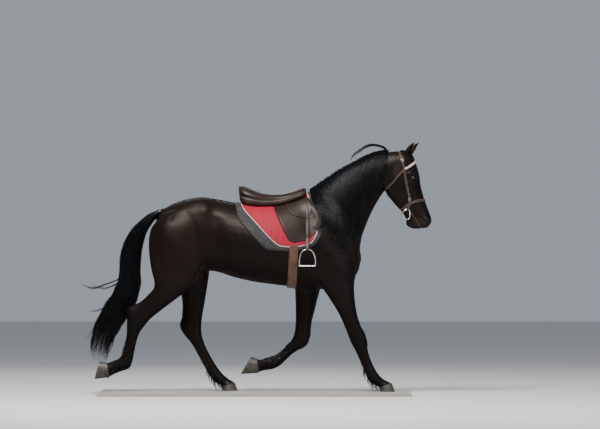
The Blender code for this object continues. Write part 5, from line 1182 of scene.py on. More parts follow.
def ear_piece(name, base, tip, opening):
    """Sections at t: arcs of radius w(t) from the opening's half angle round the back, two walls."""
    base, axis, length, front, side = ear_frame(base, tip, opening)
    t = np.linspace(-0.05, 1, EAR_STEPS)[:, None]
    width = smooth_curve(t[:, 0], EAR_HALF_WIDTHS)[:, None]
    half_open = 0.10 + 1.15 * smooth_step(t, 0.0, 0.55)
    turn = half_open + (2 * math.pi - 2 * half_open) * np.linspace(0, 1, EAR_SIDES)[None, :]
    inner = np.maximum(width * 0.3, (width - EAR_WALL) * smooth_step(t, 0.02, 0.30))
    rim = 1 - 0.25 * np.abs(np.linspace(-1, 1, EAR_SIDES))[None, :] ** 6
    arc = np.concatenate([width * np.ones_like(rim), (inner * rim)[:, ::-1]], axis=1)
    turn = np.concatenate([turn, turn[:, ::-1]], axis=1)
    bow = 0.9 * np.sin(math.pi * np.clip(t, 0, 1)) - 0.5 * smooth_step(t, 0.75, 1.0)
    centre = base + axis * (length * t) - front * bow
    ring = (centre[:, None] + front * 0.82 * (arc * np.cos(turn))[..., None]
            + side * (arc * np.sin(turn))[..., None])
    return closed_stack(name, place(ring))


def smooth_curve(at, table):
    """Cubic curve through a table of (place, value), read at the given places."""
    rows = smooth_rows(np.array(table, float), 10)
    return np.interp(at, rows[:, 0], rows[:, 1])


ears = [ear_piece(name, *sizes) for name, sizes in EARS.items()]
paths, outs = [], []
for sizes in EARS.values():
    base, axis, length, front, side = ear_frame(*sizes)
    for _ in range(EAR_HAIR_LOCKS):
        t, turn = draw.uniform(0.06, 0.72), draw.uniform(-1.25, 1.25)
        wide = smooth_curve(t, EAR_HALF_WIDTHS) * 0.8
        wide = smooth_curve(t, EAR_HALF_WIDTHS) * 0.8
        round_cup = front * 0.3 * math.cos(turn) + side * math.sin(turn)
        start = base + axis * length * t + round_cup * wide
        way = axis * 1.6 + front * draw.uniform(0.3, 0.9) - side * math.sin(turn) * draw.uniform(0.2, 1.0)
        steps = np.linspace(0, 1, EAR_HAIR_STEPS)[:, None]
        paths.append(place(start + way * steps * draw.uniform(0.9, 1.6)))
        outs.append(np.tile(front, (EAR_HAIR_STEPS, 1)))
ear_hair = lock_strands("hair_ears", paths, outs, 0.0012, 0.0012, 5, 0.0003, EAR_HAIR_STEPS, wave=(0.0, 1.0),
                        loose=0.0006, shortest=0.5)

# %% [markdown]
# ## Eyes
#
# A horse's eye is a large dark ball set under heavy lids, with a wide, level pupil. The ball is one
# surface of revolution whose clear front bulges a little; its own flat coordinates carry the iris.

# %% Eyeballs
CORNEA_HALF, CORNEA_RISE, BALL_CLEAR = 0.0145, 0.0011, 0.0004
LASHES, LASH_STEPS = 34, np.linspace(0, 1, 5)
LASH_LONG, LASH_OUT, LASH_DROP = 0.006, 0.013, 0.0081


def eyeball(name, side):
    """Rings at polar angle a from the outward axis: radius R plus a bulge inside the cornea."""
    middle = eye_middle(side)
    polar = np.linspace(0.0, math.pi * 0.98, 60)[:, None]
    round_about = circle(64)[None, :]
    off_axis = EYE_RADIUS * np.sin(polar)
    front = (polar < math.pi / 2)
    bulge = CORNEA_RISE * front * (1 - smooth_step(off_axis, CORNEA_HALF * 0.7, CORNEA_HALF * 1.05))
    ball = EYE_RADIUS - BALL_CLEAR + bulge
    u = ball * np.sin(polar) * np.cos(round_about)
    v = ball * np.sin(polar) * np.sin(round_about)
    out = ball * np.cos(polar) * np.ones_like(round_about)
    points = np.stack([middle[0] + u, middle[1] + side * out, middle[2] + v], 2)
    made = closed_stack(name, points)
    layer = np.stack([0.5 + u / 0.05, 0.5 + v / 0.05, front * np.ones_like(u), np.ones_like(u)], 2)
    paint(made, layer.reshape(-1, 4), "eye")
    return made


eyeballs = [eyeball("eye_right", -1), eyeball("eye_left", 1)]
lash_paths, lash_outs = [], []
for side in (-1, 1):
    middle = eye_middle(side)
    for turn in np.linspace(0.5, 2.5, LASHES):
        u, v = LID_LONG * 1.02 * math.cos(turn), LID_HIGH * 1.12 * math.sin(turn) ** 1.3
        x, z = turned(u, v, -LID_TURN)
        out = math.sqrt(max((EYE_RADIUS + 0.0022) ** 2 - u * u - v * v, 0.008**2))
        lash_paths.append(np.stack([middle[0] + x + LASH_LONG * LASH_STEPS * math.cos(turn),
                                    middle[1] + side * (out + LASH_OUT * LASH_STEPS),
                                    middle[2] + z + 0.002 * LASH_STEPS - LASH_DROP * LASH_STEPS**2], 1))
        lash_outs.append(np.tile((0, side * 0.4, 1.0), (len(LASH_STEPS), 1)))
lashes = lock_strands("hair_lashes", lash_paths, lash_outs, 0.0006, 0.0004, 3, 0.00022, len(LASH_STEPS),
                      wave=(0.0, 1.0), loose=0.0003, shortest=0.7)

# %% [markdown]
# ## Hooves
#
# The hoof wall grows down from the coronet in rings and flares to the ground. Under it lie the
# wall's edge, the hollow sole and the wedge of the frog. The wall is a stack of rings between
# coronet and ground line, and the sole is a disc whose height is a formula of its place.

# %% Hooves
CORONETS = {
    "hoof_fore_right": (((120.6, 3.2), (141.0, 10.4)), 0.77, 0.19, (139.6, 0.04), (125.4, 0.04), 8.2, -13.2),
    "hoof_fore_left": (((3.9, 14.4), (2.3, 35.6)), 0.16, 0.84, (-14.4, 16.6), (-4.2, 34.6), 8.2, 12.9),
    "hoof_hind_right": (((-143.7, 10.2), (-147.3, 33.0)), 0.18, 0.82, (-159.4, 12.4), (-154.6, 30.2), 7.8,
                        -12.5),
    "hoof_hind_left": (((-37.4, 3.4), (-16.6, 9.6)), 0.80, 0.20, (-17.4, 0.04), (-33.0, 0.04), 7.8, 12.7),
}
HOOF_WIDTHS = [(0.0, 0.80), (0.12, 0.86), (0.55, 0.94), (0.96, 1.0), (1.0, 0.99)]
HOOF_SIDES, WALL_ROWS, SOLE_ROWS, HOOF_PEAR, HOOF_SQUARE = 96, 44, 30, -0.06, 2.2
CORONET_TUCK, SOLE_HOLLOW, WALL_EDGE, FROG_LONG, FROG_WIDE, CLEFT_WIDE = 0.15, 0.0075, 0.86, 0.62, 0.36, 0.045
GROWTH_RING, RING_PACES = 0.00035, (62, 143)


def hoof_piece(name, cut, front, back, toe, heel, half_width, middle):
    """Wall rings t from coronet to ground with growth rings; then sole rings r to the middle.

    The sole's height is 0 on the wall's edge, a hollow inside it, and the frog is a wedge back
    from its point with a cleft along it. Both are measured along the hoof's own axis.
    """
    start, end = (np.array(p) for p in cut)
    toe, heel = np.array(toe), np.array(heel)
    top = [start + (end - start) * share for share in (front, back)]
    toe, heel = np.array(toe), np.array(heel)
    t = np.linspace(-0.05, 1, WALL_ROWS)
    a = top[0] + (toe - top[0]) * t[:, None]
    b = top[1] + (heel - top[1]) * t[:, None]
    width = half_width * smooth_curve(t, HOOF_WIDTHS) * (1 - 0.10 * smooth_step(-t, -0.02, 0.06))
    same = [np.full(len(t), value) for value in (middle, HOOF_PEAR, HOOF_SQUARE)]
    rows = np.column_stack([a, b, width, *same])
    wall = ring_points(rows, HOOF_SIDES)
    centre = wall.mean(1, keepdims=True)
    wall = centre + (wall - centre) * (1 - CORONET_TUCK * smooth_step(-t, -0.09, 0.05))[:, None, None]
    rings = np.sin(t * RING_PACES[0]) * 0.6 + np.sin(t * RING_PACES[1] + 1.0) * 0.4
    rings = rings * smooth_step(t, 0.04, 0.16) * (1 - smooth_step(t, 0.93, 0.99)) + 2.6 * bell(t - 0.06, 0.05)
    wall = wall + unit(wall - centre) * (rings * GROWTH_RING)[:, None, None]
    share = np.linspace(1, 0, SOLE_ROWS)[1:, None, None]
    ground = wall[-1].mean(0)
    sole = ground + (wall[-1] - ground) * share
    axis = (toe + heel) / 2 - (top[0] + top[1]) / 2
    flat = toe - heel
    up = unit(np.array((-flat[1], 0, flat[0])))
    up = up * -np.sign(up[[0, 2]] @ axis)
    angle = circle(HOOF_SIDES)[None, :, None]
    along, across = share * np.cos(angle), share * np.sin(angle)
    hollow = SOLE_HOLLOW * (1 - smooth_step(share, 0.55, WALL_EDGE)) * np.ones_like(angle)
    reach = np.clip((FROG_LONG - 0.25 - along) / (FROG_LONG + 0.75), 0, 1)
    frog = (reach > 0) * (1 - smooth_step(np.abs(across) - FROG_WIDE * reach, -0.03, 0.06))
    cleft = bell(across, CLEFT_WIDE) * smooth_step(reach, 0.35, 0.6)
    sole = sole + up * (hollow * (1 - 0.85 * frog) + 0.004 * cleft * frog)
    made = closed_stack(name, np.concatenate([wall, sole]))
    marks = np.zeros((len(t) + len(share), HOOF_SIDES, 4))
    marks[..., 0], marks[..., 3] = np.append(np.clip(t, 0, 1), np.ones(len(share)))[:, None], 1.0
    marks[len(t):, :, 1] = smooth_step(1 - share[..., 0], 0.02, 0.10)
    marks[len(t):, :, 2] = frog[..., 0]
    paint(made, marks.reshape(-1, 4), "hoof")
    return made


hooves = [hoof_piece(name, *sizes) for name, sizes in CORONETS.items()]
print("hooves:", [len(h.data.polygons) for h in hooves])

# %% [markdown]
# ## Cloth and leather laid on the body
#
# Pad, flaps, girth and straps all lie on the horse. Each is a grid of points cast onto the skin,
# given two faces at two heights and a rounded edge. Bending a flat sheet by physics would need a
# cloth run for every change, while the casts follow the body at once.

# %% Sheets laid on the skin
TRUNK_AXIS = 150
X_AXIS = np.array((1.0, 0, 0))


def round_point(x, angle):
    """Where a line outwards from the trunk's axis meets the skin. An angle of 0 points up."""
    way = Vector((0, math.sin(angle), math.cos(angle)))
    return np.array(skin_tree.ray_cast(Vector(place((x, 0, TRUNK_AXIS))), way)[0])


def resampled(table, count):
    """A table's rows on a smooth curve, read at a count of even steps."""
    rows = smooth_rows(np.array(table, float).reshape(len(table), -1), 12)
    steps = np.linspace(0, len(rows) - 1, count)
    return np.stack([np.interp(steps, np.arange(len(rows)), rows[:, i]) for i in range(rows.shape[1])], 1)


def grid_normals(points, outward, wrap=False):
    """Unit normals from the cross product of the two directions, turned to the side of outward."""
    along = np.roll(points, -1, 0) - np.roll(points, 1, 0) if wrap else np.gradient(points, axis=0)
    normals = unit(np.cross(along, np.gradient(points, axis=1)))
    return normals * np.sign((normals * outward).sum())


def edge_distance(points, wrap=False):
    """Metres from each grid point to the nearest border, measured along its row and column."""
    best = np.full(points.shape[:2], 1e9)
    for axis in ((1,) if wrap else (0, 1)):
        step = np.linalg.norm(np.diff(points, axis=axis), axis=2)
        total = np.concatenate([np.zeros_like(np.take(step, [0], axis)), np.cumsum(step, axis)], axis)
        best = np.minimum(best, np.minimum(total, np.take(total, [-1], axis) - total))
    return best


def laid_sheet(name, points, normals, low, high, edge=0.004, wrap=False, uv=None):
    """Closed sheet: top at low + (high - low) * quarter circle of the border distance over edge."""
    away = np.clip(edge_distance(points, wrap) / edge, 0, 1)
    high = np.broadcast_to(high, points.shape[:2])
    top = low + (high - low) * (0.35 + 0.65 * np.sqrt(1 - (1 - away) ** 2))
    rows, columns = points.shape[:2]
    shell = np.stack([points + normals * low, points + normals * top[..., None]])
    number = np.arange(2 * rows * columns).reshape(2, rows, columns)
    if wrap:
        number = np.concatenate([number, number[:, :1]], axis=1)
    faces = [quads(layer) for layer in number] + [quads(number[:, :, 0]), quads(number[:, :, -1])]
    if not wrap:
        faces += [quads(number[:, 0]), quads(number[:, -1])]
    flat = np.tile(uv.reshape(-1, 2), (2, 1)) if uv is not None else None
    return face_outwards(mesh_piece(name, shell, np.concatenate(faces), flat))


def metre_uv(points):
    """Flat coordinates of a grid in metres: length along its middle row and column."""
    rows, columns = points.shape[:2]
    down, over = running_length(points[:, columns // 2]), running_length(points[rows // 2])
    return np.stack(np.broadcast_arrays(down[:, None], over[None, :]), 2)


def cord_along(name, path, radius, sides=10, wrap=False):
    """A round bar: rings of cosine and sine in a frame carried along the path."""
    path = np.asarray(path, float)
    ahead = unit(np.roll(path, -1, 0) - np.roll(path, 1, 0) if wrap else np.gradient(path, axis=0))
    across = unit(np.cross(ahead, np.linalg.svd(path - path.mean(0))[2][2]))
    guide = np.cross(across, ahead)
    angle = circle(sides)[None, :, None]
    radius = np.broadcast_to(radius, len(path))[:, None, None]
    rings = path[:, None] + radius * (np.cos(angle) * across[:, None] + np.sin(angle) * guide[:, None])
    if not wrap:
        return closed_stack(name, rings)
    number = np.pad(np.arange(len(path) * sides).reshape(len(path), sides), ((0, 1), (0, 1)), "wrap")
    return face_outwards(mesh_piece(name, rings, quads(number)))


STITCH_LONG, STITCH_GAP, STITCH_RISE = 0.0034, 0.0022, 0.0004
stitch_rows = {}


def add_stitches(group, path, normals, height):
    """Notes short raised stitches at even steps along a path, to be made in one mesh later."""
    normals = np.asarray(normals, float)
    path = np.asarray(path, float) + unit(normals) * height
    length = running_length(path)
    starts = np.arange(0.002, length[-1] - STITCH_LONG, STITCH_LONG + STITCH_GAP)
    at = starts[:, None] + np.array((0, 0.5, 1.0)) * STITCH_LONG
    spots, out = read_at(at, length, path), read_at(at, length, normals)
    spots[:, 1] += unit(out[:, 1]) * STITCH_RISE
    stitch_rows.setdefault(group, []).append((spots, out))


# %% [markdown]
# ## The saddle pad
#
# The pad is a quilted crimson blanket with a wide tweed border, white piping between the two and a
# black binding round the edge. The quilting is a height that rises between stitch lines in waves,
# and the stitch lines carry painted shade.

# %% Saddle pad
PAD_TOP = [-19, -13, -7, -1, 5, 11, 17, 23, 29, 35, 41, 48, 54.5]
PAD_FOOT = [(-18.5, 184), (-15, 171), (-9, 163), (-2, 155), (5, 148), (12, 141.8), (20, 140.5), (29, 140),
            (38, 140), (47, 141.5), (55, 144), (61, 148), (65.5, 155)]
QUILT_TOP = [-15.5, -10, -4.5, 1, 7, 12.5, 18, 24, 29.5, 35, 40.5, 46, 51]
QUILT_FOOT = [(-14.5, 189), (-12, 182), (-7, 176), (-1, 169.5), (5, 163), (11, 156.5), (17, 150.5),
              (24, 145.2), (33, 143.8), (43, 144.2), (52, 146.2), (58, 150), (62, 157)]
PAD_SIZE, QUILT_SIZE = ((90, 130), (60, 84)), ((140, 190), (96, 130))
QUILT_SPACING, QUILT_WAVE, QUILT_WAVELENGTH, QUILT_PUFF = 0.024, 0.0105, 0.074, 0.0040
LOOP_POINTS = 700


def from_axis(grid):
    """The way from the trunk's axis out to each point of a grid."""
    return grid * (0, 1, 1) - place((0, 0, TRUNK_AXIS))


def pad_grid(top, foot, size):
    """Points over the back: each column runs from the right foot over the spine to the left foot."""
    columns, rows = size[0]
    tops, feet = resampled(top, columns)[:, 0], resampled(foot, columns)
    grid = np.empty((columns, rows, 3))
    for i, (spine, (x, z)) in enumerate(zip(tops, feet)):
        side = cast_from(x, z, -1)[0]
        limit = math.atan2(abs(side[1]), (z - TRUNK_AXIS) * SQUARE)
        for j, v in enumerate(np.linspace(-1, 1, rows)):
            grid[i, j] = round_point(spine + (x - spine) * abs(v) ** 0.8, limit * v)
    return grid, grid_normals(grid, from_axis(grid))


def border_path(grid, normals, height):
    """The closed outline of a grid, raised along its normals."""
    raised = grid + normals * height
    return np.concatenate([raised[:-1, 0], raised[-1, :-1], raised[:0:-1, -1], raised[0, :0:-1]])


def smooth_loop(path, count=LOOP_POINTS, times=3):
    """A closed path read at even steps and averaged with its neighbours."""
    closed = np.vstack([path, path[:1]])
    length = running_length(closed)
    path = read_at(np.linspace(0, length[-1], count, endpoint=False), length, closed)
    for _ in range(times):
        path = (np.roll(path, 1, 0) + 2 * path + np.roll(path, -1, 0)) / 4
    return path


def inside(at, outline):
    """True where a line from the point crosses the closed outline an odd number of times."""
    odd = np.zeros(at.shape[:-1], bool)
    for (ax, az), (bx, bz) in zip(outline, outline[1:] + outline[:1]):
        crosses = (az > at[..., 1]) != (bz > at[..., 1])
        odd ^= crosses & (at[..., 0] < ax + (at[..., 1] - az) * (bx - ax) / (bz - az + 1e-12))
    return odd


FLAP_REAR = [(19, 184.5), (21, 178), (24, 171), (27, 164), (30, 157), (34, 150), (39, 148)]
FLAP_FRONT = [(54, 190), (60, 186.5), (65, 180.5), (67.3, 174), (66.5, 166), (62, 159.5), (52, 150.5)]
FLAP_OUTLINE = FLAP_REAR + FLAP_FRONT[::-1]
pad_points, pad_normals = pad_grid(PAD_TOP, PAD_FOOT, PAD_SIZE)
pad_border = laid_sheet("pad_tweed_border", pad_points, pad_normals, -0.0008, 0.0086, 0.006,
                        uv=metre_uv(pad_points))
edge_of_pad = smooth_loop(border_path(pad_points, pad_normals, 0.0042))
pad_binding = cord_along("pad_black_binding", edge_of_pad, 0.0046, 8, True)
quilt_points, quilt_normals = pad_grid(QUILT_TOP, QUILT_FOOT, QUILT_SIZE)
quilt_uv = metre_uv(quilt_points)
fall = np.abs(quilt_uv[..., 1] - quilt_uv[..., 1].max() / 2)
line = (fall + QUILT_WAVE * np.sin(2 * math.pi * quilt_uv[..., 0] / QUILT_WAVELENGTH)) / QUILT_SPACING
under_flap = squares(quilt_points)[..., [0, 2]]
from_edge = distance_to_line(under_flap.reshape(-1, 2), FLAP_OUTLINE).reshape(line.shape)
from_edge = np.where(inside(under_flap, FLAP_OUTLINE), from_edge, -from_edge)
puff = np.abs(np.sin(math.pi * line)) ** 0.55 * (1 - smooth_step(from_edge, -0.012, -0.002))
quilt = laid_sheet("pad_crimson_quilt", quilt_points, quilt_normals, 0.0078, 0.0094 + QUILT_PUFF * puff,
                   0.005, uv=quilt_uv)
# The puff is kept for the finish, which paints shade along the seams where it is low.
paint(quilt, np.tile(np.stack([puff, puff, puff, puff * 0 + 1], 2).reshape(-1, 4), (2, 1)), "seam")
edge_of_quilt = smooth_loop(border_path(quilt_points, quilt_normals, 0.0105))
pad_piping = cord_along("pad_white_piping", edge_of_quilt, 0.0026, 8, True)
print("pad:", [len(p.data.polygons) for p in (pad_border, quilt)])

# %% [markdown]
# ## The saddle
#
# The seat dips between a raised cantle and the pommel, on two stuffed panels with a channel over
# the spine. Flaps hang on both sides, with a skirt over the stirrup bar and a roll for the knee.
# The seat is a tube through ribs like the horse's limbs, as leather drawn over a tree is as round.

# %% Seat, panels and flaps
SEAT_RIBS = [
    ((-16.5, 203.5), (-15.5, 194.5), 8.6, 0, -0.1, 2.0),
    ((-14, 206), (-12.5, 193), 15, 0, -0.25, 2.2),
    ((-7, 203.2), (-6, 190), 17.5, 0, -0.15, 2.4),
    ((3, 199.2), (3, 188), 17, 0, -0.1, 2.4),
    ((14, 197.2), (14, 187), 14, 0, -0.1, 2.4),
    ((26, 197.6), (26, 187.5), 12, 0, -0.1, 2.2),
    ((38, 200.2), (38, 190), 11.6, 0, -0.2, 2.0),
    ((46, 203.2), (46, 193), 11.6, 0, -0.3, 2.0),
    ((51, 202.6), (51.5, 195.5), 8.6, 0, -0.3, 2.0),
]
PANEL_RIBS = [
    ((-15.5, 194), (-15, 190.5), 3.0, 10, 0.0, 2.2),
    ((-13, 195.5), (-12, 187.2), 6.6, 10.5, 0.0, 2.4),
    ((-5, 194), (-4.5, 184.4), 8.0, 11, 0.0, 2.6),
    ((8, 191.5), (8, 184.0), 7.8, 11, 0.0, 2.6),
    ((22, 192), (22, 184.8), 6.4, 11.5, 0.0, 2.6),
    ((36, 195), (36, 188.6), 5.6, 11.5, 0.0, 2.4),
    ((46, 198), (46.5, 192.8), 4.6, 11.5, 0.0, 2.2),
    ((50.5, 199), (50.8, 195.4), 2.6, 10.5),
]
FLAP_LOW, FLAP_HIGH, SKIRT_THICK, WELT_RADIUS = 0.0112, 0.0178, 0.0042, 0.0022
KNEE_ROLL_RISE, KNEE_ROLL_REACH = 0.0065, 3.2
KNEE_ROLL = [(56, 183), (61, 177.5), (62.5, 171), (60.5, 164)]
SKIRT_REAR = [(30, 188), (31, 183), (34, 177.5), (40, 173.5), (46, 172)]
SKIRT_FRONT = [(53.5, 192), (56, 187), (57, 181), (55.5, 176), (50, 172.2)]
SIDES = ((-1, "right"), (1, "left"))


def laid_between(rear, front, side, rows, columns):
    """A grid between two drawn edges, each point cast onto the skin from one side."""
    rear, front = resampled(rear, rows), resampled(front, rows)
    grid = np.array([[cast_from(*(rear[i] + (front[i] - rear[i]) * t), side)[0]
                      for t in np.linspace(0, 1, columns)] for i in range(rows)])
    for _ in range(6):
        around = grid[:-2, 1:-1] + grid[2:, 1:-1] + grid[1:-1, :-2] + grid[1:-1, 2:]
        grid[1:-1, 1:-1] = (around + 4 * grid[1:-1, 1:-1]) / 8
    return grid, grid_normals(grid, np.array((0, side, 0)))


def inset_border(grid, normals, share):
    """Points and normals of the grid's outline, moved inwards by a share of the grid."""
    rows, columns = grid.shape[:2]
    i, j = max(1, round(rows * share)), max(1, round(columns * share))
    inner, turned = grid[i:rows - i, j:columns - j], normals[i:rows - i, j:columns - j]
    return border_path(inner, turned, 0.0), border_path(turned, turned, 0.0)


seat = loft("saddle_seat", SEAT_RIBS, 64, 10)
panels = [loft("panel", [(f, b, w, m * side, *rest) for f, b, w, m, *rest in PANEL_RIBS], 40, 9)
          for side, _ in SIDES]
saddle_panels = joined("saddle_panels", panels)
flaps, skirts = [], []
for side, word in SIDES:
    grid, normals = laid_between(FLAP_REAR, FLAP_FRONT, side, 64, 56)
    away = distance_to_line(squares(grid.reshape(-1, 3))[:, [0, 2]], KNEE_ROLL).reshape(grid.shape[:2])
    high = FLAP_HIGH - 0.0025 + KNEE_ROLL_RISE * bell(away, KNEE_ROLL_REACH * SQUARE)
    flaps.append(laid_sheet(f"saddle_flap_{word}", grid, normals, FLAP_LOW, high, 0.004))
    add_stitches("saddle", *inset_border(grid, normals, 0.035), FLAP_HIGH - 0.0022)
    grid, normals = laid_between(SKIRT_REAR, SKIRT_FRONT, side, 36, 34)
    high = FLAP_HIGH + SKIRT_THICK
    skirts.append(laid_sheet(f"saddle_skirt_{word}", grid, normals, FLAP_HIGH - 0.001, high, 0.003))
    add_stitches("saddle", *inset_border(grid, normals, 0.07), high - 0.0002)
welt_rows = ring_points(resampled(rib_rows(SEAT_RIBS), 60), 64)
seat_welts = []
for share in (0.13, 0.87):
    line = welt_rows[3:-3, int(64 * share)]
    outward = unit(line - welt_rows[3:-3].mean(1))
    seat_welts.append(cord_along("welt", line + outward * 0.0006, WELT_RADIUS, 8))
    for shift in (-2, 2):
        add_stitches("saddle", welt_rows[3:-3, (int(64 * share) + shift) % 64], outward, 0.0004)
seat_welts.append(cord_along("welt", welt_rows[5][np.r_[46:64, 0:19]], 0.0026, 8))
saddle_welts = joined("saddle_welts", seat_welts)

# %% [markdown]
# ## Girth and stirrups
#
# The girth is a padded band under the belly, and its ends go up under the flaps. Each
# stirrup leather hangs from under the skirt, and its iron is a drawn arch with a ribbed tread.

# %% Girth
GIRTH_X, GIRTH_TOP, GIRTH_THICK, GIRTH_BACK = (34.4, 43.6), 146, 0.017, 5.5
GIRTH_ROWS, GIRTH_COLUMNS = 170, 20
GIRTH_STITCHES = {1: 0.0118, 7: 0.0144, 12: 0.0144, 18: 0.0118}


def girth_grid(rows, columns):
    """Points round the belly from the left flap to the right, sliding back on the left side."""
    foot = cast_from(sum(GIRTH_X) / 2, GIRTH_TOP, 1)[0]
    start = math.atan2(foot[1], (GIRTH_TOP - TRUNK_AXIS) * SQUARE)
    grid = np.array([[round_point(x - GIRTH_BACK * (1 - s), start + (2 * math.pi - 2 * start) * s)
                      for x in np.linspace(*GIRTH_X, columns)] for s in np.linspace(0, 1, rows)])
    grid = smoothed(np.swapaxes(grid, 0, 1), 3).swapaxes(0, 1)
    return grid, grid_normals(grid, from_axis(grid))


grid, normals = girth_grid(GIRTH_ROWS, GIRTH_COLUMNS)
across = np.linspace(-1, 1, GIRTH_COLUMNS)[None, :]
quilted = 0.0016 * np.abs(np.sin(math.pi * 1.5 * across)) ** 0.7
girth_band = laid_sheet("girth_band", grid, normals, -0.001, GIRTH_THICK - 0.003 + quilted, 0.007,
                        uv=metre_uv(grid))
for column, height in GIRTH_STITCHES.items():
    add_stitches("girth", grid[:, column], normals[:, column], height)

# %% Stirrup leathers and irons
LEATHER_X, LEATHER_HALF, LEATHER_THICK = 52.2, 1.75, 0.0042
LEATHER_HEIGHTS = [187, 181, 175, 169, 163, 157, 151]
IRON_TOP, IRON_DROP, IRON_HALF, IRON_CLEAR = 141.0, 17, 8, 0.030
IRON_LINE = [(0, 0), (14, 0), (26, -3), (38, -11), (49, -26), (57, -48), (62, -74), (64, -100), (63.5, -124)]
HOLE_HEIGHTS, HOLE_RADIUS, LOOP_RADIUS = (176, 172.5, 169, 165.5, 162, 158.5), 0.0024, 0.0085
TREAD_HALF, RIB_STEP = (0.0665, 0.0225), 0.0075


def leather_line(side):
    """The strap's points over the flap and down to the iron's eye, never turning inwards."""
    line, widest = [], 0.0
    for z in LEATHER_HEIGHTS:
        at = cast_from(LEATHER_X, z, side)[0]
        widest = max(widest, abs(at[1]) + FLAP_HIGH + (0.006 if z > 170 else 0.003))
        line.append((LEATHER_X * SQUARE, side * widest, at[2]))
    flank = max(abs(cast_from(LEATHER_X + x, IRON_TOP - z, side)[0][1])
                for x in (-IRON_HALF, 0, IRON_HALF) for z in (0, IRON_DROP / 2, IRON_DROP))
    hang = side * max(widest, flank + IRON_CLEAR)
    foot, last = IRON_TOP * SQUARE + BASE_THICK, line[-1]
    line += [(last[0], last[1] * 0.4 + hang * 0.6, (last[2] + foot) / 2), (last[0], hang, foot - 0.004)]
    return np.array(line)


def stirrup_iron(name, x, y, z):
    """The arch as a bar of drawn outline, thicker towards the foot, and a tread of ribbed rubber."""
    right = resampled(np.array(IRON_LINE) / 1000, 40)
    outline = np.vstack([right, (right * (-1, 1))[:0:-1]])
    path = np.stack([x + outline[:, 0], np.full(len(outline), y), z + outline[:, 1]], 1)
    arch = cord_along("arch", path, np.interp(-outline[:, 1], (0, 0.05, 0.124), (0.0046, 0.0048, 0.0062)), 14)
    along, over = (np.linspace(-half, half, count) for half, count in zip(TREAD_HALF, (90, 22)))
    grid = np.stack(np.broadcast_arrays(x + along[:, None], y + over[None, :], z - 0.1265), 2)
    up = np.broadcast_to((0.0, 0, 1), grid.shape)
    frame_bar = laid_sheet("tread", grid, up, -0.0045, 0.0025, 0.004)
    ribs = 0.0014 * np.abs(np.sin(math.pi * along / RIB_STEP))[:, None] ** 0.6 * (np.abs(over) < 0.018)
    rubber = laid_sheet(name.replace("iron", "rubber"), grid, up, 0.0022, 0.0052 + ribs, 0.0045)
    return joined(name, [arch, frame_bar]), rubber


def ribbon(path, half_width, columns):
    """A grid of the path's points moved along x, from half a width behind to half a width before."""
    return path[:, None] + X_AXIS * (np.linspace(-1, 1, columns) * half_width)[None, :, None]


leathers, irons, rubbers, holes = [], [], [], []
for side, word in SIDES:
    line = resampled(leather_line(side), 90)
    grid = ribbon(line, LEATHER_HALF * SQUARE, 9)
    normals = grid_normals(grid, np.array((0, side, 0)))
    strap = laid_sheet(f"stirrup_leather_{word}", grid, normals, -0.0028, LEATHER_THICK - 0.0008, 0.0016)
    x, y, z = line[-1] + (0, side * 0.0005, 0.004)
    turn = circle(24)
    loop = np.stack([np.full(24, x), y + LOOP_RADIUS * np.sin(turn), z + LOOP_RADIUS * np.cos(turn)], 1)
    outward = unit(np.repeat((loop - (x, y, z))[:, None], 9, 1))
    loop_grid = ribbon(loop, LEATHER_HALF * SQUARE, 9)
    loops = laid_sheet("loop", loop_grid, outward, -0.0012, 0.0024, 0.0016, wrap=True)
    leathers.append(joined(f"stirrup_leather_{word}", [strap, loops]))
    for column in (1, 7):
        add_stitches("saddle", grid[4:, column], normals[4:, column], LEATHER_THICK - 0.0010)
    # Each punch hole is a short dark bar through the strap with its top just above the leather: painted shade
    # in place of a hole.
    for height in HOLE_HEIGHTS:
        row = int(np.argmin(np.abs(squares(line)[:, 2] - height)))
        ends = [line[row] + normals[row, 4] * rise for rise in (0.002, LEATHER_THICK - 0.0006)]
        holes.append(cord_along("hole", ends, HOLE_RADIUS, 12))
    iron, rubber = stirrup_iron(f"stirrup_iron_{word}", x, y, z)
    irons.append(iron)
    rubbers.append(rubber)
leather_hole_shades = joined("stirrup_leather_holes", holes)

# %% [markdown]
# ## The bridle
#
# Every bridle strap is flat leather laid on the head, with rounded edges, a row of stitches along
# both and a low raised middle on browband and noseband. Buckles are bent wire with a tongue, and a
# keeper beside each holds the strap's end. Straps follow the head by nearest points on the skin.

# %% Bridle straps
HEADPIECE = [(142.3, 0, 242), (143.2, -4.5, 241), (145.5, -9, 235), (147.8, -11, 228), (149.3, -12, 219),
             (150.6, -13, 210), (152.3, -12, 201), (154.2, -10, 194), (154.2, -9.5, 189), (153.2, -9, 184.5),
             (152.7, -8.8, 182.0)]
BROWBAND = [(149.4, -12, 221.5), (153, -12, 223.5), (157, -10.5, 226), (160, -7, 228.3), (161.6, -3, 229.4),
            (161.9, 0, 229.6)]
NOSEBAND = [(171.0, 0, 191), (168, -6, 190.8), (163, -9, 189.8), (156, -9.5, 187.5), (150.5, -8, 184),
            (147, -4.5, 181.5), (145.5, 0, 180.5)]
THROATLASH = [(148.6, -12, 221), (143.5, -12, 215.5), (138.5, -12, 210), (134, -10, 205), (131.2, -5, 202),
              (130.6, 0, 201)]
BIT_AT = (155.0, 176.6)
RING_LINE = [(154.4, 176.6), (154.4, 179.8), (153.6, 181.2), (152.0, 181.5), (150.2, 181.0), (148.2, 179.2),
             (147.4, 176.6), (148.2, 174.0), (150.2, 172.2), (152.0, 171.7), (153.6, 172.0), (154.4, 173.4)]
RING_RADIUS, BIT_RADIUS = 0.0040, 0.0066


def averaged(values, closed):
    """Each row averaged with its neighbours; the ends of an open line stay."""
    if closed:
        return (np.roll(values, 1, 0) + 2 * values + np.roll(values, -1, 0)) / 4
    return np.concatenate([values[:1], (values[:-2] + 2 * values[1:-1] + values[2:]) / 4, values[-1:]])


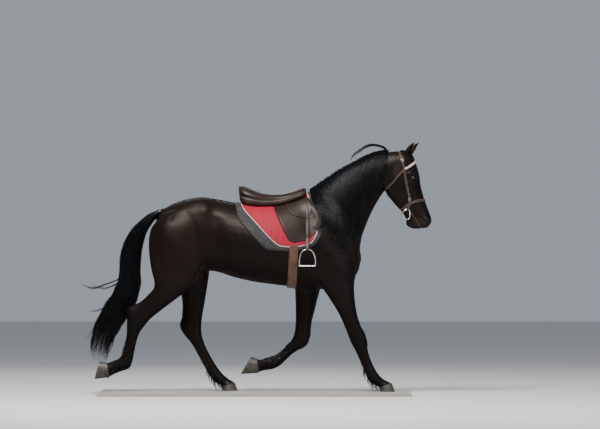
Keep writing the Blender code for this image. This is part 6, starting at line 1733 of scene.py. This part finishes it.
def strap_line(half_path, steps, closed=False):
    """Points and softened normals on the skin under a strap, mirrored to the left side."""
    path = smooth_rows(half_path, steps)
    path = np.vstack([path, (path * (1, -1, 1))[-2::-1]])
    points, normals = (np.array(found) for found in zip(*(nearest_skin(place(spot)) for spot in path)))
    if closed:
        points, normals = points[:-1], normals[:-1]
    for _ in range(10):
        points, normals = averaged(points, closed), averaged(normals, closed)
    return points, unit(normals)


def strap_frame(points, normals, closed):
    ahead = np.roll(points, -1, 0) - np.roll(points, 1, 0) if closed else np.gradient(points, axis=0)
    return unit(np.cross(unit(ahead), normals))


def bridle_strap(name, half_path, width, thick, closed=False, crown=0.0, low=0.0016):
    """A strap of the given width: low + thick high, plus a crown of 1 - c^2 over its middle."""
    points, normals = strap_line(half_path, 9, closed)
    side = strap_frame(points, normals, closed)
    c = np.linspace(-1, 1, 9)
    grid = points[:, None] + side[:, None] * (c * width / 2)[None, :, None]
    spread = np.repeat(normals[:, None], 9, 1)
    high = low + thick + crown * (1 - c**2)
    made = laid_sheet(name, grid, spread, low - 0.0012, high, 0.0016, wrap=closed)
    row = np.r_[0:len(points), 0] if closed else np.arange(len(points))
    for column in (1, 7):
        add_stitches("bridle", grid[row, column], spread[row, column], high[column] - 0.0001)
    return made, (points, normals, side)


def buckle(at, ahead, side, out, width, height):
    """A bent wire frame round the strap, its tongue and a keeper."""
    turn = circle(28)
    u = signed_power(np.cos(turn), 0.45) * width * 0.62
    v = signed_power(np.sin(turn), 0.45) * width * 0.52
    loop = at + side * u[:, None] + ahead * v[:, None] + out * height
    rise = height + 0.0012 + 0.001 * np.sin(np.linspace(0, 3, 8))
    tongue = at + ahead * np.linspace(-0.55, 0.6, 8)[:, None] * width + out * rise[:, None]
    return [cord_along("wire", loop, 0.0013, 8, True), cord_along("tongue", tongue, 0.0010, 8)]


def keeper(at, ahead, side, out, width, height):
    """A narrow loop of leather over the strap."""
    turn = circle(28)
    u = signed_power(np.cos(turn), 0.4) * width * 0.56
    w = signed_power(np.sin(turn), 0.6) * 0.0018
    loop = at + side * u[:, None] + out * (height * 0.62 + w[:, None])
    grid = loop[:, None] + ahead * (np.linspace(-1, 1, 5) * 0.0035)[None, :, None]
    away = unit(side * u[:, None] / width + out * w[:, None] / 0.0018)
    return laid_sheet("keeper", grid, np.repeat(away[:, None], 5, 1), 0.0002, 0.0016, 0.0008, wrap=True)


noseband, nose_line = bridle_strap("bridle_noseband", NOSEBAND, 0.021, 0.0034, closed=True, crown=0.0016)
headpiece, head_line = bridle_strap("bridle_headpiece", HEADPIECE[::-1], 0.0165, 0.0036, low=0.0022)
browband, _ = bridle_strap("bridle_browband", BROWBAND, 0.019, 0.0036, crown=0.0018, low=0.003)
throatlash, throat_line = bridle_strap("bridle_throatlash", THROATLASH, 0.0125, 0.0032)
BUCKLES = ((head_line, 0.13, 0.0165, 0.0056), (head_line, 0.37, 0.0165, 0.0060),
           (head_line, 0.63, 0.0165, 0.0060), (head_line, 0.87, 0.0165, 0.0056),
           (throat_line, 0.93, 0.0125, 0.0048), (nose_line, 0.46, 0.021, 0.0056))
metal_parts, keepers = [], []
for (points, normals, side), share, width, height in BUCKLES:
    row = int(share * (len(points) - 1))
    ahead = unit(points[row + 1] - points[row - 1])
    metal_parts += buckle(points[row], ahead, side[row], normals[row], width, height)
    for step in (3, 6):
        spot = min(len(points) - 2, row + step)
        ahead = unit(points[spot + 1] - points[spot - 1])
        keepers.append(keeper(points[spot], ahead, side[spot], normals[spot], width, height))
bridle_buckles = joined("bridle_buckles", metal_parts)
bridle_keepers = joined("bridle_keepers", keepers)

# %% [markdown]
# ## The bit
#
# A loose D ring on each side, with its straight bar against the lips, carries the mouthpiece. The
# rings are bars along a drawn line, and the sleeve on each bar is a short spindle.

# %% D-ring bit
RING_CLEAR, CHEEK_HALF, CHEEK_LOOP_AT, CHEEK_LOOP_RADIUS = 0.0085, 0.0078, (152.4, 181.6), 0.0066


def beside(x, z, y):
    """Points from side view squares, set at a y in metres."""
    x, z = np.broadcast_arrays(np.asarray(x, float), np.asarray(z, float))
    return place(np.stack([x, x * 0, z], -1)) + (0, y, 0)


ring_out = max(abs(cast_from(x, z, -1)[0][1]) for x, z in RING_LINE) + RING_CLEAR
half_length = np.linspace(-1, 1, 41)
mouthpiece = beside(*BIT_AT, 0) + np.array((0, ring_out, 0)) * half_length[:, None]
parts = [cord_along("mouthpiece", mouthpiece, BIT_RADIUS * (0.8 + 0.2 * half_length**2), 20)]
ring_shape = smooth_rows(RING_LINE + RING_LINE[:1], 8)[:-1]
for side in (-1, 1):
    parts.append(cord_along("ring", beside(*ring_shape.T, side * ring_out), RING_RADIUS, 14, True))
    sleeve = beside(154.5, np.linspace(173.6, 179.6, 16), side * ring_out)
    radius = 0.0052 + 0.0020 * np.sin(np.linspace(0, math.pi, 16)) ** 0.7
    parts.append(cord_along("sleeve", sleeve, radius, 16))
bit = joined("bit", parts)
loop_parts = []
for side in (-1, 1):
    centre = beside(*CHEEK_LOOP_AT, side * ring_out)
    turn = circle(24)[:, None]
    around = np.sin(turn) * np.array((0, 1.0, 0)) + np.cos(turn) * np.array((0, 0, 1.0))
    grid = ribbon(centre + CHEEK_LOOP_RADIUS * around, CHEEK_HALF, 7)
    away = np.repeat(around[:, None], 7, 1)
    loop_parts.append(laid_sheet("loop", grid, away, -0.0010, 0.0022, 0.0012, wrap=True))
    start, end = head_line[0][0 if side < 0 else -1], centre + (0, 0, 0.006)
    grid = ribbon(start + (end - start) * np.linspace(0, 1, 12)[:, None], CHEEK_HALF, 7)
    away = np.broadcast_to((0.0, side, 0), grid.shape)
    loop_parts.append(laid_sheet("fold", grid, away, 0.0, 0.0042, 0.0012))
cheek_loops = joined("bridle_cheek_loops", loop_parts)

# %% [markdown]
# ## Stitches
#
# Stitches are the small scale that tells the eye how large a strap is. All of them are one kind of
# body, a thin spindle, set at even steps along the rows noted above.

# %% Stitches in one mesh for each trade
stitch_pieces = {}
for group, rows in stitch_rows.items():
    spots, outs = (np.concatenate(column) for column in zip(*rows))
    roots = np.zeros((len(spots), 2))
    stitch_pieces[group] = lock_strands(f"stitches_{group}", spots, outs, 0.0, 0.0, 1, 0.00062, 3,
                                        wave=(0.0, 1.0), loose=0.0, shortest=1.0, roots_uv=roots)
# %% [markdown]
# ## Materials
#
# Every finish is worked out from positions, attributes or the piece's own flat coordinates, with no
# picture. A small helper adds a node and wires it, so that a finish reads as a list of its layers.

# %% Helpers for the finishes
def finish_of(name, colour, roughness, metallic=0.0, **constants):
    """A new material with a Principled shader, and the constants set on that shader's sockets."""
    made = bpy.data.materials.new(name)
    made.use_nodes = True
    made.diffuse_color = (*colour, 1)
    shader = made.node_tree.nodes["Principled BSDF"]
    shader.inputs["Base Color"].default_value = (*colour, 1)
    shader.inputs["Roughness"].default_value = roughness
    shader.inputs["Metallic"].default_value = metallic
    for socket, value in constants.items():
        shader.inputs[socket.replace("_", " ")].default_value = value
    return made, made.node_tree, shader


def add_node(tree, kind, settings=None, **sockets):
    """Adds a node. A socket is given a constant or is linked from another node's output."""
    made = tree.nodes.new(kind)
    for key, value in (settings or {}).items():
        setattr(made, key, value)
    for socket, value in sockets.items():
        by_number = socket[0] == "i" and socket[1:].isdigit()
        target = made.inputs[int(socket[1:]) if by_number else socket]
        if isinstance(value, bpy.types.NodeSocket):
            tree.links.new(value, target)
        else:
            target.default_value = value
    return made


def object_place(tree, stretch=(1, 1, 1)):
    """Object coordinates, stretched by a factor for each axis."""
    at = add_node(tree, "ShaderNodeTexCoord").outputs["Object"]
    return stretched(tree, at, stretch)


def stretched(tree, vector, stretch):
    return add_node(tree, "ShaderNodeMapping", Vector=vector, Scale=stretch).outputs[0]


def noise(tree, scale, detail=3.0, rough=0.5, stretch=(1, 1, 1), at=None):
    """Noise over the object's own coordinates, or over the vector given as at."""
    at = object_place(tree, stretch) if at is None else at
    made = add_node(tree, "ShaderNodeTexNoise", Vector=at, Scale=scale, Detail=detail, Roughness=rough)
    return made.outputs[0]


def mask(tree, value, low, high, first=0.0, last=1.0):
    """A grey ramp: the first grey up to low, and the last grey from high on."""
    made = add_node(tree, "ShaderNodeValToRGB", Fac=value)
    for element, position, grey in zip(made.color_ramp.elements, (low, high), (first, last)):
        element.position, element.color = position, (grey, grey, grey, 1)
    return made.outputs[0]


def mix(tree, share, a, b):
    """Colour a where the share is 0 and colour b where it is 1."""
    made = add_node(tree, "ShaderNodeMix", {"data_type": "RGBA"}, i0=share)
    for index, value in ((6, a), (7, b)):
        if isinstance(value, bpy.types.NodeSocket):
            tree.links.new(value, made.inputs[index])
        else:
            made.inputs[index].default_value = (*value, 1)
    return made.outputs[2]


def between(tree, value, low, high):
    """The value's range 0 to 1 mapped to low to high."""
    return add_node(tree, "ShaderNodeMapRange", i0=value, i3=low, i4=high).outputs[0]


def times(tree, a, b, operation="MULTIPLY"):
    return add_node(tree, "ShaderNodeMath", {"operation": operation}, i0=a, i1=b).outputs[0]


def plus(tree, a, b):
    return times(tree, a, b, "ADD")


def channels(tree, name):
    """Red, green and blue of a vertex attribute."""
    layer = add_node(tree, "ShaderNodeAttribute", {"attribute_name": name})
    return add_node(tree, "ShaderNodeSeparateColor", i0=layer.outputs["Color"]).outputs

def bump(tree, shader, height, strength, distance, under=None):
    """Wires a bump into the shader. One that lies under it, finer or coarser, is added to it."""
    made = add_node(tree, "ShaderNodeBump", Height=height, Strength=strength, Distance=distance)
    if under is not None:
        tree.links.new(under, made.inputs["Normal"])
    tree.links.new(made.outputs[0], shader.inputs["Normal"])
    return made.outputs[0]


def wire(tree, output, shader, socket):
    tree.links.new(output, shader.inputs[socket])


# %% [markdown]
# ## The black coat
#
# A black horse in summer is a very dark brown with a glossy film of hair: light runs over it in
# broad soft bands, warm on the body and cooler on the legs. The hair's grain is noise stretched
# along the lie of the coat. Flat black would hide every muscle that the skin was modelled with.

# %% Coat and hair
COAT_BROWN, COAT_BLACK = (0.0030, 0.0019, 0.0015), (0.0012, 0.0011, 0.0011)
COAT_WARM_SHEEN = (0.0085, 0.0042, 0.0028)
BARE_SKIN, ROSY_SKIN, DUST = (0.0075, 0.0060, 0.0056), (0.115, 0.062, 0.045), (0.060, 0.042, 0.027)
GRAIN_ON_BODY, GRAIN_ON_LEGS = (39, 287, 173), (241, 263, 37)
DUST_HEIGHTS, DUST_SHARE = (0.03, 0.36), 0.22


def coat_finish(name, grain_strength):
    """Brown with patches of painted warm sheen, a black grain, bare skin at eye and muzzle, and dust on the
    feet.
    """
    made, tree, shader = finish_of(name, COAT_BROWN, 0.4, Coat_Weight=0.03, Coat_Roughness=0.28,
                                   Specular_IOR_Level=0.11, Specular_Tint=(1.0, 0.86, 0.78, 1))
    marks = channels(tree, "marks")
    along = add_node(tree, "ShaderNodeMix", {"data_type": "VECTOR"}, i0=marks[0],
                     i4=object_place(tree, GRAIN_ON_BODY), i5=object_place(tree, GRAIN_ON_LEGS)).outputs[1]
    grain = noise(tree, 1.0, 4.0, 0.6, at=along)
    patches = noise(tree, 2.6)
    # Warm patches at random places: painted warm sheen.
    brown = mix(tree, mask(tree, patches, 0.38, 0.7), COAT_BROWN, COAT_WARM_SHEEN)
    brown = mix(tree, times(tree, grain, 0.55), brown, COAT_BLACK)
    # Red mark: black legs, and painted shade inside the nostrils.
    colour = mix(tree, marks[0], brown, COAT_BLACK)
    colour = mix(tree, marks[1], colour, BARE_SKIN)
    colour = mix(tree, times(tree, marks[2], 0.5), colour, ROSY_SKIN)
    at = add_node(tree, "ShaderNodeTexCoord").outputs["Object"]
    height = add_node(tree, "ShaderNodeSeparateXYZ", i0=at).outputs[2]
    low = add_node(tree, "ShaderNodeMapRange", i0=height, i1=DUST_HEIGHTS[0], i2=DUST_HEIGHTS[1], i3=1.0,
                   i4=0.0).outputs[0]
    specks = mask(tree, noise(tree, 60.0, 5.0, 0.7), 0.48, 0.75)
    colour = mix(tree, times(tree, times(tree, low, DUST_SHARE), specks), colour, DUST)
    wire(tree, colour, shader, "Base Color")
    gloss = plus(tree, between(tree, patches, 0.42, 0.54), between(tree, grain, -0.05, 0.07))
    wire(tree, plus(tree, gloss, times(tree, marks[1], 0.12)), shader, "Roughness")
    first = bump(tree, shader, grain, grain_strength, 0.0012)
    bump(tree, shader, noise(tree, 900.0, 2.0), 0.12, 0.0003, first)
    return made


def hair_finish(name, root, tip, cool_sheen, roughness):
    """Strands: a tone for each that mixes in a painted cool sheen, a browner tip, and cool-tinted
    reflections.
    """
    made, tree, shader = finish_of(name, root, roughness, Specular_IOR_Level=0.30,
                                   Specular_Tint=(0.86, 0.93, 1.0, 1))
    tone, share, own = channels(tree, "strand")[:3]
    # The cool colour mixed in by each strand's tone is painted cool sheen.
    colour = mix(tree, times(tree, tone, 0.9), root, cool_sheen)
    colour = mix(tree, times(tree, times(tree, share, own), 0.6), colour, tip)
    wire(tree, colour, shader, "Base Color")
    wire(tree, between(tree, own, roughness - 0.06, roughness + 0.1), shader, "Roughness")
    bump(tree, shader, noise(tree, 1.0, stretch=(500, 500, 120)), 0.35, 0.0004)
    return made


coat_look = coat_finish("coat_black_brown", 0.5)
tuft_look = coat_finish("coat_tufts", 0.15)
mane_look = hair_finish("mane_black", (0.0009, 0.0009, 0.0010), (0.0060, 0.0038, 0.0026),
                        (0.0022, 0.0023, 0.0030), 0.27)
feather_look = hair_finish("feather_black", (0.0010, 0.0009, 0.0009), (0.0070, 0.0046, 0.0031),
                           (0.0024, 0.0023, 0.0025), 0.34)


# %% Hoof, eye and metal
HORN_DARK, HORN_PALE, HORN_WORN = (0.014, 0.0125, 0.012), (0.062, 0.053, 0.046), (0.10, 0.086, 0.072)
SOLE_DARK, SOLE_PALE, FROG_DARK = (0.20, 0.125, 0.07), (0.38, 0.27, 0.17), (0.10, 0.072, 0.05)
IRIS_DARK, IRIS_PALE, PUPIL = (0.0065, 0.0028, 0.0012), (0.034, 0.0145, 0.0055), (0.0015, 0.0016, 0.003)
EYE_RIM, EYE_WHITE = (0.012, 0.008, 0.006), (0.30, 0.20, 0.17)


def hoof_finish():
    """Wall: grey horn with vertical streaks and rings. Under it: tan sole with a darker frog."""
    made, tree, shader = finish_of("hoof_horn", (0.06, 0.052, 0.046), 0.5)
    marks = channels(tree, "hoof")
    streaks = noise(tree, 1.0, 4.0, 0.6, (420, 420, 30))
    patches = noise(tree, 26.0, 4.0)
    wall = mix(tree, mask(tree, streaks, 0.3, 0.75), HORN_DARK, HORN_PALE)
    wall = mix(tree, mask(tree, patches, 0.5, 0.78), wall, HORN_WORN)
    sole = mix(tree, patches, SOLE_DARK, SOLE_PALE)
    sole = mix(tree, times(tree, marks[2], 0.55), sole, FROG_DARK)
    wire(tree, mix(tree, marks[1], wall, sole), shader, "Base Color")
    gloss = plus(tree, between(tree, streaks, 0.38, 0.6), times(tree, marks[1], 0.25))
    wire(tree, gloss, shader, "Roughness")
    bump(tree, shader, plus(tree, streaks, times(tree, patches, 1.5)), 0.4, 0.0006)
    return made


def vector_node(tree, operation, **sockets):
    return add_node(tree, "ShaderNodeVectorMath", {"operation": operation}, **sockets).outputs


def eye_finish():
    """Brown iris with radial fibres round a wide level pupil, white only at the corners, wet film."""
    made, tree, shader = finish_of("eye_wet", (0.02, 0.01, 0.006), 0.06, Coat_Weight=1.0, Coat_Roughness=0.02,
                                   IOR=1.38)
    layer = add_node(tree, "ShaderNodeAttribute", {"attribute_name": "eye"})
    centred = vector_node(tree, "SUBTRACT", i0=layer.outputs["Color"], i1=(0.5, 0.5, 0.0))[0]
    split = add_node(tree, "ShaderNodeSeparateXYZ", i0=centred).outputs
    flat = add_node(tree, "ShaderNodeCombineXYZ", i0=split[0], i1=split[1], i2=0.0).outputs[0]
    away = vector_node(tree, "LENGTH", i0=flat)[1]
    tilt = add_node(tree, "ShaderNodeMapping", Vector=flat, Rotation=(0, 0, 0.35)).outputs[0]
    pupil = vector_node(tree, "LENGTH", i0=stretched(tree, tilt, (0.62, 1.25, 1.0)))[1]
    fibres = noise(tree, 1.2, 4.0, 0.7, at=stretched(tree, flat, (60, 60, 60)))
    iris = mix(tree, fibres, IRIS_DARK, IRIS_PALE)
    colour = mix(tree, mask(tree, pupil, 0.085, 0.105, 1, 0), iris, PUPIL)
    colour = mix(tree, mask(tree, away, 0.26, 0.32), colour, EYE_RIM)
    colour = mix(tree, mask(tree, away, 0.35, 0.40), colour, EYE_WHITE)
    wire(tree, colour, shader, "Base Color")
    return made


def metal_finish(name, colour, roughness):
    """Polished steel with fine scratches and handling marks."""
    made, tree, shader = finish_of(name, colour, roughness, 1.0)
    marks = noise(tree, 70.0, 5.0, 0.6)
    scratches = noise(tree, 1.0, 2.0, stretch=(900, 60, 900))
    gloss = between(tree, marks, roughness * 0.5, roughness * 1.6)
    gloss = plus(tree, gloss, between(tree, scratches, -0.03, 0.05))
    wire(tree, gloss, shader, "Roughness")
    handled = mix(tree, mask(tree, marks, 0.45, 0.8), colour, tuple(c * 0.7 for c in colour))
    wire(tree, handled, shader, "Base Color")
    bump(tree, shader, scratches, 0.08, 0.0002)
    return made


hoof_look, eye_look = hoof_finish(), eye_finish()
steel_look = metal_finish("steel_polished", (0.66, 0.65, 0.63), 0.2)
buckle_look = metal_finish("steel_buckles", (0.60, 0.585, 0.56), 0.26)


# %% [markdown]
# ## Leather and cloth
#
# Saddle leather is brown, waxed and worn lighter where legs rub. The pad is quilted satin cloth, a
# sparkling tweed and a black binding. Cloth patterns use the piece's own coordinates in metres, so
# that a thread is as large as a real one.

# %% Leather, cloth, rubber and base
def leather_finish(name, dark, light, roughness, pebble=1.0):
    """Worn patches over a dark leather, with creases and a pebbled grain of cells."""
    made, tree, shader = finish_of(name, dark, roughness, Coat_Weight=0.05, Coat_Roughness=0.32,
                                   Specular_IOR_Level=0.24)
    wear, creases = noise(tree, 9.0, 5.0, 0.6), noise(tree, 160.0, 4.0, 0.65)
    pores = add_node(tree, "ShaderNodeTexVoronoi", {"feature": "DISTANCE_TO_EDGE"}, Vector=object_place(tree),
                     Scale=620.0).outputs[0]
    colour = mix(tree, mask(tree, wear, 0.35, 0.72), dark, light)
    colour = mix(tree, mask(tree, creases, 0.30, 0.5, 0.5, 0), colour, tuple(c * 0.4 for c in dark))
    wire(tree, colour, shader, "Base Color")
    gloss = between(tree, wear, roughness + 0.12, roughness - 0.08)
    gloss = plus(tree, gloss, between(tree, creases, -0.04, 0.06))
    wire(tree, gloss, shader, "Roughness")
    first = bump(tree, shader, pores, 0.25 * pebble, 0.0004)
    bump(tree, shader, creases, 0.2 * pebble, 0.0006, first)
    return made


def threads(tree, flat, direction, scale, distortion):
    """Bands of light and dark across flat coordinates in metres."""
    return add_node(tree, "ShaderNodeTexWave", {"bands_direction": direction}, Vector=flat, Scale=scale,
                    Distortion=distortion).outputs[1]


def cloth_finish(name, colour, shade, count, roughness=0.85, sheen=0.4, seam=False):
    """Woven threads: two crossed wave textures on the piece's flat coordinates. With seam, the quilting seams
    get painted shade and puckers.
    """
    made, tree, shader = finish_of(name, colour, roughness, Sheen_Weight=sheen, Sheen_Roughness=0.4,
                                   Specular_IOR_Level=0.25)
    flat = add_node(tree, "ShaderNodeTexCoord").outputs["UV"]
    weave = times(tree, threads(tree, flat, "X", count, 0.4), threads(tree, flat, "Y", count, 0.4))
    tone = mix(tree, weave, shade, colour)
    tone = mix(tree, mask(tree, noise(tree, 16.0, 4.0), 0.45, 0.8, 0, 0.35), tone, shade)
    first = bump(tree, shader, weave, 0.35, 0.0005)
    if seam:
        puff_for_seam_shade = channels(tree, "seam")[0]
        # Painted shade along the quilting seams, where the puff is low.
        tone = mix(tree, mask(tree, puff_for_seam_shade, 0.0, 0.45, 1, 0), tone, tuple(c * 0.35 for c in shade))
        puckers = noise(tree, 1.0, 2.0, at=stretched(tree, flat, (420, 60, 1)))
        bump(tree, shader, puckers, 0.3, 0.001, first)
    wire(tree, tone, shader, "Base Color")
    return made


def tweed_finish():
    """Grey tweed: a herringbone of light and dark threads with scattered bright flecks."""
    made, tree, shader = finish_of("pad_tweed", (0.10, 0.10, 0.105), 0.8, Specular_IOR_Level=0.25)
    flat = add_node(tree, "ShaderNodeTexCoord").outputs["UV"]
    weave = times(tree, threads(tree, flat, "DIAGONAL", 150.0, 0.6), threads(tree, flat, "X", 210.0, 0.8))
    salt = noise(tree, 1.0, 2.0, at=stretched(tree, flat, (900, 900, 1)))
    flecks = noise(tree, 1.0, 1.0, at=stretched(tree, flat, (420, 420, 1)))
    tone = mix(tree, weave, (0.006, 0.0062, 0.0072), (0.058, 0.056, 0.056))
    tone = mix(tree, mask(tree, salt, 0.4, 0.65, 0, 0.8), tone, (0.013, 0.0135, 0.0145))
    tone = mix(tree, mask(tree, flecks, 0.66, 0.70), tone, (0.46, 0.45, 0.44))
    wire(tree, tone, shader, "Base Color")
    bump(tree, shader, salt, 0.5, 0.0007)
    return made


def base_finish():
    """Display base: fine pale mineral board with dark grit and soft clouds."""
    made, tree, shader = finish_of("base_board", (0.32, 0.30, 0.28), 0.6)
    grit, clouds = noise(tree, 260.0, 4.0, 0.7), noise(tree, 3.0, 5.0, 0.6)
    tone = mix(tree, clouds, (0.235, 0.215, 0.195), (0.36, 0.335, 0.31))
    tone = mix(tree, mask(tree, grit, 0.55, 0.75, 0, 0.5), tone, (0.14, 0.13, 0.12))
    wire(tree, tone, shader, "Base Color")
    wire(tree, between(tree, clouds, 0.5, 0.7), shader, "Roughness")
    bump(tree, shader, grit, 0.25, 0.0006)
    return made


LEATHERS = {
    "saddle_leather": ((0.0085, 0.0034, 0.0022), (0.025, 0.0105, 0.0064), 0.42),
    "panel_leather": ((0.012, 0.0054, 0.0036), (0.030, 0.0140, 0.0088), 0.48),
    "strap_leather": ((0.022, 0.0090, 0.0062), (0.058, 0.026, 0.018), 0.40, 0.6),
    "band_leather": ((0.42, 0.32, 0.235), (0.62, 0.52, 0.41), 0.42, 0.5),
    "girth_leather": ((0.062, 0.031, 0.018), (0.135, 0.074, 0.044), 0.52),
}
CLOTHS = {
    # True on the crimson turns on painted shade along its quilting seams.
    "pad_crimson": ((0.430, 0.0045, 0.0310), (0.220, 0.0022, 0.0155), 520.0, 0.60, 0.04, True),
    "pad_piping": ((0.80, 0.79, 0.77), (0.55, 0.54, 0.53), 300.0, 0.6, 0.2),
    "pad_binding": ((0.018, 0.018, 0.02), (0.006, 0.006, 0.007), 300.0, 0.7, 0.3),
    "thread_pale": ((0.62, 0.56, 0.46), (0.40, 0.35, 0.28), 900.0, 0.6, 0.1),
    "thread_brown": ((0.16, 0.10, 0.06), (0.08, 0.05, 0.03), 900.0, 0.6, 0.1),
}
looks = {name: leather_finish(name, *values) for name, values in LEATHERS.items()}
looks |= {name: cloth_finish(name, *values) for name, values in CLOTHS.items()}
rubber_look = finish_of("stirrup_rubber", (0.02, 0.02, 0.021), 0.75)[0]
# The punch holes' near-black is painted shade.
hole_shade_look = finish_of("punched_hole_shade", (0.004, 0.003, 0.003), 0.9)[0]
tweed_look, base_look = tweed_finish(), base_finish()

# %% [markdown]
# ## Which surface stands for which solid
#
# Each finished piece rides the one fixed body and hides the CAD nodes that it stands for: the node
# of its own name, or those of the short list. The base keeps its own solid and only gets a better
# finish.

# %% Assign pieces to finishes and nodes
FLESH = ("torso", "neck", "head", "fore_right_forearm", "fore_left_forearm", "fore_right_cannon",
         "fore_left_cannon", "hind_right_gaskin", "hind_left_gaskin", "hind_right_cannon", "hind_left_cannon")
OTHER_NODES = {"skin": FLESH, "hair_tail_1": ("tail", "tail_lower"), "hair_tail_wisps": ("tail_wisp",),
               "pad_tweed_border": ("saddle_pad",), "girth_band": ("girth",)}
LOOKS = (
    (coat_look, "coat", [skin, *ears]),
    (tuft_look, "coat", tuft_pieces),
    (eye_look, "eye", eyeballs),
    (feather_look, "hair", [ear_hair, feathers]),
    (mane_look, "hair", [*mane_pieces, flying_mane, forelock, lashes, tail_dock, *tail_pieces, tail_wisps]),
    (hoof_look, "hoof", hooves),
    (tweed_look, "pad", [pad_border]),
    (looks["pad_crimson"], "pad", [quilt]),
    (looks["pad_piping"], "pad", [pad_piping]),
    (looks["pad_binding"], "pad", [pad_binding]),
    (looks["saddle_leather"], "leather", [seat, saddle_welts, *flaps, *skirts]),
    (looks["panel_leather"], "leather", [saddle_panels]),
    (looks["strap_leather"], "leather",
     [*leathers, headpiece, noseband, throatlash, cheek_loops, bridle_keepers]),
    (looks["band_leather"], "band", [browband]),
    (looks["girth_leather"], "girth", [girth_band]),
    (looks["thread_brown"], "leather", [stitch_pieces["saddle"]]),
    (looks["thread_pale"], "leather", [stitch_pieces["bridle"]]),
    (looks["thread_pale"], "girth", [stitch_pieces["girth"]]),
    (hole_shade_look, "leather", [leather_hole_shades]),
    (steel_look, "iron", [*irons, bit]),
    (rubber_look, "iron", rubbers),
    (buckle_look, "iron", [bridle_buckles]),
)
for look, slot, pieces in LOOKS:
    for piece in pieces:
        name = piece.name.split(".")[0]
        nodes = OTHER_NODES.get(name, (name,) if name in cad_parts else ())
        piece.data.materials.clear()
        piece.data.materials.append(look)
        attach(piece, "root")
        if nodes:
            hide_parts(*nodes)
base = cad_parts["stand_base"]
base.material_slots[0].material = base_look
print("pieces:", sum(len(pieces) for _, _, pieces in LOOKS))

# %% [markdown]
# ## Stage
#
# A long lens far away keeps the side view as flat as the photograph. One large soft light comes
# from above and in front like open sky, and a second, weaker one opens the shadows.

# %% Camera, light and floor
CAMERA_FAR, CAMERA_AT, HORIZON_RISE, CAMERA_LENS = 27.0, (0.36, 0.982), 57.5 * SQUARE, 202.5
camera = new_object("camera", bpy.data.cameras.new("camera"))
camera.data.lens = CAMERA_LENS
camera.location = (CAMERA_AT[0], -CAMERA_FAR, CAMERA_AT[1])
camera.rotation_euler = (math.radians(90) + math.atan(HORIZON_RISE / CAMERA_FAR), 0, 0)
bpy.context.scene.camera = camera


def area_light(name, at, aim, size, power, colour):
    """A square lamp at a place, turned so that it looks at an aim."""
    lamp = new_object(name, bpy.data.lights.new(name, "AREA"))
    lamp.data.size, lamp.data.energy, lamp.data.color = size, power, colour
    lamp.location = at
    lamp.rotation_euler = (Vector(aim) - Vector(at)).to_track_quat("-Z", "Y").to_euler()


area_light("key", (-0.8, -4.2, 6.4), (0, 0, 1.0), 2.2, 980, (1.0, 0.97, 0.92))
area_light("fill", (5.0, -5.5, 2.5), (0.4, 0, 1.1), 3.0, 130, (0.88, 0.94, 1.0))
area_light("back", (-1.0, 5.5, 5.0), (0, 0, 1.1), 3.0, 110, (0.92, 0.96, 1.0))
world = bpy.data.worlds.new("pale sky")
bpy.context.scene.world = world
world.use_nodes = True
world.node_tree.nodes["Background"].inputs[0].default_value = (0.78, 0.85, 0.95, 1)
world.node_tree.nodes["Background"].inputs[1].default_value = 0.42
floor = mesh_piece("floor", [(-40, -30, 0), (40, -30, 0), (40, 40, 0), (-40, 40, 0)], [(0, 1, 2, 3)])
floor.data.materials.append(finish_of("floor_pale", (0.62, 0.62, 0.61), 0.85)[0])
